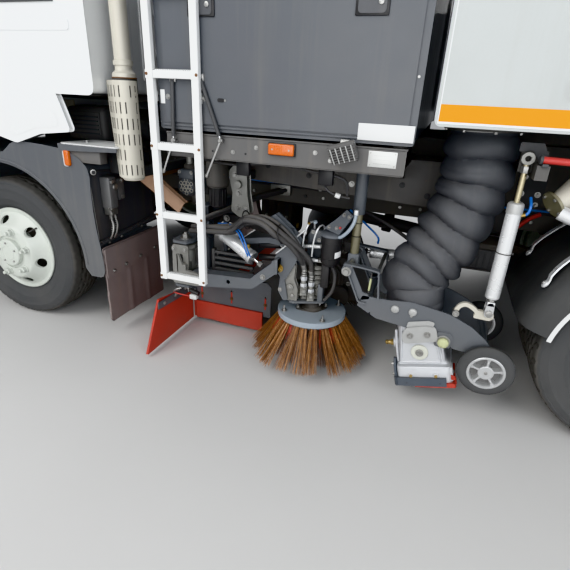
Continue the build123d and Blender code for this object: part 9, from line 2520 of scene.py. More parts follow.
# ------------------------------------------------------------------ frame fittings: rails keep their section, with bolts, gussets, air tanks, lines
def frame_fittings():
    g = Group("frame_fittings", "chassis")
    rnd = random.Random(11)
    for s in (-1, 1):
        y = s * 0.4205
        for x in [(-2.55 + 0.105 * k) for k in range(51)]:
            for z in (0.745, 0.875):
                if rnd.random() < 0.62:
                    g.bolt((x, y, z), (0, s, 0), 0.0085, "zinc" if rnd.random() < 0.3 else "chassis_paint", washer=False)
        # subframe: side gussets with their bolts
        for x in (-0.42, -0.02, 0.32, 0.98, 1.34, 1.72, 2.10, 2.42):
            g.prism(rounded([(x - 0.060, 0.800), (x + 0.060, 0.800), (x + 0.060, 1.020), (x - 0.060, 1.020)], 0.016), "xz", *sorted((s * 0.4202, s * 0.4285)), "chassis_paint", b=0.002)
            for dx in (-0.036, 0.036):
                for z in (0.830, 0.880, 0.960, 1.000):
                    g.bolt((x + dx, s * 0.4285, z), (0, s, 0), 0.0085, "zinc", stud=0.004)
        # web of the grey underbody plate under the housing, with its bolts
        g.prism(rounded([(-0.530, 0.860), (0.720, 0.800), (0.780, 0.830), (0.780, 1.012), (-0.530, 1.012)], 0.02), "xz", *sorted((s * 0.640, s * 0.646)), "beam_grey", b=0.001)
        for x, z in ((-0.45, 0.905), (-0.45, 0.975), (-0.28, 0.930), (-0.20, 0.985), (-0.06, 0.900), (0.05, 0.965), (0.16, 0.880), (0.24, 0.985), (0.40, 0.900), (0.52, 0.860), (0.60, 0.970), (0.70, 0.880)):
            g.bolt((x, s * 0.6465, z), (0, s, 0), 0.0085, "zinc" if rnd.random() < 0.4 else "chassis_paint")
        g.prism([(s * 0.420, 1.012), (s * 0.646, 1.012), (s * 0.646, 1.018), (s * 0.420, 1.018)], "yz", -0.530, 0.780, "beam_grey", b=0.001)
        # outrigger webs under the bearers
        for x in (-0.500, 0.250, 0.400):
            g.prism([(s * 0.4205, 0.985), (s * 0.4205, 1.0995), (s * 1.094, 1.0995), (s * 1.094, 1.060)], "yz", x - 0.004, x + 0.004, "chassis_paint", b=0.001)
        for x in (1.970,):
            g.prism([(s * 0.4205, 0.960), (s * 0.4205, 1.0355), (s * 1.080, 1.0355)], "yz", x - 0.004, x + 0.004, "chassis_paint", b=0.001)
        # hinge blocks of the tipping body
        g.prism(rounded([(2.500, 1.000), (2.620, 1.000), (2.600, 1.090), (2.520, 1.090)], 0.02), "xz", *sorted((s * 0.4202, s * 0.432)), "chassis_paint", b=0.002)
        g.cyl((2.560, s * 0.478, 1.060), (2.560, s * 0.484, 1.060), 0.026, "zinc", seg=28, b=0.002)
        # brake and air lines clipped along the rail
        for k, z in enumerate((0.790, 0.806, 0.822)):
            g.tube([(-2.50, s * (0.428 + 0.002 * k), z), (-1.0, s * 0.430, z + 0.004), (0.4, s * 0.429, z - 0.004), (1.6, s * 0.430, z + 0.003), (2.6, s * 0.429, z)], 0.0048, ("hose_line", "blue_line", "hose_line")[k] if s < 0 else "hose_line", seg=8, n=3)
        for x in [(-2.3 + 0.45 * k) for k in range(11)]:
            g.box(x - 0.008, x + 0.008, *sorted((s * 0.4205, s * 0.437)), 0.782, 0.830, "zinc", b=0.002)
    # air tanks across the frame
    for x in (0.400, 0.620):
        g.lathe([(-0.335, 0.0), (-0.330, 0.040), (-0.318, 0.072), (-0.300, 0.086), (-0.285, 0.090), (0.285, 0.090), (0.300, 0.086), (0.318, 0.072), (0.330, 0.040), (0.335, 0.0)], (x, 0, 0.800), (0, 1, 0), "under_dark", seg=36)
        for y in (-0.20, 0.20):
            g.ring((x, y, 0.800), (0, 1, 0), 0.0915, 0.0032, "zinc", seg=40, rs=6)
        g.cyl((x, 0.0, 0.712), (x, 0.0, 0.694), 0.010, "brass", seg=6)
        g.tube([(x, -0.330, 0.810), (x, -0.346, 0.830), (x - 0.06, -0.346, 0.860)], 0.005, "blue_line", seg=8)
    # gussets at crossmembers
    for x in (-0.50, 0.19, 0.83, 1.80):
        for s in (-1, 1):
            g.prism([(x - 0.09, s * 0.411), (x + 0.09, s * 0.411), (x + 0.035, s * 0.300), (x - 0.035, s * 0.300)], "xy", 0.8805, 0.8865, "chassis_paint", b=0.001)
            for dx in (-0.05, 0.05):
                g.bolt((x + dx, s * 0.385, 0.8865), (0, 0, 1), 0.008, "zinc", washer=False)
    # outrigger of the nozzle's lift: gusset, bolts, and the upper bent bracket
    g.prism([(-0.640, 1.018), (-0.4205, 0.965), (-0.4205, 1.036), (-0.640, 1.036)], "yz", 0.876, 0.884, "chassis_paint", b=0.001)
    for y in (-0.60, -0.75, -0.90):
        g.bolt((0.8595, y, 1.060), (-1, 0, 0), 0.008, "zinc")
    g.prism(rounded([(0.806, 1.118), (0.806, 1.150), (0.880, 1.150), (0.905, 1.100), (0.880, 1.086), (0.850, 1.126)], 0.006), "xz", -1.008, -1.0045, "chassis_paint", b=0.001)
    # red tube that runs back along the body's foot
    g.tube([(0.870, -1.085, 1.104), (1.10, -1.088, 1.100), (1.60, -1.088, 1.098), (1.93, -1.085, 1.098)], 0.0115, "red_paint", seg=16)
    g.cyl((0.862, -1.085, 1.104), (0.872, -1.085, 1.104), 0.0155, "chassis_paint", seg=20, b=0.002)
    g.box(0.872, 0.892, -1.095, -1.060, 1.080, 1.092, "chassis_paint", b=0.002)
    g.box(1.945, 1.965, -1.095, -1.070, 1.083, 1.112, "chassis_paint", b=0.002)
    # pale conical pipe with its bolted flange and the grey tube behind
    c, d = V((0.965, -0.985, 0.945)), V((-0.62, -0.30, -0.42)).normalized()
    g.lathe([(-0.002, 0.0), (-0.002, 0.050), (0.008, 0.050), (0.008, 0.0)], c, d, "olive_tube", seg=40)
    g.lathe([(-0.150, 0.070), (-0.020, 0.036), (-0.002, 0.034)], c, d, "shield_cream", seg=40)
    u, w, t = basis(d)
    for k in range(4):
        a = pi / 4 + pi / 2 * k
        g.bolt(c + d * 0.008 + (u * cos(a) + w * sin(a)) * 0.040, d, 0.006, "zinc", washer=False)
    g.tube([(0.985, -1.010, 0.922), (1.040, -1.020, 0.905), (1.130, -1.020, 0.900), (1.300, -1.000, 0.915), (1.45, -0.98, 0.930)], 0.026, "silver_tube", seg=20)
    g.tube([c - d * 0.145, (1.16, -0.90, 1.015), (1.32, -0.86, 1.030), (1.50, -0.84, 1.035)], 0.069, "shield_cream", seg=28, n=4)
    g.box(1.44, 1.47, -1.00, -0.4205, 0.985, 1.010, "chassis_paint", b=0.003)
    g.done(slot="chassis_black")


frame_fittings()


def under_housing():
    """What hangs under the housing's left side: canisters, castings, silencer end, gas struts, diagonal guard."""
    g = Group("service_parts", "chassis")
    # gas struts before the beam, one each side of the ladder's near rail
    for top, ball, end in (((-0.369, -1.163, 1.312), (-0.284, -1.168, 1.090), (-0.353, -1.158, 0.951)), ((-0.492, -1.163, 1.308), (-0.499, -1.168, 1.076), (-0.560, -1.158, 0.950))):
        T, B, E = V(top), V(ball), V(end)
        g.cyl(T, T + (B - T) * 0.93, 0.0085, "chassis_paint", seg=16, b=0.002)
        g.cyl(T + (B - T) * 0.9, B, 0.0045, "chrome", seg=12)
        g.ball(B, 0.0105, "zinc", seg=14)
        g.cyl(B + V((0, 0.014, 0)), B - V((0, 0.012, 0)), 0.006, "zinc", seg=12)
        g.cyl(B, E, 0.0048, "chrome", seg=12)
        g.cyl(E, E + (E - B).normalized() * 0.012, 0.008, "zinc", seg=12, b=0.001)
        g.box(T.x - 0.014, T.x + 0.014, -1.164, -1.150, T.z - 0.014, T.z + 0.014, "zinc", b=0.003)
        g.ball(T, 0.010, "zinc", seg=14)
    # silencer end with a hexagonal mesh, its neck and clamp
    c = V((-0.728, -0.712, 0.786))
    g.lathe([(0.0, 0.0), (0.0, 0.048), (0.006, 0.056), (0.150, 0.056), (0.156, 0.050), (0.156, 0.0)], c, (0, 1, 0), "gear_paint", seg=36)
    g.box(c.x - 0.047, c.x + 0.047, c.y - 0.006, c.y + 0.100, c.z + 0.034, c.z + 0.092, "gear_paint", b=0.012)
    for e in (-0.036, 0.036):
        g.bolt(c + V((e, -0.006, 0.078)), (0, -1, 0), 0.006, "zinc")
    g.ring(c + V((0, -0.001, 0)), (0, 1, 0), 0.050, 0.005, "chassis_paint", seg=36)
    for i in range(-2, 3):
        for j in range(-2, 3):
            px, pz = 0.021 * (i + 0.5 * (j % 2)), 0.0182 * j
            if hypot(px, pz) < 0.042:
                g.ring(c + V((px, -0.003, pz)), (0, 1, 0), 0.0098, 0.0016, "shield_cream", seg=6, rs=5)
    g.cyl(c + V((0, 0.050, 0.05)), c + V((0, 0.050, 0.115)), 0.036, "under_dark", seg=28, b=0.006)
    g.cyl(c + V((0, 0.050, 0.112)), c + V((0, 0.050, 0.160)), 0.021, "motor_alloy", seg=24, b=0.004)
    g.ring(c + V((0, 0.050, 0.118)), (0, 0, 1), 0.0225, 0.004, "zinc", seg=24)
    g.tube([c + V((0, 0.050, 0.155)), c + V((0.01, 0.06, 0.200)), c + V((0.05, 0.12, 0.215))], 0.019, "dark_rubber", seg=16)
    g.box(c.x - 0.065, c.x + 0.065, c.y + 0.12, c.y + 0.13, c.z - 0.06, c.z + 0.10, "chassis_paint", b=0.003)
    g.box(c.x - 0.020, c.x + 0.020, c.y + 0.12, -0.4205, c.z + 0.02, c.z + 0.05, "chassis_paint", b=0.003)
    # rusted diagonal guard plate from the stack's foot to the sweeping gear; its tan is lifted above the plate's own
    # colour as painted light against the shade it hangs in
    g.prism([(-0.985, 0.835), (-0.905, 0.868), (-0.690, 0.716), (-0.722, 0.664)], "xz", -0.812, -0.806, "primer_tan_painted_light", b=0.001)
    g.prism([(-0.905, 0.868), (-0.897, 0.872), (-0.683, 0.720), (-0.690, 0.716)], "xz", -0.812, -0.780, "primer_tan_painted_light", b=0.001)
    g.box(-0.96, -0.93, -0.808, -0.4205, 0.812, 0.836, "rust_steel", b=0.002)
    # filter: cast head, dark can and glossy bowl
    x, y = -0.492, -0.800
    g.lathe([(0.828, 0.0), (0.828, 0.050), (0.836, 0.056), (0.944, 0.056), (0.952, 0.050), (0.952, 0.0)], (x, y, 0), (0, 0, 1), "under_dark", seg=40)
    g.lathe([(0.718, 0.0), (0.720, 0.028), (0.730, 0.040), (0.820, 0.042), (0.829, 0.044), (0.829, 0.0)], (x, y, 0), (0, 0, 1), "black_plastic", seg=40)
    g.ring((x, y, 0.829), (0, 0, 1), 0.046, 0.004, "zinc", seg=40)
    for k in range(12):
        a = 2 * pi * k / 12
        g.box(x + 0.0415 * cos(a) - 0.003, x + 0.0415 * cos(a) + 0.003, y + 0.0415 * sin(a) - 0.003, y + 0.0415 * sin(a) + 0.003, 0.735, 0.815, "black_plastic", b=0.001)
    g.box(x - 0.045, x + 0.045, y + 0.03, -0.6465, 0.905, 0.935, "chassis_paint", b=0.004)
    g.cyl((x, y, 0.952), (x, y, 0.968), 0.018, "zinc", seg=6)
    g.tube([(x + 0.03, y - 0.02, 0.960), (x + 0.035, y - 0.03, 0.985), (x + 0.075, y - 0.03, 1.000), (x + 0.14, y + 0.04, 0.985)], 0.0105, "hose_line", seg=12)
    # cast bracket with four bolts, and a hydraulic block under it
    g.prism(rounded([(-0.436, 0.900), (-0.404, 0.935), (-0.350, 0.930), (-0.346, 0.800), (-0.330, 0.700), (-0.380, 0.684), (-0.420, 0.710), (-0.412, 0.800)], 0.014, 4), "xz", -0.780, -0.730, "motor_alloy", b=0.008)
    for xx, zz in ((-0.405, 0.890), (-0.368, 0.905), (-0.385, 0.800), (-0.392, 0.725), (-0.350, 0.722)):
        g.bolt((xx, -0.780, zz), (0, -1, 0), 0.010, "zinc")
    g.box(-0.372, -0.350, -0.770, -0.6465, 0.86, 0.90, "chassis_paint", b=0.003)
    g.cyl((-0.385, -0.781, 0.845), (-0.385, -0.800, 0.845), 0.020, "motor_alloy", seg=24, b=0.003)
    # relay, clips and wiring under the beam
    for x0, z0 in ((-0.26, 0.985), (0.10, 0.980)):
        g.box(x0, x0 + 0.060, -1.080, -1.050, z0 - 0.040, z0 + 0.030, "black_plastic", b=0.006)
    g.tube([(-0.52, -1.06, 1.010), (-0.30, -1.06, 0.985), (-0.10, -1.06, 1.004), (0.06, -1.06, 0.990), (0.20, -1.06, 0.970), (0.215, -1.03, 0.900)], 0.006, "hose_line", seg=10)
    g.tube([(0.11, -1.05, 0.985), (0.13, -1.06, 0.930), (0.17, -1.06, 0.905), (0.225, -1.03, 0.890)], 0.0045, "hose_line", seg=8)
    g.cyl((0.172, -1.064, 0.906), (0.192, -1.060, 0.900), 0.010, "white_cap", seg=16, b=0.002)
    # grey suction duct and cover plates between cab and stack
    g.box(-1.405, -1.150, -0.800, -0.500, 0.990, 1.165, "beam_grey", b=0.030, seg=4)
    g.box(-1.380, -1.175, -0.806, -0.798, 1.020, 1.140, "beam_grey", b=0.004)
    for k in range(5):
        g.box(-1.370, -1.185, -0.811, -0.804, 1.030 + 0.021 * k, 1.036 + 0.021 * k, "dark_plastic", b=0.001)
    g.prism(rounded([(-1.660, 1.100), (-1.485, 1.100), (-1.485, 1.188), (-1.660, 1.188)], 0.006), "xz", -0.640, -0.634, "shield_cream", b=0.001, holes=[circle(-1.560, 1.140, 0.012, 20)])
    g.box(-1.68, -1.47, -0.634, -0.60, 1.06, 1.10, "rust_steel", b=0.004)
    g.tube([(-1.15, -0.62, 1.08), (-1.05, -0.62, 1.07), (-0.96, -0.58, 1.02), (-0.90, -0.52, 0.97)], 0.050, "dark_rubber", seg=24, n=5)
    for k in range(6):
        g.ring((-1.13 + 0.035 * k, -0.62 + 0.004 * k, 1.078 - 0.006 * k), (1, 0, -0.15), 0.0505, 0.004, "dark_rubber", seg=28, rs=6)
    # oil reservoir in its cradle between the rails, with filler, sight glass and lines
    g.prism(rounded([(0.080, 0.330), (0.350, 0.330), (0.350, 0.596), (0.080, 0.596)], 0.030, 6), "yz", -0.598, -0.372, "under_dark", b=0.010, seg=3)
    for x in (-0.560, -0.410):
        ring = rounded([(0.0765, 0.3265), (0.3535, 0.3265), (0.3535, 0.5995), (0.0765, 0.5995)], 0.033, 6)
        g.prism(ring, "yz", x - 0.014, x + 0.014, "chassis_paint", b=0, holes=[rounded([(0.081, 0.331), (0.349, 0.331), (0.349, 0.595), (0.081, 0.595)], 0.029, 6)])
        g.box(x - 0.016, x + 0.016, 0.345, 0.3975, 0.560, 0.760, "chassis_paint", b=0.003)
        g.bolt((x, 0.0765, 0.470), (0, -1, 0), 0.007, "zinc")
    g.cyl((-0.372, 0.215, 0.380), (-0.360, 0.215, 0.380), 0.020, "brass", seg=20, b=0.003)
    g.tube([(-0.485, 0.078, 0.400), (-0.485, 0.060, 0.400), (-0.485, 0.030, 0.440), (-0.470, -0.010, 0.540), (-0.440, -0.100, 0.650), (-0.400, -0.300, 0.740)], 0.014, "hose_line", seg=12, n=5)
    g.tube([(-0.520, 0.078, 0.370), (-0.520, 0.050, 0.365), (-0.530, -0.040, 0.420), (-0.520, -0.160, 0.560), (-0.480, -0.320, 0.700)], 0.011, "hose_line", seg=12, n=5)
    # horizontal air cylinder with bellows beyond the post
    g.cyl((0.300, -0.700, 0.566), (0.520, -0.690, 0.566), 0.0275, "silver_tube", seg=32, b=0.003)
    g.cyl((0.296, -0.7, 0.566), (0.318, -0.699, 0.566), 0.0285, "alloy", seg=32, b=0.003)
    g.cyl((0.505, -0.691, 0.566), (0.528, -0.690, 0.566), 0.0285, "alloy", seg=32, b=0.003)
    for k in range(6):
        g.lathe([(0.0, 0.014), (0.006, 0.023), (0.012, 0.014)], (0.212 + 0.012 * k, -0.703, 0.566), (1, 0, 0), "dark_rubber", seg=24)
    g.cyl((0.19, -0.703, 0.566), (0.30, -0.700, 0.566), 0.008, "chrome", seg=14)
    g.box(0.165, 0.205, -0.716, -0.690, 0.551, 0.605, "chassis_paint", b=0.005)
    g.box(0.170, 0.196, -0.690, -0.4205, 0.578, 0.602, "chassis_paint", b=0.003)
    g.box(0.175, 0.195, -0.470, -0.4205, 0.590, 0.760, "chassis_paint", b=0.003)
    g.box(0.528, 0.548, -0.712, -0.4205, 0.551, 0.605, "chassis_paint", b=0.003)
    g.box(0.530, 0.546, -0.470, -0.4205, 0.590, 0.760, "chassis_paint", b=0.003)
    g.tube([(0.330, -0.705, 0.616), (0.325, -0.705, 0.650), (0.260, -0.690, 0.700), (0.16, -0.60, 0.740)], 0.0048, "blue_line", seg=8)
    g.tube([(0.500, -0.695, 0.616), (0.480, -0.700, 0.650), (0.360, -0.680, 0.712), (0.22, -0.60, 0.748)], 0.0085, "hose_line", seg=12)
    # high hoses from the frame down to the swivel column
    for k in range(4):
        dy, dz = 0.020 * k, 0.012 * (k % 2)
        g.tube([(-0.30 + 0.02 * k, -0.4285, 0.760 + dz), (-0.36, -0.56 - dy, 0.740 + dz), (-0.45, -0.72 - dy, 0.700 + dz), (-0.545, -0.845 - 0.5 * dy, 0.655 + dz), (-0.590, -0.890 - 0.4 * dy, 0.610)], 0.0115, "hose_line", seg=12, n=5)
    g.box(-0.34, -0.22, -0.446, -0.4285, 0.740, 0.800, "motor_alloy", b=0.005)
    g.done(slot="chassis_black")


under_housing()


def harness():
    """Hose bundle, air lines and the tilted air cylinder that swing with the side broom's arm."""
    g = Group("broom_hoses", "broom_carrier")
    base = [(-0.560, 0.628), (-0.434, 0.660), (-0.330, 0.674), (-0.239, 0.734), (-0.148, 0.746), (-0.061, 0.698), (0.004, 0.612), (0.024, 0.520)]
    rnd = random.Random(3)
    for k in range(5):
        off = (-0.022, -0.008, 0.008, 0.024, 0.040)[k]
        zz = (0.0, 0.016, -0.012, 0.010, -0.006)[k]
        pts = []
        for i, (x, z) in enumerate(base):
            f = 1.0 if i < 6 else 0.6
            pts.append((x + (0.012 * k - 0.02 if i > 4 else 0.0) + rnd.uniform(-0.006, 0.006), (-1.040, -1.010, -0.986, -1.018, -1.036, -1.040, -1.040, -1.040)[i] + off * f + (0.10 if i == 0 else 0.0) + (0.115 if i == 7 else 0.045 if i == 6 else 0), z + zz + rnd.uniform(-0.006, 0.006)))
        tips = {0: ((0.016, -0.975, 0.600), (0.028, -0.934, 0.514)), 1: ((0.052, -0.968, 0.585), (0.062, -0.919, 0.484))}
        if k in tips:                                       # two of them end in the motor's ports
            pts[-2:] = [tips[k][0], tips[k][1]]
        g.tube(pts, 0.0120 if k != 3 else 0.0095, "hose_line", seg=12, n=7)
        e, e0 = V(pts[-1]), V(pts[-2])
        d = (e - e0).normalized()
        g.cyl(e - d * 0.030, e + d * 0.004, 0.0140, "zinc", seg=16, b=0.002)
        g.cyl(e - d * 0.004, e + d * 0.012, 0.0125, "zinc", seg=6)
    for i in (1, 3, 5):                                     # ties round the bundle
        x, z = base[i]
        g.ring((x, {1: -1.002, 3: -1.010, 5: -1.034}[i], z + 0.002), (1, 0, 0.25), 0.042, 0.0024, "black_plastic", seg=28, rs=6)
    for k, (dx, dz) in enumerate(((0.0, 0.0), (0.012, 0.006))):
        g.tube([(-0.420, -0.940, 0.672 + dz), (-0.350, -0.966, 0.684 + dz), (-0.290 + dx, -1.004, 0.672 + dz), (-0.256 + dx, -1.018, 0.626 + dz), (-0.236 + dx, -1.019, 0.580), (-0.226 + dx, -1.008, 0.552)], 0.0036, "blue_line", seg=8)
        g.cyl((-0.230 + dx, -1.012, 0.562), (-0.222 + dx, -1.000, 0.545), 0.0062, "zinc", seg=6)
    p, q = V((-0.400, -0.930, 0.628)), V((-0.215, -0.985, 0.545))
    d = (q - p).normalized()
    g.cyl(p, q, 0.032, "silver_tube", seg=36, b=0.003)
    for c, e in ((p, p + d * 0.022), (q - d * 0.022, q)):
        g.cyl(c, e, 0.0355, "alloy", seg=36, b=0.003)
    g.cyl(q, q + d * 0.045, 0.0085, "chrome", seg=16)
    g.cyl(q + d * 0.036, q + d * 0.060, 0.013, "zinc", seg=6, b=0.002)
    g.box(p.x - 0.045, p.x + 0.002, p.y - 0.014, p.y + 0.014, p.z - 0.014, p.z + 0.030, "zinc", b=0.005)
    for t in (0.15, 0.85):
        m = p + (q - p) * t
        g.cyl(m + V((0, 0, 0.030)), m + V((0, 0, 0.050)), 0.0075, "brass", seg=6)
    # dark ribbed slats behind it
    for k in range(5):
        z = 0.385 + 0.030 * k
        g.box(-0.480, -0.250, -0.905, -0.885, z, z + 0.016, "dark_plastic", b=0.004)
    g.box(-0.480, -0.462, -0.908, -0.882, 0.375, 0.530, "chassis_paint", b=0.003)
    g.done(slot="hose_black")


harness()


# ------------------------------------------------------------------ tanks, battery box, mudguards, rear end
def tanks():
    g = Group("fuel_tank_shell", "chassis")
    prof = rounded([(0.620, 0.520), (1.100, 0.520), (1.100, 0.930), (0.620, 0.930)], 0.070, 8)
    g.prism(prof, "yz", -0.899, -0.151, "alloy", b=0.018, seg=3)
    for x in (-0.760, -0.330, -0.16, -0.89):
        ring = rounded([(0.616, 0.516), (1.104, 0.516), (1.104, 0.934), (0.616, 0.934)], 0.073, 8)
        inner = rounded([(0.621, 0.521), (1.099, 0.521), (1.099, 0.929), (0.621, 0.929)], 0.069, 8)
        w = 0.030 if x in (-0.760, -0.330) else 0.006
        g.prism(ring, "yz", x - w, x + w, "chassis_paint" if w > 0.01 else "alloy", b=0, holes=[inner])
    for x in (-0.760, -0.330):
        g.box(x - 0.035, x + 0.035, 0.4205, 0.640, 0.720, 0.800, "chassis_paint", b=0.006)
        g.prism([(0.430, 0.700), (0.430, 0.520), (0.640, 0.508), (1.060, 0.508), (1.060, 0.516), (0.600, 0.516)], "yz", x - 0.030, x + 0.030, "chassis_paint", b=0.002)
        g.bolt((x, 1.104, 0.720), (0, 1, 0), 0.008, "zinc", stud=0.006)
    g.lathe([(0.0, 0.0), (0.0, 0.042), (0.010, 0.045), (0.026, 0.045), (0.034, 0.038), (0.036, 0.0)], (-0.230, 0.990, 0.928), (0, 0.15, 1), "black_plastic", seg=32)
    g.cyl((-0.55, 0.80, 0.928), (-0.55, 0.80, 0.938), 0.032, "zinc", seg=28, b=0.002)
    for k in range(5):
        a = 2 * pi * k / 5
        g.bolt((-0.55 + 0.024 * cos(a), 0.80 + 0.024 * sin(a), 0.938), (0, 0, 1), 0.003, "zinc", washer=False)
    for k in (0, 1):
        g.tube([(-0.54 + 0.02 * k, 0.80, 0.935), (-0.54 + 0.02 * k, 0.78, 0.962), (-0.54, 0.62, 0.955), (-0.54, 0.440, 0.90)], 0.006, "hose_line", seg=8)
    g.done("fuel_tank", slot="tank_grey")

    w = Group("water_tank_shell", "chassis")
    prof = rounded([(0.0, 0.560), (0.900, 0.560), (0.900, 1.110), (0.0, 1.110)], 0.060, 8)
    w.prism(prof, "xy", 0.481, 0.979, "grey_plastic", b=0.025, seg=4)
    for z in (0.600, 0.730, 0.860):
        pr = rounded([(-0.004, 0.556), (0.904, 0.556), (0.904, 1.114), (-0.004, 1.114)], 0.062, 8)
        w.prism(pr, "xy", z - 0.020, z + 0.020, "grey_plastic", b=0.008)
    for x in (0.150, 0.750):
        w.box(x - 0.030, x + 0.030, 0.4205, 0.575, 0.720, 0.800, "chassis_paint", b=0.006)
        w.strip([(x, 0.570, 0.984), (x, 0.700, 0.9835), (x, 1.000, 0.9835), (x, 1.095, 0.982), (x, 1.1165, 0.960), (x, 1.1165, 0.700), (x, 1.1165, 0.500), (x, 1.095, 0.477), (x, 0.60, 0.476), (x, 0.43, 0.50)], (1, 0, 0), 0.050, 0.004, "chassis_paint", n=1)
        w.bolt((x, 1.119, 0.79), (0, 1, 0), 0.008, "zinc", stud=0.006)
    w.lathe([(0.0, 0.0), (0.0, 0.075), (0.012, 0.078), (0.030, 0.078), (0.036, 0.070), (0.038, 0.0)], (0.450, 0.880, 0.975), (0, 0, 1), "black_plastic", seg=40)
    for k in range(8):
        a = 2 * pi * k / 8
        w.box(0.450 + 0.078 * cos(a) - 0.006, 0.450 + 0.078 * cos(a) + 0.006, 0.880 + 0.078 * sin(a) - 0.006, 0.880 + 0.078 * sin(a) + 0.006, 0.984, 1.008, "black_plastic", b=0.002)
    w.tube([(0.870, 1.117, 0.940), (0.870, 1.122, 0.930), (0.870, 1.122, 0.560), (0.870, 1.117, 0.545)], 0.008, "clear_lens", seg=12)
    w.cyl((0.060, 1.110, 0.530), (0.060, 1.134, 0.530), 0.020, "brass", seg=20, b=0.003)
    w.box(0.040, 0.080, 1.128, 1.134, 0.545, 0.555, "red_paint", b=0.002)
    w.tube([(0.060, 0.90, 0.485), (0.04, 0.80, 0.462), (0.0, 0.60, 0.470), (-0.06, 0.44, 0.56)], 0.018, "hose_line", seg=14)
    w.done("water_tank", slot="tank_grey")

    b = Group("battery_case", "chassis")
    b.box(0.722, 0.928, -0.640, -0.430, 0.5405, 0.640, "dark_plastic", b=0.008, seg=3)
    b.box(0.716, 0.934, -0.646, -0.426, 0.640, 0.6695, "under_dark", b=0.008, seg=3)
    for k in range(7):
        x = 0.742 + 0.028 * k
        b.box(x - 0.004, x + 0.004, -0.6425, -0.430, 0.550, 0.632, "dark_plastic", b=0.002)
    for x in (0.760, 0.890):
        b.strip([(x, -0.650, 0.560), (x, -0.650, 0.668), (x, -0.640, 0.674), (x, -0.435, 0.674)], (1, 0, 0), 0.018, 0.003, "zinc", n=1)
        b.tube([(x - 0.006, -0.651, 0.575), (x, -0.657, 0.600), (x + 0.006, -0.651, 0.625)], 0.003, "zinc", seg=8)
    b.tube([(0.775, -0.560, 0.672), (0.778, -0.560, 0.688), (0.872, -0.560, 0.688), (0.875, -0.560, 0.672)], 0.005, "black_plastic", seg=8)
    b.box(0.750, 0.900, -0.4300, -0.4205, 0.560, 0.780, "chassis_paint", b=0.002)
    b.box(0.730, 0.920, -0.640, -0.425, 0.532, 0.5405, "chassis_paint", b=0.002)
    b.tube([(0.74, -0.50, 0.66), (0.72, -0.47, 0.70), (0.66, -0.445, 0.76), (0.60, -0.430, 0.79)], 0.010, "hose_line", seg=12)
    b.tube([(0.91, -0.50, 0.66), (0.94, -0.47, 0.70), (1.00, -0.445, 0.76), (1.05, -0.430, 0.79)], 0.010, "red_paint", seg=12)
    b.done("battery_box", slot="trim_grey")


tanks()


def mudguards():
    g = Group("mudguard_shells", "chassis")
    cx, cz = 1.425, 0.3985
    prof = [(0.562, 0.4868), (0.575, 0.4900), (0.90, 0.4930), (0.990, 0.4930), (1.040, 0.4890), (1.070, 0.4790), (1.092, 0.4620), (1.105, 0.4400), (1.1135, 0.4140), (1.1185, 0.3900), (1.1195, 0.3725),
            (1.1165, 0.3725), (1.1145, 0.3900), (1.1090, 0.4120), (1.1010, 0.4360), (1.088, 0.4570), (1.066, 0.4730), (1.038, 0.4830), (0.990, 0.4868), (0.575, 0.4862)]
    for s in (-1, 1):
        N = 96
        vs, fs = [], []
        n = len(prof)
        for i in range(N + 1):
            for y, R in prof:
                lo = math.asin((0.490 - cz) / 0.490) if s < 0 else math.asin((0.500 - cz) / 0.490)
                a = lo + (pi - 2 * lo) * i / N
                vs.append(V((cx + R * cos(a), s * y, cz + R * sin(a))))
        for i in range(N):
            for k in range(n):
                k2 = (k + 1) % n
                f = (i * n + k, i * n + k2, (i + 1) * n + k2, (i + 1) * n + k)
                fs.append(f if s > 0 else f[::-1])
        fs.append(tuple(range(n))[::-1] if s > 0 else tuple(range(n)))
        fs.append(tuple(N * n + k for k in range(n)) if s > 0 else tuple(N * n + k for k in range(n))[::-1])
        g.raw(vs, fs, "guard_plastic")
        # thin pale edge on the lip
        vs, fs = [], []
        M = 60
        for i in range(M + 1):
            a = radians(9) + radians(162) * i / M
            for R, y in ((0.3745, 1.1210), (0.3905, 1.1200), (0.3905, 1.1180), (0.3745, 1.1190)):
                vs.append(V((cx + R * cos(a), s * y, cz + R * sin(a))))
        for i in range(M):
            for k in range(4):
                k2 = (k + 1) % 4
                f = (i * 4 + k, i * 4 + k2, (i + 1) * 4 + k2, (i + 1) * 4 + k)
                fs.append(f if s > 0 else f[::-1])
        fs += [(3, 2, 1, 0), tuple(M * 4 + k for k in range(4))]
        g.raw(vs, fs, "white_plate")
        # hold-down straps with twisted feet

        def at(deg, y, up=0.010, R=0.4935):
            a = radians(deg)
            return V((cx + (R + up) * cos(a), s * y, cz + (R + up) * sin(a)))
        for sg in (1, -1):
            for y0, y1 in ((0.655, 0.630), (1.045, 0.985)):
                d0 = 90 + sg * 59
                pts = [at(d0 + sg * -1, y0, 0.004), at(d0 - sg * 3, y0 - 0.001, 0.010), at(d0 - sg * 5, y0 - 0.003, 0.018)] + [at(d0 - sg * k, y0 + (y1 - y0) * min(1, k / 24.0), 0.018) for k in (10, 16, 22, 28, 34)]
                g.strip(pts, (0, 1, 0), 0.030, 0.006, "silver_tube", n=3)
                g.ball(at(d0 - sg * 0.5, y0, 0.006), 0.018, "silver_tube", seg=16, squash=0.5, d=at(d0, y0, 1) - at(d0, y0, 0))
                g.bolt(at(d0 - sg * 0.5, y0, 0.012), at(d0, y0, 1) - at(d0, y0, 0), 0.007, "zinc", washer=False)
        for x in (1.250, 1.600):
            g.box(x - 0.015, x + 0.015, *sorted((s * 0.4205, s * 0.600)), 0.850, 0.880, "chassis_paint", b=0.004)
            g.bolt((x, s * 0.59, 0.880), (0, 0, 1), 0.008, "zinc")
        g.tube([(1.250, s * 0.50, 0.865), (1.20, s * 0.70, 0.868), (1.16, s * 0.90, 0.872), (1.14, s * 1.00, 0.866)], 0.014, "chassis_paint", seg=14)
    g.done("rear_mudguards", slot="chassis_black")


mudguards()


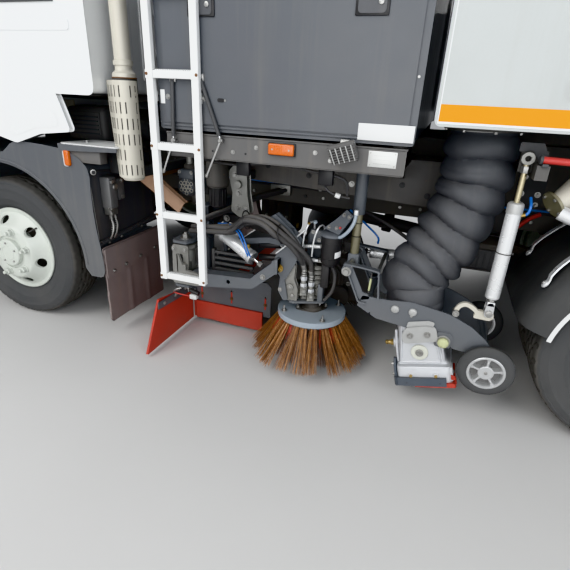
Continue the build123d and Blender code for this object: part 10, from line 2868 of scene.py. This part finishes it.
def rear_end():
    g = Group("rear_bumper_beam", "chassis")
    prof = rounded([(2.790, 0.430), (2.848, 0.430), (2.860, 0.450), (2.860, 0.540), (2.848, 0.560), (2.790, 0.560)], 0.008, 4)
    for s in (-1, 1):
        g.prism(prof, "xz", *sorted((s * 0.092, s * 1.098)), "chassis_paint", b=0.010, seg=3)
        g.box(2.862, 2.8655, *sorted((s * 0.15, s * 0.62)), 0.455, 0.535, "red_lens", b=0.001)
        for k in range(4):
            yc = s * (0.20 + 0.12 * k)
            g.prism([(yc - 0.020, 0.457), (yc + 0.020, 0.457), (yc + 0.050, 0.533), (yc + 0.010, 0.533)], "yz", 2.8652, 2.8662, "white_plate", b=0)
        for y0, y1 in ((0.370, 0.420),):
            g.box(2.740, 2.790, *sorted((s * y0, s * y1)), 0.430, 0.900, "chassis_paint", b=0.006)
            for z in (0.470, 0.520, 0.760, 0.840):
                g.bolt((2.765, s * y1, z), (0, s, 0), 0.009, "zinc")
        g.prism([(2.744, 0.560), (2.790, 0.560), (2.790, 0.640)], "xz", *sorted((s * 0.424, s * 0.430)), "chassis_paint", b=0.001)
        # lamp cluster in its carrier
        g.box(2.750, 2.846, *sorted((s * 0.640, s * 1.100)), 0.640, 0.780, "dark_plastic", b=0.010, seg=3)
        x = 2.846
        for y0, y1, m in ((0.985, 1.080, "bright_amber"), (0.880, 0.975, "red_lens"), (0.775, 0.870, "red_lens"), (0.715, 0.765, "clear_lens"), (0.655, 0.705, "clear_lens")):
            g.box(x, x + 0.022, *sorted((s * y0, s * y1)), 0.660, 0.760, m, b=0.006, seg=3)
        g.box(x, x + 0.008, *sorted((s * 0.645, s * 1.092)), 0.650, 0.770, "black_plastic", b=0.003)
        g.tube([(2.765, s * 0.66, 0.66), (2.75, s * 0.60, 0.70), (2.74, s * 0.50, 0.76), (2.73, s * 0.44, 0.80)], 0.009, "hose_line", seg=10)
    g.box(2.750, 2.790, -0.660, 0.660, 0.640, 0.700, "chassis_paint", b=0.006)
    g.prism(rounded([(-0.270, 0.580), (0.270, 0.580), (0.270, 0.700), (-0.270, 0.700)], 0.008), "yz", 2.7905, 2.7935, "white_plate", b=0.0008)
    for y in (-0.20, 0.20):
        g.bolt((2.7935, y, 0.64), (1, 0, 0), 0.005, "zinc", washer=False)
    g.prism(rounded([(2.795, -0.100), (2.875, -0.070), (2.875, 0.070), (2.795, 0.100)], [0.004, 0.03, 0.03, 0.004], 5), "xy", 0.470, 0.495, "chassis_paint", b=0, holes=[circle(2.835, 0.0, 0.0201, 32)])
    g.prism([(2.742, 0.440), (2.795, 0.440), (2.795, 0.560), (2.742, 0.520)], "xz", -0.090, -0.082, "chassis_paint", b=0.001)
    g.prism([(2.742, 0.440), (2.795, 0.440), (2.795, 0.560), (2.742, 0.520)], "xz", 0.082, 0.090, "chassis_paint", b=0.001)
    g.box(2.742, 2.796, -0.3705, 0.3705, 0.440, 0.452, "chassis_paint", b=0.002)
    g.done("rear_bumper", slot="chassis_black")


rear_end()


# ------------------------------------------------------------------ roller brush
def roller():
    a, b = V((0.112, -0.500, 0.235)), V((-0.260, 0.900, 0.235))
    L = (b - a).length
    d = (b - a).normalized()
    u, w, _ = basis(d)
    g = Group("roller_bristles", "roller")
    rnd = random.Random(21)
    g.lathe([(0.002, 0.0206), (0.002, 0.088), (0.006, 0.092), (L - 0.006, 0.092), (L - 0.002, 0.088), (L - 0.002, 0.0206)], a, d, "dark_plastic", seg=40)
    vs, fs = [], []
    rows, per = 10, 62
    for r in range(rows):
        for k in range(per):
            t = 0.012 + (L - 0.024) * (k + 0.5) / per
            th0 = 2 * pi * r / rows + 2.4 * t
            for j in range(4):
                th = th0 + rnd.uniform(-0.09, 0.09)
                tt = t + rnd.uniform(-0.010, 0.010)
                lean = rnd.uniform(-0.07, 0.07)
                e = u * cos(th) + w * sin(th)
                f = d.cross(e)
                p0 = a + d * tt + e * 0.086
                Rt = 0.1885 - rnd.uniform(0, 0.006)
                th1 = th - 0.10 + lean
                e1 = u * cos(th1) + w * sin(th1)
                p1 = a + d * min(max(tt + rnd.uniform(-0.012, 0.012), 0.003), L - 0.003) + e1 * Rt
                k0, wd = len(vs), 0.0026
                side = f * wd
                for p, q in ((p0, 1.0), (p1, 0.55)):
                    vs += [p + side * q, p - side * q * 0.5 + d * wd * q * 0.87, p - side * q * 0.5 - d * wd * q * 0.87]
                fs += [(k0, k0 + 1, k0 + 4, k0 + 3), (k0 + 1, k0 + 2, k0 + 5, k0 + 4), (k0 + 2, k0, k0 + 3, k0 + 5), (k0 + 3, k0 + 4, k0 + 5)]
    g.raw(vs, fs, "bristle_dark")
    g.done("roller_brush", slot="bristle")
    h = Group("roller_fittings", "roller_hood")
    for p, sg in ((a - d * 0.022, -1), (b + d * 0.022, 1)):
        n = d * sg
        h.lathe([(0.0, 0.0), (0.0, 0.062), (0.010, 0.066), (0.060, 0.066), (0.068, 0.058), (0.070, 0.0)], p, n, "chassis_paint", seg=36) if sg < 0 else h.lathe([(0.0, 0.0), (0.0, 0.050), (0.022, 0.046), (0.026, 0.0)], p, n, "chassis_paint", seg=32)
        for k in range(4):
            an = pi / 4 + pi / 2 * k
            h.bolt(p + (u * cos(an) + w * sin(an)) * 0.082, n, 0.008, "zinc", stud=0.004)
    for k in range(9):                                     # flanged joints and bolts on the hood's crown
        c = a + d * (0.08 + (L - 0.16) * k / 8)
        h.bolt(c + V((0, 0, 0.2118)), (0, 0, 1), 0.007, "zinc")
    for s in (-1, 1):
        x = 0.112 + (s * 0.420 + 0.500) * (b.x - a.x) / (b.y - a.y)
        y = s * 0.420
        for xx, zz in ((x - 0.010, 0.450), (x + 0.030, 0.452)):
            h.bolt((xx, y + s * 0.015, zz), (0, s, 0), 0.009, "zinc")
        h.prism(rounded([(x - 0.08, 0.470), (x + 0.05, 0.500), (x + 0.03, 0.540), (x - 0.02, 0.545)], 0.012), "xz", y - 0.004, y + 0.004, "chassis_paint", b=0.001, holes=[circle(x - 0.005, 0.523, 0.008, 20)])
    h.tube([a - d * 0.060 + V((0, 0, 0.055)), a - d * 0.075 + V((-0.02, 0, 0.16)), a + V((-0.16, -0.06, 0.24)), a + V((-0.34, 0.05, 0.30)), V((-0.60, -0.38, 0.575))], 0.0110, "hose_line", seg=12)
    h.tube([a - d * 0.050 + V((0.02, 0, 0.055)), a - d * 0.065 + V((0.0, 0, 0.17)), a + V((-0.14, -0.06, 0.26)), a + V((-0.34, 0.05, 0.32)), V((-0.60, -0.365, 0.585))], 0.0110, "hose_line", seg=12)
    # rubber curtain along the hood's rear edge
    n = 40
    vs, fs = [], []
    sd = V((0, 0, 1)).cross(d).normalized()
    sg = 1 if sd.x > 0 else -1
    for i in range(n + 1):
        c = a + d * (-0.015 + (L + 0.030) * i / n)
        for off, z in ((0.206, 0.300), (0.212, 0.300), (0.214 + 0.004 * sin(i * 0.9), 0.205), (0.208 + 0.004 * sin(i * 0.9), 0.205)):
            p = c + sd * (sg * off)
            vs.append(V((p.x, p.y, z)))
    for i in range(n):
        for k in range(4):
            k2 = (k + 1) % 4
            fs.append((i * 4 + k, i * 4 + k2, (i + 1) * 4 + k2, (i + 1) * 4 + k))
    fs += [(3, 2, 1, 0), tuple(n * 4 + k for k in range(4))]
    h.raw(vs, fs, "dark_rubber")
    h.done(slot="chassis_black")


roller()


# ------------------------------------------------------------------ whatever is still shown as plain shape gets its finish
PLAIN = {"cab_glass": "cab_glass_mat", "door_glass_left": "cab_glass_mat", "door_glass_right": "cab_glass_mat", "cab_shell": "cab_paint", "door_left": "cab_paint", "door_right": "cab_paint",
         "front_wings": "grey_plastic", "front_bumper": "dark_plastic", "seats": "seat_cloth", "dashboard": "trim_soft", "steering_wheel": "black_plastic", "mirrors": "black_plastic",
         "hopper": "hopper_paint", "hopper_gate": "hopper_paint", "ladder": "ladder_paint", "engine_housing": "housing_paint", "fan_engine": "engine_green", "engine_block": "engine_iron",
         "driveline": "motor_alloy", "front_axle": "engine_iron", "rear_axle": "engine_iron", "leaf_springs": "engine_iron", "left_knuckle": "engine_iron", "right_knuckle": "engine_iron",
         "fuel_tank": "alloy", "water_tank": "grey_plastic", "battery_box": "dark_plastic", "rear_mudguards": "guard_plastic", "mudflaps": "flap_rubber", "roller_brush": "bristle_dark",
         "suction_hose": "hose_rubber", "skirt_rubbers": "red_rubber", "skirt_plates": "bare_plate", "nozzle_arm": "gear_paint", "suction_nozzle": "cast_alloy", "side_broom": "bristle",
         "broom_arm": "gear_paint", "broom_swivel": "motor_alloy", "exhaust_stack": "shield_cream", "heat_shield": "shield_cream", "subframe": "frame_grey", "frame_rails": "frame_grey",
         "lift_rod": "chrome", "tip_rods": "chrome", "lift_cylinder": "silver_tube"}
for name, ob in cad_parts.items():
    pick = PLAIN.get(name, "tyre_rubber" if "tyre" in name else "wheel_paint" if "rim" in name else "chassis_paint")
    if not ob.material_slots:
        ob.data.materials.append(MATS[pick])
    for sl in ob.material_slots:
        sl.material = MATS[pick]
